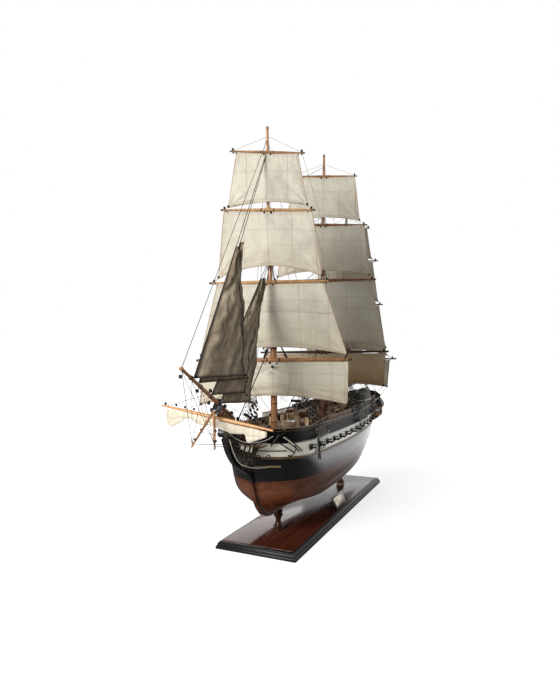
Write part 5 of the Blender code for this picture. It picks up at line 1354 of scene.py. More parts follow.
boxes("capstan_whelps", whelps, cap_rail_stain, "dark_wood")


def scroll(middle, first, second, small, large, thickness, count=12, turns=1.0):
    """Rods round a ring in the plane of two directions, or a scroll from a small radius to a large one."""
    spots = []
    for k in range(count + 1):
        turn = math.tau * turns * k / count
        reach = small + (large - small) * k / count
        spots.append(middle + (first * math.cos(turn) + second * math.sin(turn)) * reach)
    return strung(spots, thickness)


WHEEL_X = -0.1815
hub = Vector((WHEEL_X, 0.0, deck_height(WHEEL_X) + 0.0098))
wheel_runs = [(hub - FORWARD * 0.0035, hub + FORWARD * 0.0035, 0.0016)]
for face in (-0.0020, 0.0020):
    middle = hub + FORWARD * face
    for number in range(SPOKES):
        turn = math.tau * number / SPOKES
        ray = PORTWARD * math.cos(turn) + UP * math.sin(turn)
        wheel_runs.append((middle, middle + ray * 0.0088, 0.0004))
        wheel_runs.append((middle + ray * 0.0070, middle + ray * 0.0090, 0.0006))
    wheel_runs += scroll(middle, PORTWARD, UP, 0.0064, 0.0064, 0.0006, count=30)
for side in (1, -1):
    post = hub + FORWARD * (side * 0.0032)
    wheel_runs.append((Vector((post.x, 0.0, deck_height(post.x))), post, 0.0011))
rods("steering_wheel", wheel_runs, boat_brown, "dark_wood")

SLIDE_GUNS_X = (-0.070, -0.105, -0.140, -0.225, -0.255, -0.285)
slide_rows, short_barrels = [], []
for x in SLIDE_GUNS_X:
    for side in (1, -1):
        y = rail_breadth(x) - 0.0125
        slide_rows.append(((x, side * y, deck_height(x) + 0.0016), (0.0044, 0.0130, 0.0022)))
        slide_rows.append(((x, side * (y - 0.0010), deck_height(x) + 0.0034), (0.0034, 0.0090, 0.0018)))
        short_barrels.append(Matrix.Translation((x, side * y, deck_height(x) + 0.0060))
                             @ gun_turn(side, 0.0) @ Matrix.Scale(0.85, 4))
boxes("gun_slides", slide_rows, house_wood, "dark_wood")
barrel = formed("slide_gun_barrel", 14, len(BARREL) - 1, barrel_place)
fitted(copies("slide_gun_barrels", barrel, short_barrels), gun_iron.material, "black_paint", smooth=45.0)

# Pins and coils. Racks inside the bulwarks and round each mast hold turned belaying pins, each
# with the hauling end of a line hung on it in a small coil.
dark_rope = wood("tarred_rope", (0.012, 0.010, 0.009), (0.038, 0.032, 0.028), 0.7,
                 along=(900.0, 900.0, 900.0))
tan_line = wood("tan_running_line", (0.270, 0.180, 0.105), (0.430, 0.320, 0.210), 0.85,
                along=(900.0, 900.0, 900.0))
RAIL_PINS, MAST_PINS, PIN_RADIUS = 7, 5, 0.00045
pin_runs, rack_rows, coil_places = [], [], []


def rail_pin(deck_x, side, number):
    """Place in X and Y of a pin in the rack inside the bulwark, abreast of a mast."""
    x = deck_x - 0.014 - 0.0080 * number
    return x, side * (rail_breadth(x) - WALL - 0.0034)


def hung_coil(spot, wide, tall):
    """Place of a coil that hangs from a pin, drawn out to a width and a length."""
    turn = Matrix.Rotation(math.pi / 2, 4, "X")
    return Matrix.Translation(spot) @ turn @ Matrix.Diagonal((wide, tall, 1.0, 1.0))


for mast_name, deck_x, *_ in MASTS:
    foot = deck_height(deck_x)
    for side in (1, -1):
        for number in range(RAIL_PINS):
            x, y = rail_pin(deck_x, side, number)
            z = rail_height(x) - 0.0040
            rack_rows.append(((x, y, z), (0.0082, 0.0030, 0.0012)))
            pin_runs.append(((x, y, z - 0.0026), (x, y, z + 0.0034), PIN_RADIUS))
            coil_places.append(hung_coil((x, y - side * 0.0012, z - 0.0030), 0.75, 1.35))
        y = side * 0.0100
        for at in (-0.012, 0.009):
            rack_rows.append(((deck_x + at, y, foot + 0.0045), (0.0024, 0.0024, 0.0105)))
        rack_rows.append(((deck_x - 0.0015, y, foot + 0.0086), (0.0270, 0.0028, 0.0014)))
        for number in range(MAST_PINS):
            x = deck_x - 0.0085 + 0.0036 * number
            pin_runs.append(((x, y, foot + 0.0060), (x, y, foot + 0.0118), PIN_RADIUS))
            coil_places.append(hung_coil((x, side * 0.0118, foot + 0.0058), 0.60, 1.2))
boxes("pin_racks", rack_rows, house_wood, "dark_wood")
rods("belaying_pins", pin_runs, fine_wood, "deck_wood", sides=6)
bpy.ops.mesh.primitive_torus_add(major_radius=0.0016, minor_radius=0.00055, major_segments=14,
                                 minor_segments=6)
fitted(copies("hung_coils", settle(bpy.context.object), coil_places), tan_line, "rope", smooth=60.0)

# Hammock nettings. Rolled hammocks stand in a trough of netting along the waist and quarterdeck
# rails, held up by iron cranes and covered with dark painted cloth.
NETTING_FRONT, NETTING_BACK, NETTING_HEIGHT, NETTING_WIDTH = -0.050, -0.300, 0.0130, 0.0050
# Columns: share of the width in from the outer face, share of the height
NETTING_SECTION = ((0.0, 0.0), (0.0, 0.40), (0.0, 0.74), (0.10, 0.92), (0.32, 1.0), (0.68, 1.0),
                   (0.90, 0.92), (1.0, 0.74), (1.0, 0.40), (1.0, 0.0))
dark_cloth = Finish("painted_netting_cloth", {"Roughness": 0.5, "Coat Weight": 0.2})
here = dark_cloth.place()
net = abs(((here.part(0) + here.part(2)) / 0.0016).fraction() - 0.5).least(
    abs(((here.part(0) - here.part(2)) / 0.0016).fraction() - 0.5))
dark_cloth.colour(dark_cloth.mix(dark_cloth.grain(here, 40.0).rises(0.3, 0.7) * 0.7 + net * 0.5,
                                 (0.012, 0.012, 0.013), (0.060, 0.058, 0.060)))
dark_cloth.relief(net * 0.6 + dark_cloth.grain(here, 160.0) * 0.5, 0.0003)
CRANES_A_SIDE, CRANE_REACH, CRANE_HEIGHT, CRANE_RADIUS = 22, 0.0060, 0.0134, 0.00035
crane_runs = []
for side, word in SIDES:
    def netting_place(across, along, way=side):
        inward, up = NETTING_SECTION[round(across * len(NETTING_SECTION)) % len(NETTING_SECTION)]
        x = NETTING_FRONT + (NETTING_BACK - NETTING_FRONT) * along
        roll = 0.5 + 0.5 * math.cos(math.tau * along * 52.0)
        uneven = 0.0004 * noise.noise(Vector((60.0 * x, way, 3.0)))
        lift = NETTING_HEIGHT * up * (1.0 - 0.055 * roll * up) + uneven
        outer = rail_breadth(x) + 0.0004 - 0.0002 * roll
        return Vector((x, way * (outer - NETTING_WIDTH * inward), rail_height(x) + 0.0004 + lift))

    def crane_spot(x, inward, rise, way=side):
        return Vector((x, way * (rail_breadth(x) + 0.0008 - inward), rail_height(x) + rise))
    netting = formed(f"hammock_netting_{word}", len(NETTING_SECTION), 208, netting_place, capped=True)
    fitted(netting, dark_cloth.material, "black_paint", smooth=60.0)
    for number in range(CRANES_A_SIDE):
        x = NETTING_FRONT - 0.0020 - 0.0117 * number
        for inward, low, high in ((0.0, 0.0, CRANE_HEIGHT), (CRANE_REACH, CRANE_HEIGHT, 0.0)):
            crane_runs.append((crane_spot(x, inward, low), crane_spot(x, inward, high), CRANE_RADIUS))
    steps = [NETTING_FRONT + (NETTING_BACK - NETTING_FRONT) * k / 50 for k in range(51)]
    for inward in (0.0, CRANE_REACH):
        crane_runs += strung([crane_spot(x, inward, CRANE_HEIGHT) for x in steps], CRANE_RADIUS)
rods("netting_cranes", crane_runs, iron_black, "black_paint", sides=6)

# Waist rail. A carved and varnished rail with turned rings stands on the cap amidships between
# the gangway and the fore channel.
WAIST_FRONT, WAIST_BACK, WAIST_RINGS = 0.100, -0.046, 24


def waist_spot(side, number, rise):
    """A place over the cap, after a number of rings counted from the front."""
    x = WAIST_FRONT + (WAIST_BACK - WAIST_FRONT) * number / WAIST_RINGS
    return Vector((x, side * (rail_breadth(x) - 0.0016), rail_height(x) + rise))


ring_places, waist_runs = [], []
for side in (1, -1):
    waist_runs += strung([waist_spot(side, number, 0.0086) for number in range(WAIST_RINGS + 1)], 0.0011)
    for number in range(WAIST_RINGS + 1):
        thick = 0.0006 if number < WAIST_RINGS else 0.0008
        waist_runs.append((waist_spot(side, number, 0.0004), waist_spot(side, number, 0.0090), thick))
    for number in range(WAIST_RINGS):
        middle = Matrix.Translation(waist_spot(side, number + 0.5, 0.0046))
        ring_places.append(middle @ Matrix.Rotation(math.pi / 2, 4, "X"))
carved_brown = wood("carved_brown_rail", (0.140, 0.070, 0.028), (0.300, 0.170, 0.075), 0.34,
                    along=(6.0, 60.0, 60.0), coat=0.3)
rods("waist_rail", waist_runs, carved_brown, "gallery_wood")
bpy.ops.mesh.primitive_torus_add(major_radius=0.0024, minor_radius=0.0006, major_segments=16,
                                 minor_segments=6)
fitted(copies("waist_rail_rings", settle(bpy.context.object), ring_places), carved_brown, "gallery_wood",
       smooth=60.0)

# Stowed boats. Two ship's boats lie keel up on beams over the quarterdeck, one a side, planked in
# clinker strakes, painted dark with a light gunwale, and lashed down.
# Columns: place from the middle, half breadth, height of the keel over the gunwale
STOWED_BOAT = ((-0.0445, 0.0066, 0.0170), (-0.030, 0.0135, 0.0245), (-0.005, 0.0160, 0.0265),
               (0.020, 0.0150, 0.0260), (0.036, 0.0095, 0.0235), (0.045, 0.0022, 0.0195))
STOWED_X, STOWED_Y, STOWED_RIM = -0.195, 0.0520, 0.2200
dark_green = boat_finish("dark_green_boat", (0.030, 0.034, 0.020), 8.0, (0.004, 0.004, 0.003))
stowed_rows = eased(STOWED_BOAT, 5)
BEAM_TOP = 0.2188
beam_rows, light_runs, lashing_runs = [], [], []
for side, word in SIDES:
    def stowed_place(across, along, way=side):
        x, half, keel = stowed_rows[round(along * (len(stowed_rows) - 1))]
        turn = math.pi * across
        step = 1.0 + 0.016 * (1.0 - (8.0 * across) % 1.0)
        return Vector((STOWED_X + x, way * STOWED_Y + half * math.cos(turn) * step,
                       STOWED_RIM + 0.0002 + keel * math.sin(turn) ** 0.62))
    shell = formed(f"stowed_boat_{word}", 40, len(stowed_rows) - 1, stowed_place)
    modified(shell, "SOLIDIFY", thickness=0.0010, offset=-1.0, use_even_offset=False)
    fitted(shell, dark_green, "dark_wood", smooth=30.0)
    for edge, lift, thick in ((0.0, 0.0, 0.0009), (1.0, 0.0, 0.0009), (0.5, 0.0004, 0.0007)):
        light_runs += strung([stowed_place(edge, k / 20) + UP * lift for k in range(21)], thick)
    for along in (0.30, 0.62):
        lashing_runs += strung([stowed_place(k / 14, along) + UP * 0.0006 for k in range(15)], 0.0005)
rods("stowed_boat_gunwales", light_runs, off_white, "cream_paint", sides=6)
rods("stowed_boat_lashings", lashing_runs, tan_line, "rope", sides=6)
for x in (-0.178, -0.212):
    low = deck_height(x)
    beam_rows.append(((x, 0.0, BEAM_TOP + 0.0004), (0.0040, 0.1190, 0.0032)))
    for side in (1, -1):
        beam_rows.append(((x, side * 0.0298, 0.5 * (low + BEAM_TOP)), (0.0034, 0.0034, BEAM_TOP - low)))
        beam_rows.append(((x, side * STOWED_Y, BEAM_TOP + 0.0025), (0.0034, 0.0200, 0.0014)))
boxes("boat_beams", beam_rows, house_wood, "dark_wood", edge=0.0004)

# Catheads and anchors. A stout beam out over each bow holds up a bower anchor by its ring, with
# a long wooden stock banded in iron and broad palms, its crown fished up to the fore channel.
CATHEAD_X = 0.2700
ANCHOR_RING, ANCHOR_CROWN, ANCHOR_CLEARANCE = (0.2745, 0.1930), (0.2520, 0.1725), 0.0062


def off_bow(spot, side, clearance):
    """A point held off the bow's planking by a clearance."""
    x, z = spot
    slope = (half_breadth(x + 0.001, z) - half_breadth(x - 0.001, z)) / 0.002
    out = Vector((-slope, side, 0.0)).normalized()
    return Vector((x, side * half_breadth(x, z), z)) + out * clearance, out


anchor_runs, stock_runs, cathead_rows, palm_rows = [], [], [], []
for side in (1, -1):
    hull_side, beam_z = rail_breadth(CATHEAD_X), rail_height(CATHEAD_X) - 0.0024
    beam_root = Vector((CATHEAD_X - 0.0060, side * (hull_side - 0.0080), beam_z))
    beam_tip = Vector((CATHEAD_X + 0.0065, side * (hull_side + 0.0105), beam_z))
    along = beam_tip - beam_root
    turn = along.to_track_quat("X", "Z").to_matrix()
    cathead_rows.append((beam_root.lerp(beam_tip, 0.5), (along.length, 0.0036, 0.0036), turn))
    cathead_rows.append((beam_tip, (0.0012, 0.0044, 0.0044), turn))
    ring, out = off_bow(ANCHOR_RING, side, ANCHOR_CLEARANCE)
    crown, _ = off_bow(ANCHOR_CROWN, side, ANCHOR_CLEARANCE)
    shank = (ring - crown).normalized()
    flat_way = shank.cross(out).normalized()
    anchor_runs.append((crown - shank * 0.0016, crown.lerp(ring, 0.5), 0.0012))
    anchor_runs.append((crown.lerp(ring, 0.5), ring + shank * 0.0048, 0.0010))
    anchor_runs.append((beam_tip - UP * 0.0016, ring + shank * 0.0060, 0.0007))
    anchor_runs += scroll(ring + shank * 0.0062, shank, out, 0.0020, 0.0020, 0.00045)
    stock_way = (flat_way * 0.985 + out * 0.170).normalized()
    stock = ring + shank * 0.0040
    for low, high, thick in ((-0.0120, -0.0060, 0.0012), (-0.0060, 0.0060, 0.0016),
                             (0.0060, 0.0120, 0.0012)):
        stock_runs.append((stock + stock_way * low, stock + stock_way * high, thick))
    for at in (-0.0095, -0.0045, 0.0045, 0.0095):
        anchor_runs.append((stock + stock_way * (at - 0.0005), stock + stock_way * (at + 0.0005), 0.0018))
    for way in (1, -1):
        last = crown - shank * 0.0012
        for number in range(1, 7):
            share = number / 6
            reach = way * 0.0102 * math.sin(0.5 * math.pi * share * 0.92)
            spot = crown + flat_way * reach + shank * (0.0052 * share * share - 0.0014)
            anchor_runs.append((last, spot, 0.0012 - 0.0005 * share))
            last = spot
        palm_turn = Matrix((flat_way, out, shank)).transposed() @ Matrix.Rotation(way * 0.55, 3, "Y")
        palm_rows.append((last - flat_way * way * 0.0018, (0.0014, 0.0050, 0.0044), palm_turn))
# Two black timbers with a light one between run down from each cathead to the stripe, and a
# fender stands on each side under the forward channel
FENDER_X = 0.1735
timber_runs, light_timber_runs = [], []
for side in (1, -1):
    for x_shift, runs in ((-0.0030, timber_runs), (0.0, light_timber_runs), (0.0030, timber_runs)):
        slope = [(0.2660 + x_shift - 0.0300 * k / 6, 0.1985 - 0.0270 * k / 6) for k in range(7)]
        runs += strung([off_bow(spot, side, 0.0012)[0] for spot in slope], 0.0010)
    heights = [0.1470 + 0.0560 * k / 8 for k in range(9)]
    timber_runs += strung([(FENDER_X, side * (half_breadth(FENDER_X, z) + 0.0016), z) for z in heights],
                          0.0013)
rods("bow_timbers", timber_runs, iron_black, "black_paint", sides=6)
rods("bow_timber_light", light_timber_runs, off_white, "cream_paint", sides=6)
rods("anchor_irons", anchor_runs, gun_iron.material, "black_paint", sides=10)
rods("anchor_stocks", stock_runs, dark_stain, "dark_wood", sides=8)
boxes("anchor_palms", palm_rows, gun_iron.material, "black_paint")
boxes("catheads", cathead_rows, dark_stain, "dark_wood", edge=0.0003)


# Keel and stem. A straight keel and a raking stem with a long knee of the head, black above and
# stained below, and a narrow cream moulding that follows the knee's sweep down both faces.
KNEE_LINE = ((0.3645, 0.2190), (0.3600, 0.2125), (0.3558, 0.2044), (0.3505, 0.1955), (0.3446, 0.1879),
             (0.3380, 0.1800), (0.3309, 0.1725), (0.3250, 0.1668), (0.3190, 0.1621), (0.3090, 0.1563),
             (0.2980, 0.1518), (0.2860, 0.1473), (0.2738, 0.1436))
stem_paint = Finish("stem_and_keel", {"Roughness": 0.25, "Coat Weight": 0.5, "Coat Roughness": 0.06})
here = stem_paint.place()
streak = stem_paint.grain(stem_paint.place(GRAIN_ALONG), 1.6, 4.0)
brown = stem_paint.mix(streak.rises(0.3, 0.7), (0.050, 0.018, 0.009), (0.120, 0.046, 0.022))
stem_paint.colour(stem_paint.mix(here.part(2) > PAINT_LINE, brown, (0.012, 0.011, 0.011)))
stem_paint.roughness(streak * 0.12 + 0.18)
stem_paint.relief(streak, 0.00003)


def refinish(name, look):
    """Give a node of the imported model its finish."""
    slots = bpy.data.objects[name].data.materials
    slots.clear()
    slots.append(look)


refinish("keel_and_stem", stem_paint.material)
knee_runs, carved_runs, scroll_runs = [], [], []
for side in (1, -1):
    y = side * 0.0036
    knee_runs += strung([(x, y, z) for x, z in KNEE_LINE], 0.0011)
    carved_runs += strung([(x + 0.0052, y, z - 0.0026) for x, z in KNEE_LINE], 0.0006)
    for (x, z), (next_x, next_z) in list(zip(KNEE_LINE, KNEE_LINE[1:]))[::2]:
        middle = Vector((0.5 * (x + next_x) + 0.0026, y, 0.5 * (z + next_z) - 0.0013))
        carved_runs += scroll(middle, FORWARD, UP, 0.0017, 0.00074, 0.0004, count=8, turns=1.2)
    middle = Vector((0.3710, side * 0.0050, 0.2180))
    scroll_runs += scroll(middle, -FORWARD, UP, 0.0014, 0.0072, 0.0007, count=30, turns=2.2)
rods("knee_moulding", knee_runs, off_white, "cream_paint", sides=8)
rods("trailboard_carving", carved_runs, carved_brown, "gallery_wood", sides=6)
rods("scroll_head", scroll_runs, carved_brown, "gallery_wood", sides=6)

# Head rails. Carved rails sweep from the scroll back to the bow on each side, over curved head
# timbers, with a row of turned balusters and a grating between them.
# Columns: X, Y, Z of the middle of each rail
UPPER_RAIL = ((0.3640, 0.0062, 0.2150), (0.3480, 0.0100, 0.2040), (0.3300, 0.0165, 0.1965),
              (0.3130, 0.0250, 0.1940), (0.2990, 0.0345, 0.1960), (0.2870, 0.0420, 0.2010))
LOWER_RAIL = ((0.3640, 0.0062, 0.2070), (0.3530, 0.0062, 0.1850), (0.3360, 0.0070, 0.1660),
              (0.3160, 0.0120, 0.1560), (0.3000, 0.0200, 0.1520), (0.2860, 0.0300, 0.1515))
head_runs, light_head_runs, baluster_runs = [], [], []
upper, lower = eased(UPPER_RAIL, 6), eased(LOWER_RAIL, 6)
for side in (1, -1):
    over = [Vector((x, side * y, z)) for x, y, z in upper]
    under = [Vector((x, side * y, z)) for x, y, z in lower]
    head_runs += strung(over, 0.0014) + strung(under, 0.0013)
    light_head_runs += strung([spot + Vector((0.0, side * 0.0006, 0.0012)) for spot in over], 0.0006)
    light_head_runs += strung([spot + PORTWARD * (side * 0.0012) for spot in under], 0.0005)
    for number in (6, 10, 14, 18, 22):
        top, foot = over[number], under[number]
        bow = 0.125 * (top - foot).length
        head_runs += strung([foot.lerp(top, k / 6) - PORTWARD * (side * bow * math.sin(math.pi * k / 6))
                             for k in range(7)], 0.0011)
    shift = Vector((0.0, side * 0.0014, 0.0090))
    for number in range(8, 26):
        top = over[number]
        foot = top - shift
        waist, neck = foot.lerp(top, 0.35), foot.lerp(top, 0.7)
        baluster_runs += [(foot, waist, 0.0004), (waist, neck, 0.0007), (neck, top, 0.0004)]
        if number % 2 == 0:
            baluster_runs.append((foot, Vector((top.x, side * 0.0030, foot.z)), 0.0006))
    head_runs += strung([spot - shift for spot in over[8:27]], 0.0008)
# Carved boards fill the head between the rails, with white turned figures set in the opening
carving = Finish("head_carving", {"Roughness": 0.45, "Coat Weight": 0.2})
here = carving.place()
leaves = carving.grain(here, 260.0, 2.0)
carving.colour(carving.mix(leaves.rises(0.46, 0.62), (0.014, 0.011, 0.007), (0.120, 0.088, 0.042)))
carving.relief(leaves, 0.0008)
for side, word in SIDES:
    def head_board_place(across, along, way=side):
        k = round(2 + 19 * across)
        (x, y, z), (u, v, w) = upper[k], lower[k]
        hollow = 0.0030 * math.sin(math.pi * along)
        share = 0.10 + 0.85 * along
        return Vector((x + (u - x) * share, way * (y + (v - y) * share - hollow - 0.0006),
                       z + (w - z) * share))
    board = formed(f"head_board_{word}", 23, 10, head_board_place)
    modified(board, "SOLIDIFY", thickness=0.0008, offset=0.0, use_even_offset=False)
    fitted(board, carving.material, "gallery_wood", smooth=60.0)
figure_runs = []
for side in (1, -1):
    for number in (9, 10, 12, 13, 15):
        (x, y, z), (u, v, w) = upper[number], lower[number]
        top = Vector((x, side * (y + 0.0022), z - 0.0040))
        foot = Vector((x + 0.22 * (u - x), side * (y + 0.22 * (v - y) + 0.0026),
                       z + 0.34 * (w - z) - 0.0020))
        waist, neck = foot.lerp(top, 0.3), foot.lerp(top, 0.75)
        figure_runs += [(foot, waist, 0.0009), (waist, neck, 0.0013), (neck, top, 0.0007)]
rods("head_figures", figure_runs, off_white, "cream_paint", sides=10)
rods("head_rail_timbers", head_runs, iron_black, "gallery_wood", "head_rails", sides=10)
rods("head_rail_beads", light_head_runs, off_white, "cream_paint", sides=6)
rods("head_balusters", baluster_runs, carved_brown, "gallery_wood", sides=6)

# Gammoning and hawse. Turns of black rope lash the bowsprit down to the knee, and each bow has
# two hawse holes with padded rims.
lash_runs = []
for number in range(7):
    top = on_bowsprit(0.3370 + 0.0016 * number)
    low = Vector((0.3305 + 0.0012 * number, 0.0, 0.1905 + 0.0010 * number))
    for side in (1, -1):
        lash_runs.append((top + PORTWARD * (side * 0.0064), low + PORTWARD * (side * 0.0040), 0.0007))
    over_spar = ((0.0064, 0.0), (0.0036, 0.0062), (-0.0036, 0.0062), (-0.0064, 0.0))
    lash_runs += strung([top + Vector((0.0, y, z)) for y, z in over_spar], 0.0007)
rods("gammoning", lash_runs, dark_rope, "rope")
bpy.ops.mesh.primitive_torus_add(major_radius=0.0030, minor_radius=0.0009, major_segments=20,
                                 minor_segments=8)
hawse_places = []
for side in (1, -1):
    for x in (0.2835, 0.2770):
        spot, out = off_bow((x, 0.1660), side, 0.0003)
        hawse_places.append(Matrix.Translation(spot) @ out.to_track_quat("Z", "Y").to_matrix().to_4x4())
fitted(copies("hawse_rims", settle(bpy.context.object), hawse_places), iron_black, "black_paint",
       smooth=60.0)

# Stern galleries. A raked counter and a square transom with seven sash windows, roofed quarter
# galleries with three windows a side, and a carved taffrail, all in stained and carved wood.
# Columns: height, growth outside the hull, reach forward of the stern
GALLERY_LEVELS = ((0.1520, -0.0020, 0.030), (0.1540, 0.0010, 0.038), (0.1580, 0.0070, 0.046),
                  (0.1600, 0.0088, 0.049), (0.1640, 0.0140, 0.054), (0.1660, 0.0145, 0.055),
                  (0.1668, 0.0158, 0.056), (0.1684, 0.0158, 0.056), (0.1692, 0.0148, 0.055),
                  (0.1880, 0.0154, 0.055), (0.1892, 0.0160, 0.0555), (0.1910, 0.0175, 0.057),
                  (0.1930, 0.0175, 0.057), (0.1940, 0.0165, 0.056), (0.1970, 0.0150, 0.054),
                  (0.2020, 0.0120, 0.050), (0.2060, 0.0080, 0.047))


def gallery_corners(z, growth, reach):
    """Port half of the gallery's outline at a height, from its front round to the middle aft."""
    stern_x = level_line(z)[2]
    front = stern_x + reach
    breadth = half_breadth(front, z)
    after = stern_x - 0.0040 - 0.4 * max(growth, 0.0)
    last = half_breadth(stern_x, z)
    return ((front, breadth - 0.0040), (front - 0.0060, half_breadth(front - 0.0060, z) + growth),
            (stern_x + 0.0080, last + growth + 0.0040), (after, last + 0.4 * growth), (after, 0.0))


def gallery_place(across, along):
    z, growth, reach = GALLERY_LEVELS[round(along * (len(GALLERY_LEVELS) - 1))]
    corners = gallery_corners(z, growth, reach)
    loop = list(corners) + [(x, -y) for x, y in reversed(corners[:-1])]
    x, y = loop[round(across * len(loop)) % len(loop)]
    return Vector((x, y, z))


gallery_paint = Finish("gallery_paint", {"Roughness": 0.45, "Coat Weight": 0.05, "Specular IOR Level": 0.2})
here = gallery_paint.place()
height = here.part(2)
ROOF_Z, LINE_Z, COUNTER_Z = 0.1912, 0.1676, 0.1600
streak = gallery_paint.grain(gallery_paint.place((6.0, 60.0, 60.0)), 1.6, 4.0)
tan = gallery_paint.mix(streak.rises(0.3, 0.7), (0.420, 0.220, 0.085), (0.660, 0.400, 0.180))
roof = gallery_paint.mix(gallery_paint.grain(here, 60.0), (0.035, 0.026, 0.027), (0.085, 0.068, 0.070))
body = gallery_paint.mix(height > ROOF_Z, tan, roof)
lines = (abs(height - LINE_Z) < 0.0011).most(height < COUNTER_Z)
gallery_paint.colour(gallery_paint.mix(lines, body, (0.030, 0.016, 0.010)))
gallery_paint.relief(gallery_paint.grain(here, 120.0), 0.00008)
galleries = formed("stern_gallery_body", 9, len(GALLERY_LEVELS) - 1, gallery_place, capped=True)
fitted(galleries, gallery_paint.material, "gallery_wood", "stern_gallery", smooth=25.0)
frame_rows, sill_rows, glass_rows, leaf_runs = [], [], [], []


def facing(out):
    """Turn that brings +X to point along a level direction."""
    return Matrix((out, -out.cross(UP), UP)).transposed()


def window(middle, way, wide, tall):
    """A sash window: sill, head, jambs, glazing bars and dark glass, facing along way."""
    turn = facing(Vector(way).normalized())

    def spot(across, up, proud=0.0):
        return Vector(middle) + turn @ Vector((proud, across, up))
    glass_rows.append((spot(0.0, 0.0, 0.0001), (0.0008, wide, tall), turn))
    for part in (-0.5, 0.5):
        frame_rows.append((spot(part * wide, 0.0, 0.0004), (0.0014, 0.0009, tall + 0.0010), turn))
        sill_rows.append((spot(0.0, part * (tall + 0.0006), 0.0006), (0.0020, wide + 0.0024, 0.0010), turn))
    for part in (-1 / 6, 1 / 6):
        frame_rows.append((spot(part * wide, 0.0, 0.0003), (0.0010, 0.00035, tall), turn))
    for part in (-0.25, 0.0, 0.25):
        frame_rows.append((spot(0.0, part * tall, 0.0003), (0.0010, wide, 0.00035), turn))


MIDDLE_Z, MIDDLE_GROWTH, MIDDLE_REACH = 0.1784, 0.0151, 0.055
PILASTER = (0.0018, 0.0016, 0.0200)
corners = gallery_corners(MIDDLE_Z, MIDDLE_GROWTH, MIDDLE_REACH)
rim_corners = gallery_corners(0.2060, 0.0090, 0.048)[:4]
after_x, after_y = corners[3]
window_step = 2.0 * after_y / 7.4
for number in range(7):
    window((after_x - 0.0002, (number - 3) * window_step, MIDDLE_Z), -FORWARD, 0.0086, 0.0140)
for side in (1, -1):
    front, back = (Vector((x, side * y, MIDDLE_Z)) for x, y in corners[1:3])
    run = back - front
    out = Vector((run.y, -run.x, 0.0)).normalized()
    out = out if out.y * side > 0 else -out
    for number in range(3):
        window(front.lerp(back, (number + 0.5) / 3) + out * 0.0002, out, 0.0052, 0.0100)
    for number in range(4):
        sill_rows.append((front.lerp(back, number / 3) + out * 0.0006, PILASTER, facing(out)))
    sill_rows.append(((after_x, side * after_y, MIDDLE_Z), (0.0024, 0.0024, 0.0200)))
    leaf_runs += strung([(x, side * y, 0.2066) for x, y in rim_corners], 0.0009)
for number in range(8):
    sill_rows.append(((after_x - 0.0008, (number - 3.5) * window_step, MIDDLE_Z), PILASTER))
boxes("gallery_window_glass", glass_rows, glass.material, "dark_wood", edge=0)
boxes("gallery_window_bars", frame_rows, house_wood, "cream_paint", edge=0)
boxes("gallery_pilasters", sill_rows, carved_brown, "gallery_wood")
# Columns: height, half breadth of the taffrail board
TAFFRAIL = ((0.1960, 0.0500), (0.2060, 0.0510), (0.2130, 0.0520), (0.2160, 0.0520), (0.2185, 0.0480),
            (0.2210, 0.0440), (0.2240, 0.0400), (0.2262, 0.0300), (0.2285, 0.0180))
rail_outline = [(half, z) for z, half in TAFFRAIL] + [(-half, z) for z, half in reversed(TAFFRAIL)]


def taffrail_place(across, along):
    y, z = rail_outline[round(across * len(rail_outline)) % len(rail_outline)]
    return Vector((level_line(z)[2] - 0.0018 - 0.0042 * along, y, z))


fitted(formed("taffrail", len(rail_outline), 2, taffrail_place, capped=True), bulwark_paint, "gallery_wood")
for side in (1, -1):
    leaf_runs += strung([(level_line(z)[2] - 0.0060, side * (half - 0.0010), z) for z, half in TAFFRAIL],
                        0.0009)
crown_z, crown_half = TAFFRAIL[-1]
crown_x = level_line(crown_z)[2] - 0.0060
leaf_runs += strung([(crown_x, way * crown_half, crown_z - 0.0005) for way in (1, -1)], 0.0009)
for number in range(-4, 5):
    rise = 0.2120 + 0.0060 * math.cos(0.33 * number)
    middle = Vector((level_line(rise)[2] - 0.0062, 0.0105 * number, rise))
    leaf_runs += scroll(middle, PORTWARD, UP, 0.0010, 0.0040, 0.00055, turns=1.6 if number < 0 else -1.6)
rods("taffrail_carving", leaf_runs, carved_brown, "gallery_wood", sides=6)

# Rudder. A built-up blade that hangs on the sternpost by four iron straps with pintles and
# gudgeons, tapered aft, its stock going up under the counter.
rudder_wood = wood("stained_rudder", (0.050, 0.018, 0.009), (0.120, 0.046, 0.022), 0.24,
                   along=(60.0, 60.0, 5.0), coat=0.5)
refinish("rudder", rudder_wood)
HINGE_FOOT, HINGE_HEAD = Vector((-0.3258, 0.0, 0.050)), Vector((-0.3345, 0.0, 0.150))
HINGE_AFT = 0.0030
hinge_up = (HINGE_HEAD - HINGE_FOOT).normalized()
hinge_aft = Vector((-hinge_up.z, 0.0, hinge_up.x)).normalized()
hinge_turn = Matrix((hinge_aft, PORTWARD, hinge_up)).transposed()
strap_rows, gudgeon_rows = [], []
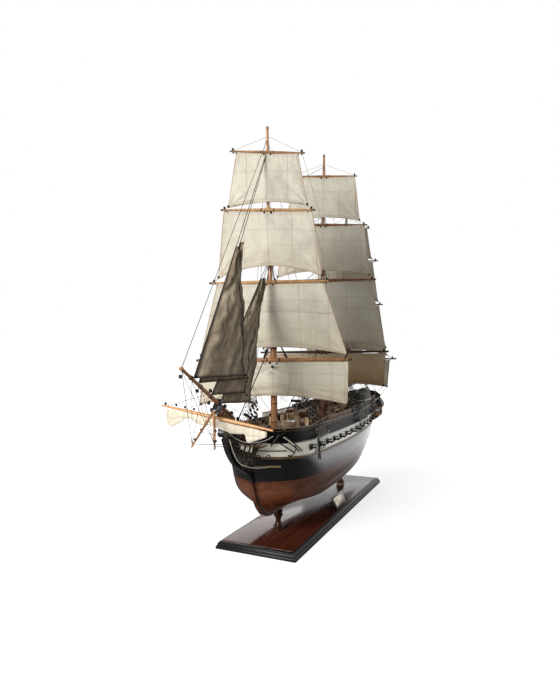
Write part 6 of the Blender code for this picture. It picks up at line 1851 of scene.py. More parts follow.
# Columns: height up the hinge line, how far the strap runs aft
for rise, reach in ((0.014, 0.0200), (0.040, 0.0168), (0.066, 0.0108), (0.086, 0.0088)):
    hinge = HINGE_FOOT + hinge_up * rise + hinge_aft * HINGE_AFT
    for side in (1, -1):
        strap = hinge + hinge_aft * (0.5 * reach + 0.0006) + PORTWARD * (side * 0.0023)
        strap_rows.append((strap, (reach, 0.0005, 0.0022), hinge_turn))
        for share in (0.3, 0.6, 0.9):
            bolt = hinge + hinge_aft * reach * share + PORTWARD * (side * 0.0026)
            strap_rows.append((bolt, (0.0007, 0.0005, 0.0007), hinge_turn))
boxes("rudder_straps", strap_rows, iron_black, "black_paint", edge=0, body="rudder")
for rise in (0.0105, 0.0365, 0.0625, 0.0825):
    hinge = HINGE_FOOT + hinge_up * rise
    for side in (1, -1):
        gudgeon = hinge - hinge_aft * 0.0040 + PORTWARD * (side * 0.0038)
        gudgeon_rows.append((gudgeon, (0.0090, 0.0005, 0.0020), hinge_turn))
boxes("rudder_gudgeons", gudgeon_rows, iron_black, "black_paint", edge=0)
for name in ("fore_stay", "main_stay", "mizzen_stay"):
    refinish(name, dark_rope)


# Square sails. Cream cotton duck cut in four cloths sewn edge to edge, with tabled edges roped
# all round, laced to the yards along the head and hauled out at the clews.
def sheet_of(name, columns, rows, place, metres, thickness=0.0004):
    """A sheet of cloth over a grid; maps give each point in metres and in shares of the sail."""
    bpy.ops.mesh.primitive_grid_add(x_subdivisions=columns, y_subdivisions=rows, size=2.0)
    made = bpy.context.object
    made.name = name
    shares = [(0.5 + 0.5 * corner.co.x, 0.5 + 0.5 * corner.co.y) for corner in made.data.vertices]
    for corner, (across, down) in zip(made.data.vertices, shares):
        corner.co = place(across, down)
    made.data.uv_layers[0].name = "share"
    made.data.uv_layers.new(name="cloth")
    for loop in made.data.loops:
        across, down = shares[loop.vertex_index]
        made.data.uv_layers["share"].data[loop.index].uv = (across, down)
        made.data.uv_layers["cloth"].data[loop.index].uv = metres(across, down)
    return modified(made, "SOLIDIFY", thickness=thickness, offset=0.0, use_even_offset=False)


def canvas(name, panel, bands, dark, light, lower=(1.0, 1.0, 1.0), crinkled=None, hem=0.0045,
           size=(0.2, 0.12), trim=(0.360, 0.250, 0.170), trim_share=0.35, trim_wide=0.0022, sweep=0.0):
    """Sailcloth: plain weave, cloths panel wide, stitched seams, bands and hems, cloudy tone, a band of
    trim colour along the edges; painted shade darker and warmer towards the foot by lower, and by sweep
    diagonal streaks of painted highlight and shade.
    """
    made = Finish(name, {"Roughness": 0.88, "Sheen Weight": 0.12, "Sheen Roughness": 0.5,
                         "Specular IOR Level": 0.2})
    metres, share = made.cloth("cloth"), made.cloth("share")
    across, down = metres.part(0), metres.part(1)
    side, fall = share.part(0), share.part(1)
    here = made.place()
    cloud = made.grain(here, 30.0, 5.0, 0.6)

    def marks(stretch, turn=0.0, detail=3.0, roughness=0.55):
        """Noise over the cloth in metres, stretched and turned."""
        where = made.node("Mapping", {}, {"Vector": metres, "Rotation": (0.0, 0.0, turn),
                                          "Scale": (*stretch, 1.0)})
        return made.grain(where, 1.0, detail, roughness)

    # With sweep, diagonal streaks of painted highlight and shade over the creases.
    streak, crease_light_and_shade = marks((700.0, 24.0)), marks((70.0, 7.0), 0.30)
    tone = (cloud * 0.55 + streak * 0.45 + (crease_light_and_shade - 0.5) * sweep).rises(0.30, 0.70)
    body = made.mix(tone, dark, light)
    # Darker and warmer towards the foot by lower: painted shade.
    body = made.mix(fall.rises(0.15, 1.0), body, made.mix(1.0, body, lower, "MULTIPLY"))
    from_seam = abs((across / panel + 0.5).fraction() - 0.5) * panel
    from_leech = (0.5 - abs(side - 0.5)) * size[0]
    from_head = (0.5 - abs(fall - 0.5)) * size[1]
    from_edge = from_leech.least(from_head)
    seam = 1.0 - from_seam.rises(0.0003, 0.0007)
    for at in bands:
        seam = seam.most(1.0 - abs(abs(fall - at) * size[1] - 0.0013).rises(0.0001, 0.0005))
    hem_line = 1.0 - abs(from_edge - hem).rises(0.0003, 0.0008)
    dash = ((across + down) / 0.0026).fraction() < 0.62
    stitched = seam.most(hem_line * 0.7)
    thread = stitched * (dash * 0.34 + 0.32)
    edge = 1.0 - from_edge.rises(0.3 * trim_wide, trim_wide)
    body = made.mix(thread, body, (0.330, 0.190, 0.135))
    # A band of trim colour along the edges; on the headsails it is painted shade.
    body = made.mix(edge * trim_share, body, trim)
    made.colour(body)
    warp = abs((across / 0.0007).fraction() - 0.5)
    weft = abs((down / 0.0007).fraction() - 0.5)
    fold = from_seam.rises(0.0000, 0.0022) * 0.30 + from_edge.rises(0.0, hem) * 0.25
    height = fold + (warp + weft) * 0.10 + cloud * 2.4 + marks((26.0, 60.0), 0.6, 4.0, 0.6) * 6.0
    if crinkled:
        top, bottom = crinkled
        between_bands = fall.rises(top, top + 0.02) - fall.rises(bottom, bottom + 0.02)
        height = height + marks((160.0, 420.0)) * between_bands * 3.2
    made.relief(height, 0.0006)
    glow = made.tree.nodes.new("ShaderNodeBsdfTranslucent")
    glow.inputs["Color"].default_value = (*light, 1.0)
    blend = made.tree.nodes.new("ShaderNodeMixShader")
    blend.inputs[0].default_value = 0.22
    made.tree.links.new(made.shader.outputs[0], blend.inputs[1])
    made.tree.links.new(glow.outputs[0], blend.inputs[2])
    made.tree.links.new(blend.outputs[0], made.tree.nodes["Material Output"].inputs["Surface"])
    return made.material


COTTON_DARK, COTTON_LIGHT = (0.540, 0.500, 0.400), (0.660, 0.625, 0.525)
# A paler copy of the cotton for the mizzen's sails: painted light against the shade the main sails cast on
# them.
MIZZEN_LIT_DARK, MIZZEN_LIT_LIGHT = (0.720, 0.660, 0.520), (0.840, 0.790, 0.660)
# Columns: sail, width of a cloth, shares down at which a band is stitched, rumpled between, how
# much darker and warmer it is low down as painted shade, size
SAIL_CUTS = (
    ("royal", 0.0365, (0.365,), None, (1.0, 1.0, 1.0), (0.13, 0.090)),
    ("topgallant", 0.0426, (0.31,), None, (0.98, 0.96, 0.93), (0.18, 0.110)),
    ("topsail", 0.0510, (0.25, 0.42), (0.25, 0.42), (0.95, 0.92, 0.86), (0.24, 0.125)),
    ("course", 0.0520, (0.30,), None, (1.0, 0.95, 0.86), (0.26, 0.075)),
)
canvases = {}
for sail, panel, bands, crinkled, lower, size in SAIL_CUTS:
    canvases[sail] = canvas(f"{sail}_canvas", panel, bands, COTTON_DARK, COTTON_LIGHT, lower, crinkled,
                            size=size)
    canvases[f"mizzen {sail}"] = canvas(f"mizzen_{sail}_canvas", panel, bands, MIZZEN_LIT_DARK, MIZZEN_LIT_LIGHT, lower,
                                        crinkled, size=size)
# A darker, browner copy of the cotton for the main course: painted shade where it hangs behind the fore
# course.
canvases["main course"] = canvas("main_course_painted_shade_canvas", 0.0520, (0.30,), (0.480, 0.360, 0.220),
                                 (0.600, 0.470, 0.310), (0.75, 0.66, 0.52), size=(0.26, 0.075))

# Columns: mast, sail, half head, half foot, height of the clews, rise of the foot, belly
SQUARE_SAILS = (
    ("fore", "course", 0.1330, 0.1310, 0.2440, 0.017, 0.014),
    ("fore", "topsail", 0.0945, 0.1310, 0.3320, 0.015, 0.015),
    ("fore", "topgallant", 0.0780, 0.0925, 0.4710, 0.019, 0.011),
    ("fore", "royal", 0.0545, 0.0700, 0.5955, 0.006, 0.008),
    ("main", "course", 0.1360, 0.1330, 0.2610, 0.010, 0.014),
    ("main", "topsail", 0.1050, 0.1370, 0.3450, 0.017, 0.015),
    ("main", "topgallant", 0.0930, 0.1030, 0.5080, 0.012, 0.011),
    ("main", "royal", 0.0700, 0.0820, 0.6320, 0.008, 0.008),
    ("mizzen", "course", 0.1080, 0.1030, 0.2470, 0.010, 0.010),
    ("mizzen", "topsail", 0.0830, 0.1000, 0.3270, 0.018, 0.015),
    ("mizzen", "topgallant", 0.0670, 0.0800, 0.4640, 0.012, 0.009),
    ("mizzen", "royal", 0.0520, 0.0640, 0.5740, 0.006, 0.006),
)
BELOW = {"topsail": "course", "topgallant": "topsail", "royal": "topgallant"}
SAIL_GRID = (56, 48)
rope_tan = wood("tan_bolt_rope", (0.300, 0.200, 0.130), (0.460, 0.340, 0.240), 0.8,
                along=(900.0, 900.0, 900.0))
edge_runs, clews = [], {}


def rays(turns, angle, far, deep, length, blunt):
    """Folds that fan out from one point, by the angle round it and the distance from it."""
    return math.sin(turns * angle) * deep * math.exp(-far / length) * min(far / blunt, 1.0)


def creases(across, down, seed):
    """Small folds of slack cloth: soft clouds, gathers at the head and rays from the clews."""
    fold = noise.noise(Vector((2.6 * across, 1.7 * down, seed))) * 0.0040
    fold += noise.noise(Vector((7.0 * across, 3.0 * down, seed + 5.0))) * 0.0016
    skew = Vector((5.0 * across + 4.0 * down, 14.0 * down - 9.0 * across, seed + 9.0))
    fold += noise.noise(skew) * 0.0006
    fold += math.sin(math.tau * 13.0 * across + seed) * 0.00045 * math.exp(-down / 0.10)
    for corner in (0.0, 1.0):
        run, rise = across - corner, 1.0 - down
        angle = math.atan2(rise, abs(run) + 0.001) + seed / 11.0
        fold += rays(11.0, angle, math.hypot(run, rise), 0.0018, 0.26, 0.05)
    return fold * min(down / 0.05, 1.0)


for number, (mast_name, sail, half_head, half_foot, clew_z, rise, belly) in enumerate(SQUARE_SAILS):
    sling, _, yard_radius = slings[mast_name, sail]
    head = sling - UP * (yard_radius + 0.0005)
    if sail in BELOW:
        below = slings[mast_name, BELOW[sail]][0]
        foot_middle = Vector((below.x, below.y, clew_z))
    else:
        rake = mast_named[mast_name][2]
        foot_middle = Vector((head.x + rake * (clew_z - head.z), head.y, clew_z))

    def sail_place(across, down):
        a = 2.0 * across - 1.0
        half = half_head + (half_foot - half_head) * down
        middle = head.lerp(foot_middle, down)
        lift = rise * (1.0 - a * a) * down ** 1.5
        drawn = 1.0 if down > 0.98 else 0.85
        swell = belly * math.sin(0.78 * math.pi * down) * (1.0 - drawn * a * a)
        fold = creases(across, down, 3.7 * number)
        if number == 0:
            far = math.hypot(across - 0.47, 0.45 * (down - 0.16))
            fold += rays(9.0, math.atan2(down - 0.16, across - 0.47), far, 0.0030, 0.11, 0.02)
        level = yard_ways[mast_name, sail].lerp(PORT, down)
        return middle + level * half * a + UP * lift + AHEAD * (swell + fold)

    def sail_size(across, down):
        return (2.0 * across - 1.0) * (half_head + (half_foot - half_head) * down), down * length

    length = head.z - clew_z
    piece = sheet_of(f"{mast_name}_{sail}", *SAIL_GRID, sail_place, sail_size)
    look = canvases.get(f"{mast_name} {sail}", canvases[sail])
    fitted(piece, look, "canvas", f"{mast_name}_{sail}_sail", smooth=60.0)
    steps = [k / 24 for k in range(25)]
    for side in (0.0, 1.0):
        edge_runs += strung([sail_place(side, k) for k in steps], 0.0007)
        edge_runs += strung([sail_place(k, side) for k in steps], 0.0005 + 0.0002 * side)
    clews[mast_name, sail] = (sail_place(1.0, 1.0), sail_place(0.0, 1.0))
rods("square_sail_bolt_ropes", edge_runs, rope_tan, "rope", sides=6)


# Headsails. Four triangular sails of cotton on their stays between the fore mast and the jib-boom,
# roped in black, with a tabling down the luff. The cotton is painted a dark grey-brown as shade, with
# wider painted shade along the hems and diagonal streaks of painted highlight over the creases.
# Columns: sail, head in X and Z, tack in X, clew in X, Y, Z, belly
HEADSAILS = (
    ("flying_jib", 0.3230, 0.5100, 0.4450, (0.3520, 0.0280, 0.3030), 0.0060),
    ("jib", 0.3090, 0.5200, 0.4330, (0.3330, 0.0160, 0.2970), 0.0040),
    ("fore_topmast_staysail", 0.2370, 0.4700, 0.4010, (0.3260, 0.0120, 0.2750), 0.0040),
    ("fore_staysail", 0.2270, 0.4730, 0.3770, (0.2910, 0.0040, 0.2560), 0.0025),
)
# Dark grey-brown cotton with a wide dark edge band and diagonal streaks: painted shade over the cloth and
# hems, painted highlights in the streaks.
headsail_painted_shade_canvas = canvas("headsail_painted_shade_canvas", 0.0340, (0.93,), (0.250, 0.198, 0.132), (0.470, 0.385, 0.270),
                         size=(0.07, 0.26), trim=(0.055, 0.044, 0.033), trim_share=0.8, trim_wide=0.0050,
                         sweep=1.6)
luff_runs, head_corners = [], {}
for number, (name, head_x, head_z, tack_x, clew, belly) in enumerate(HEADSAILS):
    boom_radius = 0.0032 + (0.0022 - 0.0032) * (tack_x - 0.340) / (0.475 - 0.340)
    head = Vector((head_x, 0.0, head_z))
    tack = on_bowsprit(tack_x, BOOM_LIFT) + UP * ((boom_radius + 0.0007) * math.hypot(1.0, STEEVE))
    clew = Vector(clew)

    def headsail_place(across, down):
        d = 0.03 + 0.97 * down
        luff, leech = head.lerp(tack, d), head.lerp(clew, d)
        swell = belly * math.sin(math.pi * across ** 0.8) * math.sin(math.pi * (0.1 + 0.75 * d))
        soft = noise.noise(Vector((3.0 * across, 5.0 * d, 9.0 * number))) * 0.0050
        skew = Vector((6.0 * across + 8.0 * d, 20.0 * d - 5.0 * across, 9.0 * number))
        soft += noise.noise(skew) * 0.0022
        pull = math.sin(math.tau * (6.0 * d + 2.6 * across)) * 0.0014 * math.exp(-across / 0.35)
        return luff.lerp(leech, across) + PORTWARD * (swell + (soft + pull) * min(across / 0.06, 1.0))

    length = (clew - head).length
    width = (clew - tack).length

    def headsail_size(across, down):
        return across * width * down, down * length
    piece = sheet_of(f"{name}_cloth", 28, 72, headsail_place, headsail_size)
    fitted(piece, headsail_painted_shade_canvas, "canvas", name, smooth=60.0)
    flat_area = 0.5 * (tack - head).cross(clew - head).length
    round((tack - head).length, 3)
    steps = [k / 20 for k in range(21)]
    luff_runs += strung([headsail_place(0.0, k) for k in steps], 0.0008)
    luff_runs += strung([headsail_place(1.0, k) for k in steps], 0.0006)
    luff_runs += strung([headsail_place(k, 1.0) for k in steps], 0.0006)
    head_corners[name] = (head, tack, clew)
rods("headsail_bolt_ropes", luff_runs, dark_rope, "rope", sides=6)

# Spanker. A four-sided fore-and-aft sail laced to the gaff, the mizzen mast and the boom.
under_gaff, over_boom = UP * (1.1 * GAFF_RADIUS + 0.0009), UP * (BOOM_RADIUS + 0.0009)
throat = gaff_jaw.lerp(gaff_tip, 0.04) - under_gaff
peak = gaff_jaw.lerp(gaff_tip, 0.94) - under_gaff
spanker_tack = boom_jaw.lerp(boom_tip, 0.04) + over_boom
spanker_clew = boom_jaw.lerp(boom_tip, 0.90) + over_boom


def spanker_place(across, down):
    upper, lower = throat.lerp(peak, across), spanker_tack.lerp(spanker_clew, across)
    swell = -0.009 * math.sin(math.pi * across) * math.sin(math.pi * down)
    inside = min(across / 0.06, (1.0 - down) / 0.06, down / 0.06, 1.0)
    soft = noise.noise(Vector((3.0 * across, 3.0 * down, 77.0))) * 0.0014 * inside
    return upper.lerp(lower, down) + PORTWARD * (swell + soft)


def spanker_size(across, down):
    return 0.20 * across, 0.11 * down


spanker_canvas = canvas("spanker_canvas", 0.0420, (), COTTON_DARK, COTTON_LIGHT,
                        size=spanker_size(1.0, 1.0))
spanker = sheet_of("spanker_cloth", 56, 40, spanker_place, spanker_size)
fitted(spanker, spanker_canvas, "canvas", "spanker", smooth=60.0)
spanker_runs = []
steps = [k / 24 for k in range(25)]
for side in (0.0, 1.0):
    spanker_runs += strung([spanker_place(side, k) for k in steps], 0.0007)
    spanker_runs += strung([spanker_place(k, side) for k in steps], 0.0007)
rods("spanker_bolt_ropes", spanker_runs, rope_tan, "rope", sides=6)

# Spritsail. Hauled up to its yard in uneven bunts, so that it hangs in short gathered folds.
# Columns: share along the yard, how far the bundle drops, half its depth
BUNTS = ((-0.92, 0.0160, 0.0010), (-0.88, 0.0240, 0.0016), (-0.81, 0.0260, 0.0020), (-0.68, 0.0190, 0.0020),
         (-0.54, 0.0090, 0.0022), (-0.44, 0.0070, 0.0026), (-0.30, 0.0130, 0.0020), (-0.10, 0.0100, 0.0026),
         (0.10, 0.0120, 0.0026), (0.30, 0.0140, 0.0030), (0.44, 0.0125, 0.0030), (0.535, 0.0112, 0.0028),
         (0.57, 0.0215, 0.0034), (0.60, 0.0220, 0.0034), (0.70, 0.0175, 0.0030), (0.80, 0.0125, 0.0022),
         (0.90, 0.0070, 0.0012))
BUNT_STEPS = 8
bunt_rows = eased(BUNTS, BUNT_STEPS)


def spritsail_place(across, along):
    share, drop, depth = bunt_rows[round(along * (len(bunt_rows) - 1))]
    turn = math.tau * across
    pleat = 1.0 + 0.16 * math.sin(5.0 * turn + 9.0 * share) + 0.08 * math.sin(11.0 * turn + 31.0 * share)
    middle = on_spritsail_yard(share) - UP * (0.0036 + 0.5 * drop)
    end = 0.25 if along in (0.0, 1.0) else 1.0
    rise = math.sin(turn) * 0.5 * drop * (0.9 + 0.1 * pleat) * end
    return middle + FORWARD * (math.cos(turn) * depth * pleat * end) + UP * rise


# A paler copy of the cotton: painted light where the lamp falls on the low spritsail.
spritsail_lit_canvas = canvas("spritsail_painted_light_canvas", 0.0300, (), (0.620, 0.560, 0.430), (0.770, 0.710, 0.580),
                       size=(0.17, 0.06))
bunt = formed("spritsail_cloth", 48, BUNT_STEPS * (len(BUNTS) - 1), spritsail_place, capped=True)
bunt.data.uv_layers[0].name = "share"
bunt.data.uv_layers.new(name="cloth")
for loop in bunt.data.loops:
    corner = bunt.data.vertices[loop.vertex_index].co
    bunt.data.uv_layers["cloth"].data[loop.index].uv = (corner.y, corner.z * 1.4)
fitted(bunt, spritsail_lit_canvas, "canvas", "spritsail", smooth=60.0)


# Shrouds. Tarred lines in fans from each mast to lanyards and deadeyes on the channels, crossed by
# thin ratlines, with futtock, topmast and topgallant shrouds above the tops.
SHROUD, RATLINE, LANYARD, STAY, LIFT, THIN = 0.00050, 0.00022, 0.00022, 0.00055, 0.00035, 0.00028
RATLINE_STEP = 0.0075
shroud_runs, ratline_runs, lanyard_runs, chain_runs, deadeye_runs, block_rows = [], [], [], [], [], []


def ladder(lines, low, high):
    """Ratlines across a fan of shrouds, from one height to another."""
    z = low
    while z < high:
        crossed = [(a, b) for a, b in lines if min(a.z, b.z) <= z <= max(a.z, b.z)]
        spots = [a.lerp(b, (z - a.z) / (b.z - a.z)) for a, b in crossed]
        ratline_runs.extend(strung(spots, RATLINE))
        z += RATLINE_STEP


def pulley(spot, way, long=0.0042):
    """A wooden block at a place, its length along way."""
    block_rows.append((Vector(spot), (0.62 * long, 0.80 * long, long),
                       Vector(way).to_track_quat("Z", "Y").to_matrix()))


for mast_name, front, back, shrouds in CHANNELS:
    mast = mast_named[mast_name]
    top_z, cross_z, truck_z, radius = mast[3:]
    shelf_z = STRIPE_HIGH + 0.004 + sheer(0.5 * (front + back))
    outer = max(half_breadth(front, shelf_z), half_breadth(back, shelf_z)) + 0.0088
    middle_z = pole_middle(mast)
    for side in (1, -1):
        # Lower shrouds on deadeyes, with their chains down the hull
        lines = []
        for number in range(shrouds):
            x = front + (back - front) * (number + 0.5) / shrouds
            foot = Vector((x, side * outer, shelf_z + 0.0030))
            head = on_mast(mast, top_z, 0.0006 * number - 0.0020) + Vector((0.0, side * 0.0030, -0.0020))
            upper_eye = foot + (head - foot).normalized() * 0.0120
            shroud_runs.append((upper_eye, head, SHROUD))
            lines.append((upper_eye, head))
            for eye in (foot, upper_eye):
                deadeye_runs.append((eye - PORTWARD * 0.0009, eye + PORTWARD * 0.0009, 0.0021))
            for shift in (-0.0012, 0.0, 0.0012):
                lanyard_runs.append((foot + FORWARD * shift, upper_eye + FORWARD * shift, LANYARD))
            anchor_z = shelf_z - 0.0240
            chain_foot = Vector((x - 0.0006, side * (half_breadth(x, anchor_z) + 0.0010), anchor_z))
            chain_runs.append((foot - UP * 0.0020, chain_foot, 0.0004))
            chain_runs.append((chain_foot - UP * 0.0015, chain_foot + UP * 0.0015, 0.0008))
        shear_pole = [low.lerp(high, 0.02) for low, high in (lines[0], lines[-1])]
        chain_runs.append((*shear_pole, 0.0005))
        ladder(lines, shelf_z + 0.0240, top_z - 0.0140)
        # Topmast shrouds over the top's rim, on small deadeyes, with futtock shrouds under it
        rim_y = side * (TOP_SPREAD * radius - 0.0008)
        topmast_head = on_mast(mast, cross_z, TOPMAST_AHEAD - 0.0010)
        topmast_head += Vector((0.0, side * 0.0020, -0.0030))
        hounds = on_mast(mast, top_z - 0.0220, -0.0010) + PORTWARD * (side * 0.0055)
        lines = []
        for number in range(4):
            x = mast_x(mast, top_z) + (1.2 - 0.85 * number) * radius
            rim = Vector((x, rim_y, top_z + 0.0014))
            up = (topmast_head - rim).normalized()
            shroud_runs.append((rim + up * 0.0055, topmast_head, 0.8 * SHROUD))
            lines.append((rim, topmast_head))
            for rise in (0.0008, 0.0055):
                eye = rim + up * rise
                deadeye_runs.append((eye - PORTWARD * 0.0006, eye + PORTWARD * 0.0006, 0.0013))
            lanyard_runs.append((rim, rim + up * 0.0055, LANYARD))
            shroud_runs.append((hounds, Vector((x, rim_y, top_z - 0.0010)), 0.8 * SHROUD))
        ladder(lines, top_z + 0.0140, cross_z - 0.0120)
        # Topgallant shrouds over the horns of the crosstrees
        pole_head = on_mast(mast, middle_z, POLE_AHEAD) + Vector((0.0, side * 0.0012, -0.0020))
        futtock = Vector((mast_x(mast, cross_z) + TOPMAST_AHEAD, side * 0.0040, cross_z - 0.0180))
        lines = []
        for ahead in (-0.0030, 0.0095):
            horn = on_mast(mast, cross_z, TOPMAST_AHEAD + ahead)
            horn += Vector((0.0, side * 2.25 * radius, 0.0010))
            shroud_runs.append((horn, pole_head, 0.7 * SHROUD))
            lines.append((horn, pole_head))
            shroud_runs.append((futtock, horn, 0.7 * SHROUD))
        ladder(lines, cross_z + 0.0120, middle_z - 0.0200)
        # Backstays from the topmast head and the pole down to the after end of the channel
        backstay_heads = ((cross_z - 0.0010, TOPMAST_AHEAD), (middle_z, POLE_AHEAD),
                          (truck_z - 0.0300, POLE_AHEAD))
        for step, (z, ahead) in enumerate(backstay_heads):
            foot = Vector((back - 0.0030 + 0.0030 * step, side * outer, shelf_z + 0.0020))
            head = on_mast(mast, z, ahead - 0.0012) + PORTWARD * (side * 0.0014)
            shroud_runs.append((foot, head, 0.7 * SHROUD))
            eye = foot + UP * 0.0030
            deadeye_runs.append((eye - PORTWARD * 0.0008, eye + PORTWARD * 0.0008, 0.0016))
rods("shrouds", shroud_runs, dark_rope, "rope", sides=6)
rods("ratlines", ratline_runs, dark_rope, "rope", sides=4)
rods("lanyards", lanyard_runs, tan_line, "rope", sides=4)
rods("chain_plates", chain_runs, iron_black, "black_paint", sides=6)
rods("deadeyes", deadeye_runs, iron_black, "dark_wood", sides=14)

# Stays. Each headsail's luff rides a stay that runs on to the fore mast, and heavier stays lead
# forward and down from every masthead to the mast ahead.
stay_runs = []


def mast_spot(name, z, side=0.0, behind=0.0):
    """A place at the side or back of a mast at a height."""
    place, radius = radius_at(mast_named[name], z)
    return Vector((place - behind * radius, side * radius, z))


for name, (head, tack, clew) in head_corners.items():
    way = (head - tack) / (head.z - tack.z)
    z = head.z
    while (tack + way * (z - tack.z)).x > radius_at(mast_named["fore"], z)[0] + 0.0030 and z < 0.7300:
        z += 0.0005
    stay_runs.append((tack, tack + way * (z - tack.z), STAY))
stay_runs.append((mast_spot("fore", 0.7160), on_bowsprit(0.4735, BOOM_LIFT), 0.8 * STAY))
# Columns: mast, height there, mast ahead, height there, thickness as a share of a stay
MAST_STAYS = (("main", 0.5380, "fore", 0.4060, 1.0), ("main", 0.6450, "fore", 0.5220, 0.8),
              ("main", 0.7600, "fore", 0.6180, 0.7), ("mizzen", 0.4830, "main", 0.4240, 0.9),
              ("mizzen", 0.5850, "main", 0.5600, 0.7), ("mizzen", 0.6900, "main", 0.6500, 0.6))
for name, z, ahead, ahead_z, share in MAST_STAYS:
    stay_runs.append((mast_spot(name, z), mast_spot(ahead, ahead_z, behind=1.0), share * STAY))
rods("stays", stay_runs, dark_rope, "rope", sides=6)

# Yard gear. Lifts, braces and clew lines of light line, with blocks at the yard arms, slings and
# clews, and robands that lace the head of each sail to its yard.
gear_runs, roband_runs = [], []
# Columns: mast ahead or astern that takes the braces, and its heights for the four yards
BRACE_LEADS = {"fore": ("main", (0.3300, 0.3850, 0.5300, 0.6200)),
               "main": ("mizzen", (0.3000, 0.3500, 0.4850, 0.5800)),
               "mizzen": ("main", (0.3400, 0.3880, 0.4700, 0.5300))}
YARD_ORDER = ("course", "topsail", "topgallant", "royal")
ROBANDS = 18
for (mast_name, yard), (sling, half, radius) in slings.items():
    top_z, cross_z = mast_named[mast_name][3:5]
    lead, heights = BRACE_LEADS[mast_name]
    order = YARD_ORDER.index(yard)
    lift_z = (top_z + 0.0360, cross_z + 0.0200, sling.z + 0.0480, sling.z + 0.0290)[order]
    arm_way = yard_ways[mast_name, yard]
    for side in (1, -1):
        arm = sling + arm_way * half * side * 0.93
        gear_runs.append((arm + UP * (radius * 0.5), mast_spot(mast_name, lift_z, side), LIFT))
        gear_runs.append((arm, mast_spot(lead, heights[order], side), THIN))
        pulley(arm + UP * (radius * 0.5 + 0.0024), UP)
        pulley(arm - AHEAD * (0.0030 + 0.5 * radius), AHEAD)
        pulley(arm - PORT * side * 0.0060 - UP * (radius * 0.5 + 0.0020), UP, 0.0026)
        pulley(sling + PORT * side * 0.0060 - UP * (radius + 0.0018), UP)
        gear_runs.append((sling + PORT * side * 0.0060, mast_spot(mast_name, sling.z + 0.0300, side), THIN))
    for number in range(ROBANDS):
        share = (number - 8.5) / 8.5 * 0.90
        middle = sling + arm_way * half * share - UP * 0.0003
        thick = radius * (1.0 - 0.46 * abs(share) ** 1.6) + 0.0004
        roband_runs += scroll(middle, AHEAD, UP, thick, thick, THIN, count=8)
for (mast_name, sail), corners in clews.items():
    for side, corner in zip((1, -1), corners):
        pulley(corner + UP * 0.0010 + AHEAD * 0.0014, UP)
        if sail in BELOW:
            below = (mast_name, BELOW[sail])
            sling, half, radius = slings[below]
            arm = sling + yard_ways[below] * half * side * 0.95
            gear_runs.append((corner, arm + UP * (radius * 0.6), LIFT))
        else:
            for x in (corner.x + 0.0450, corner.x - 0.0700):
                y = half_breadth(min(x, 0.270), 0.205) + 0.0010
                gear_runs.append((corner, Vector((x, side * y, rail_height(x))), LIFT))
SHEET_X = 0.2650
for _, _, clew in head_corners.values():
    pulley(clew, (1.0, 0.0, -0.4), 0.0042)
    pulley(clew + Vector((-0.0040, 0.0022, -0.0044)), UP, 0.0036)
    for side in (1, -1):
        y = half_breadth(SHEET_X, 0.205) - 0.0020
        gear_runs.append((clew, Vector((SHEET_X, side * y, rail_height(SHEET_X) + 0.0010)), LIFT))
boom_sheet = boom_jaw.lerp(boom_tip, 0.72)
for part in (0.55, 0.95):
    gear_runs.append((gaff_jaw.lerp(gaff_tip, part), mast_spot("mizzen", 0.3900, behind=1.0), LIFT))
for side in (1, -1):
    gear_runs.append((boom_jaw.lerp(boom_tip, 0.93), mast_spot("mizzen", 0.3520, side, 0.6), LIFT))
    gear_runs.append((gaff_tip, Vector((-0.3600, side * 0.0400, 0.2180)), THIN))
    gear_runs.append((boom_sheet, Vector((-0.3700, side * 0.0300, 0.2200)), LIFT))
pulley(boom_sheet - UP * 0.0050, UP, 0.0038)
# Blocks and hearts along the jib-boom, the bowsprit, the spritsail yard and the fore yard
for x, side, drop in ((0.4690, -1, 0.008), (0.4480, 1, -0.004), (0.4300, -1, 0.006), (0.4120, 1, -0.004),
                      (0.4010, -1, 0.008)):
    pulley(on_bowsprit(x, BOOM_LIFT) + Vector((0.0, side * 0.0050, -drop)), UP, 0.0050)
for number in range(12):
    heart = on_bowsprit(0.3760 - 0.0064 * number, 0.0115 + 0.0030 * (number % 3))
    pulley(heart + PORTWARD * (0.0060, -0.0070, 0.0)[number % 3], (0.3, 0.0, 1.0), 0.0046)
for share in (-0.72, -0.55, -0.38):
    pulley(on_spritsail_yard(share) + UP * 0.0054, UP, 0.0036)
fore_sling = slings["fore", "course"][0]
pulley(fore_sling + Vector((0.0060, 0.0010, -0.0120)), UP, 0.0046)
pulley(fore_sling + Vector((0.0060, -0.0160, -0.0070)), UP, 0.0040)
# Blocks on short pendants over the forecastle
for number in range(16):
    x = 0.2950 - 0.0042 * number
    foot = Vector((x, (0.0100, -0.0160, -0.0300)[number % 3], deck_height(x)))
    spot = foot + UP * (0.0190 + 0.0045 * (number % 4))
    pulley(spot, UP, 0.0050)
    gear_runs.append((foot, spot, LIFT))
# Falls of the running rigging, led down behind the courses to the racks
FALLS_TOP, DECK_FALLS = 0.3260, 8
for mast_name, deck_x, *_ in MASTS:
    for side in (1, -1):
        for number in range(RAIL_PINS):
            top = Vector((deck_x - 0.0060 - 0.0010 * number, side * (0.0160 + 0.0045 * number), FALLS_TOP))
            x, y = rail_pin(deck_x, side, number)
            pin = Vector((x, y, rail_height(x) - 0.0030))
            gear_runs.append((top, pin, THIN))
            for turn in range(3):
                share = 0.68 + 0.31 * ((number * 5 + turn * 4 + 2 * (side > 0)) % 11) / 11
                pulley(pin.lerp(top, 1.0 - share), (0.2 * turn, 0.0, 1.0), 0.0040 + 0.0004 * turn)
        for number in range(DECK_FALLS):
            x = deck_x - 0.0085 + 0.0030 * number
            top = Vector((x + 0.0040, side * (0.0100 + 0.0055 * number), FALLS_TOP))
            pin = Vector((x, side * (0.0090 + 0.0020 * number), deck_height(x) + 0.0100))
            gear_runs.append((top, pin, THIN))
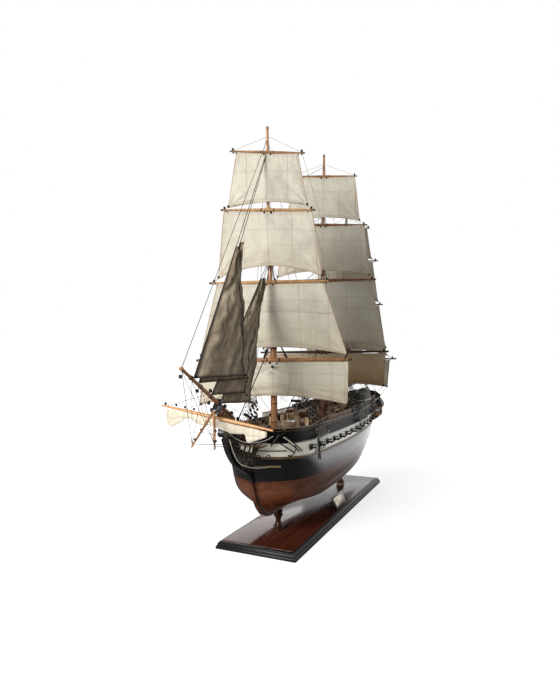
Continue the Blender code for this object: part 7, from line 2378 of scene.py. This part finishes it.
rods("yard_gear", gear_runs, tan_line, "rope", sides=5)
rods("robands", roband_runs, rope_tan, "rope", sides=4)

# Bowsprit rigging. Bobstays down to the knee, shrouds to each bow, martingales that pass over
# the strikers' tips from the end of the jib-boom, and the spritsail yard's lifts and slings.
bow_runs = []
for x, foot in ((0.3830, (0.3535, 0.0, 0.1800)), (0.3790, (0.3455, 0.0, 0.1700)),
                (0.3745, (0.3375, 0.0, 0.1625))):
    spot, foot = on_bowsprit(x), Vector(foot)
    bow_runs.append((spot + sprit_down * 0.0040, foot, STAY))
    bow_runs.append((spot + sprit_down * 0.0050, spot.lerp(foot, 0.14) + sprit_down * 0.0030, 0.0016))
for side in (1, -1):
    striker_tip = root + sprit_down * 0.0580 + PORTWARD * (side * 0.0193)
    bow_spot = Vector((0.2880, side * (half_breadth(0.2880, 0.1860) + 0.0006), 0.1860))
    for x in (0.4730, 0.4500, 0.4250):
        bow_runs.append((on_bowsprit(x, BOOM_LIFT) - UP * 0.0024, striker_tip, 0.7 * STAY))
    bow_runs.append((striker_tip, bow_spot, 0.8 * STAY))
    bow_runs.append((striker_tip.lerp(root, 0.35), bow_spot + UP * 0.0060, 0.7 * STAY))
    bow_runs.append((on_bowsprit(0.3820) + PORTWARD * (side * 0.0050),
                     bow_spot + Vector((-0.0050, side * 0.0030, 0.0020)), STAY))
    bow_runs.append((on_spritsail_yard(side * 0.93), on_bowsprit(0.4100, BOOM_LIFT), LIFT))
    bow_runs.append((on_spritsail_yard(side * 0.60), on_bowsprit(0.3950, BOOM_LIFT), THIN))
    way = (striker_tip - root).normalized()
    for part in (0.60, 0.86):
        spot = root.lerp(striker_tip, part)
        bow_runs.append((spot - way * 0.0012, spot + way * 0.0012, 0.0026))
    pulley(on_spritsail_yard(side * 0.93) + UP * 0.0040, UP, 0.0040)
rods("bowsprit_rigging", bow_runs, dark_rope, "rope", sides=6)
block_black = lacquer("block_black", (0.010, 0.009, 0.008), 0.55, 0.0, shine=0.08)
boxes("rigging_blocks", block_rows, block_black, "dark_wood", edge=0.0004)

# Rudder pendant. A chain shackled to the back of the rudder head hangs along each quarter.
# Columns: X, distance out from the hull, Z
PENDANT = ((-0.3130, 0.0025, 0.1500), (-0.3080, 0.0022, 0.1400), (-0.2980, 0.0020, 0.1320),
           (-0.2800, 0.0018, 0.1270), (-0.2560, 0.0016, 0.1245), (-0.2220, 0.0012, 0.1240))
pendant_runs = []
for side in (1, -1):
    spots = [Vector((x, side * (half_breadth(x, z) + out), z)) for x, out, z in eased(PENDANT, 6)]
    pendant_runs += strung(spots, 0.0007)
    shackle = Vector((-0.3250, side * (half_breadth(-0.3250, 0.1540) + 0.0020), 0.1540))
    pendant_runs.append((spots[0], shackle, 0.0007))
rods("rudder_pendants", pendant_runs, iron_black, "black_paint", sides=6)

# Sizes. The dressed model's box.
bpy.context.view_layer.update()
low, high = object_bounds()
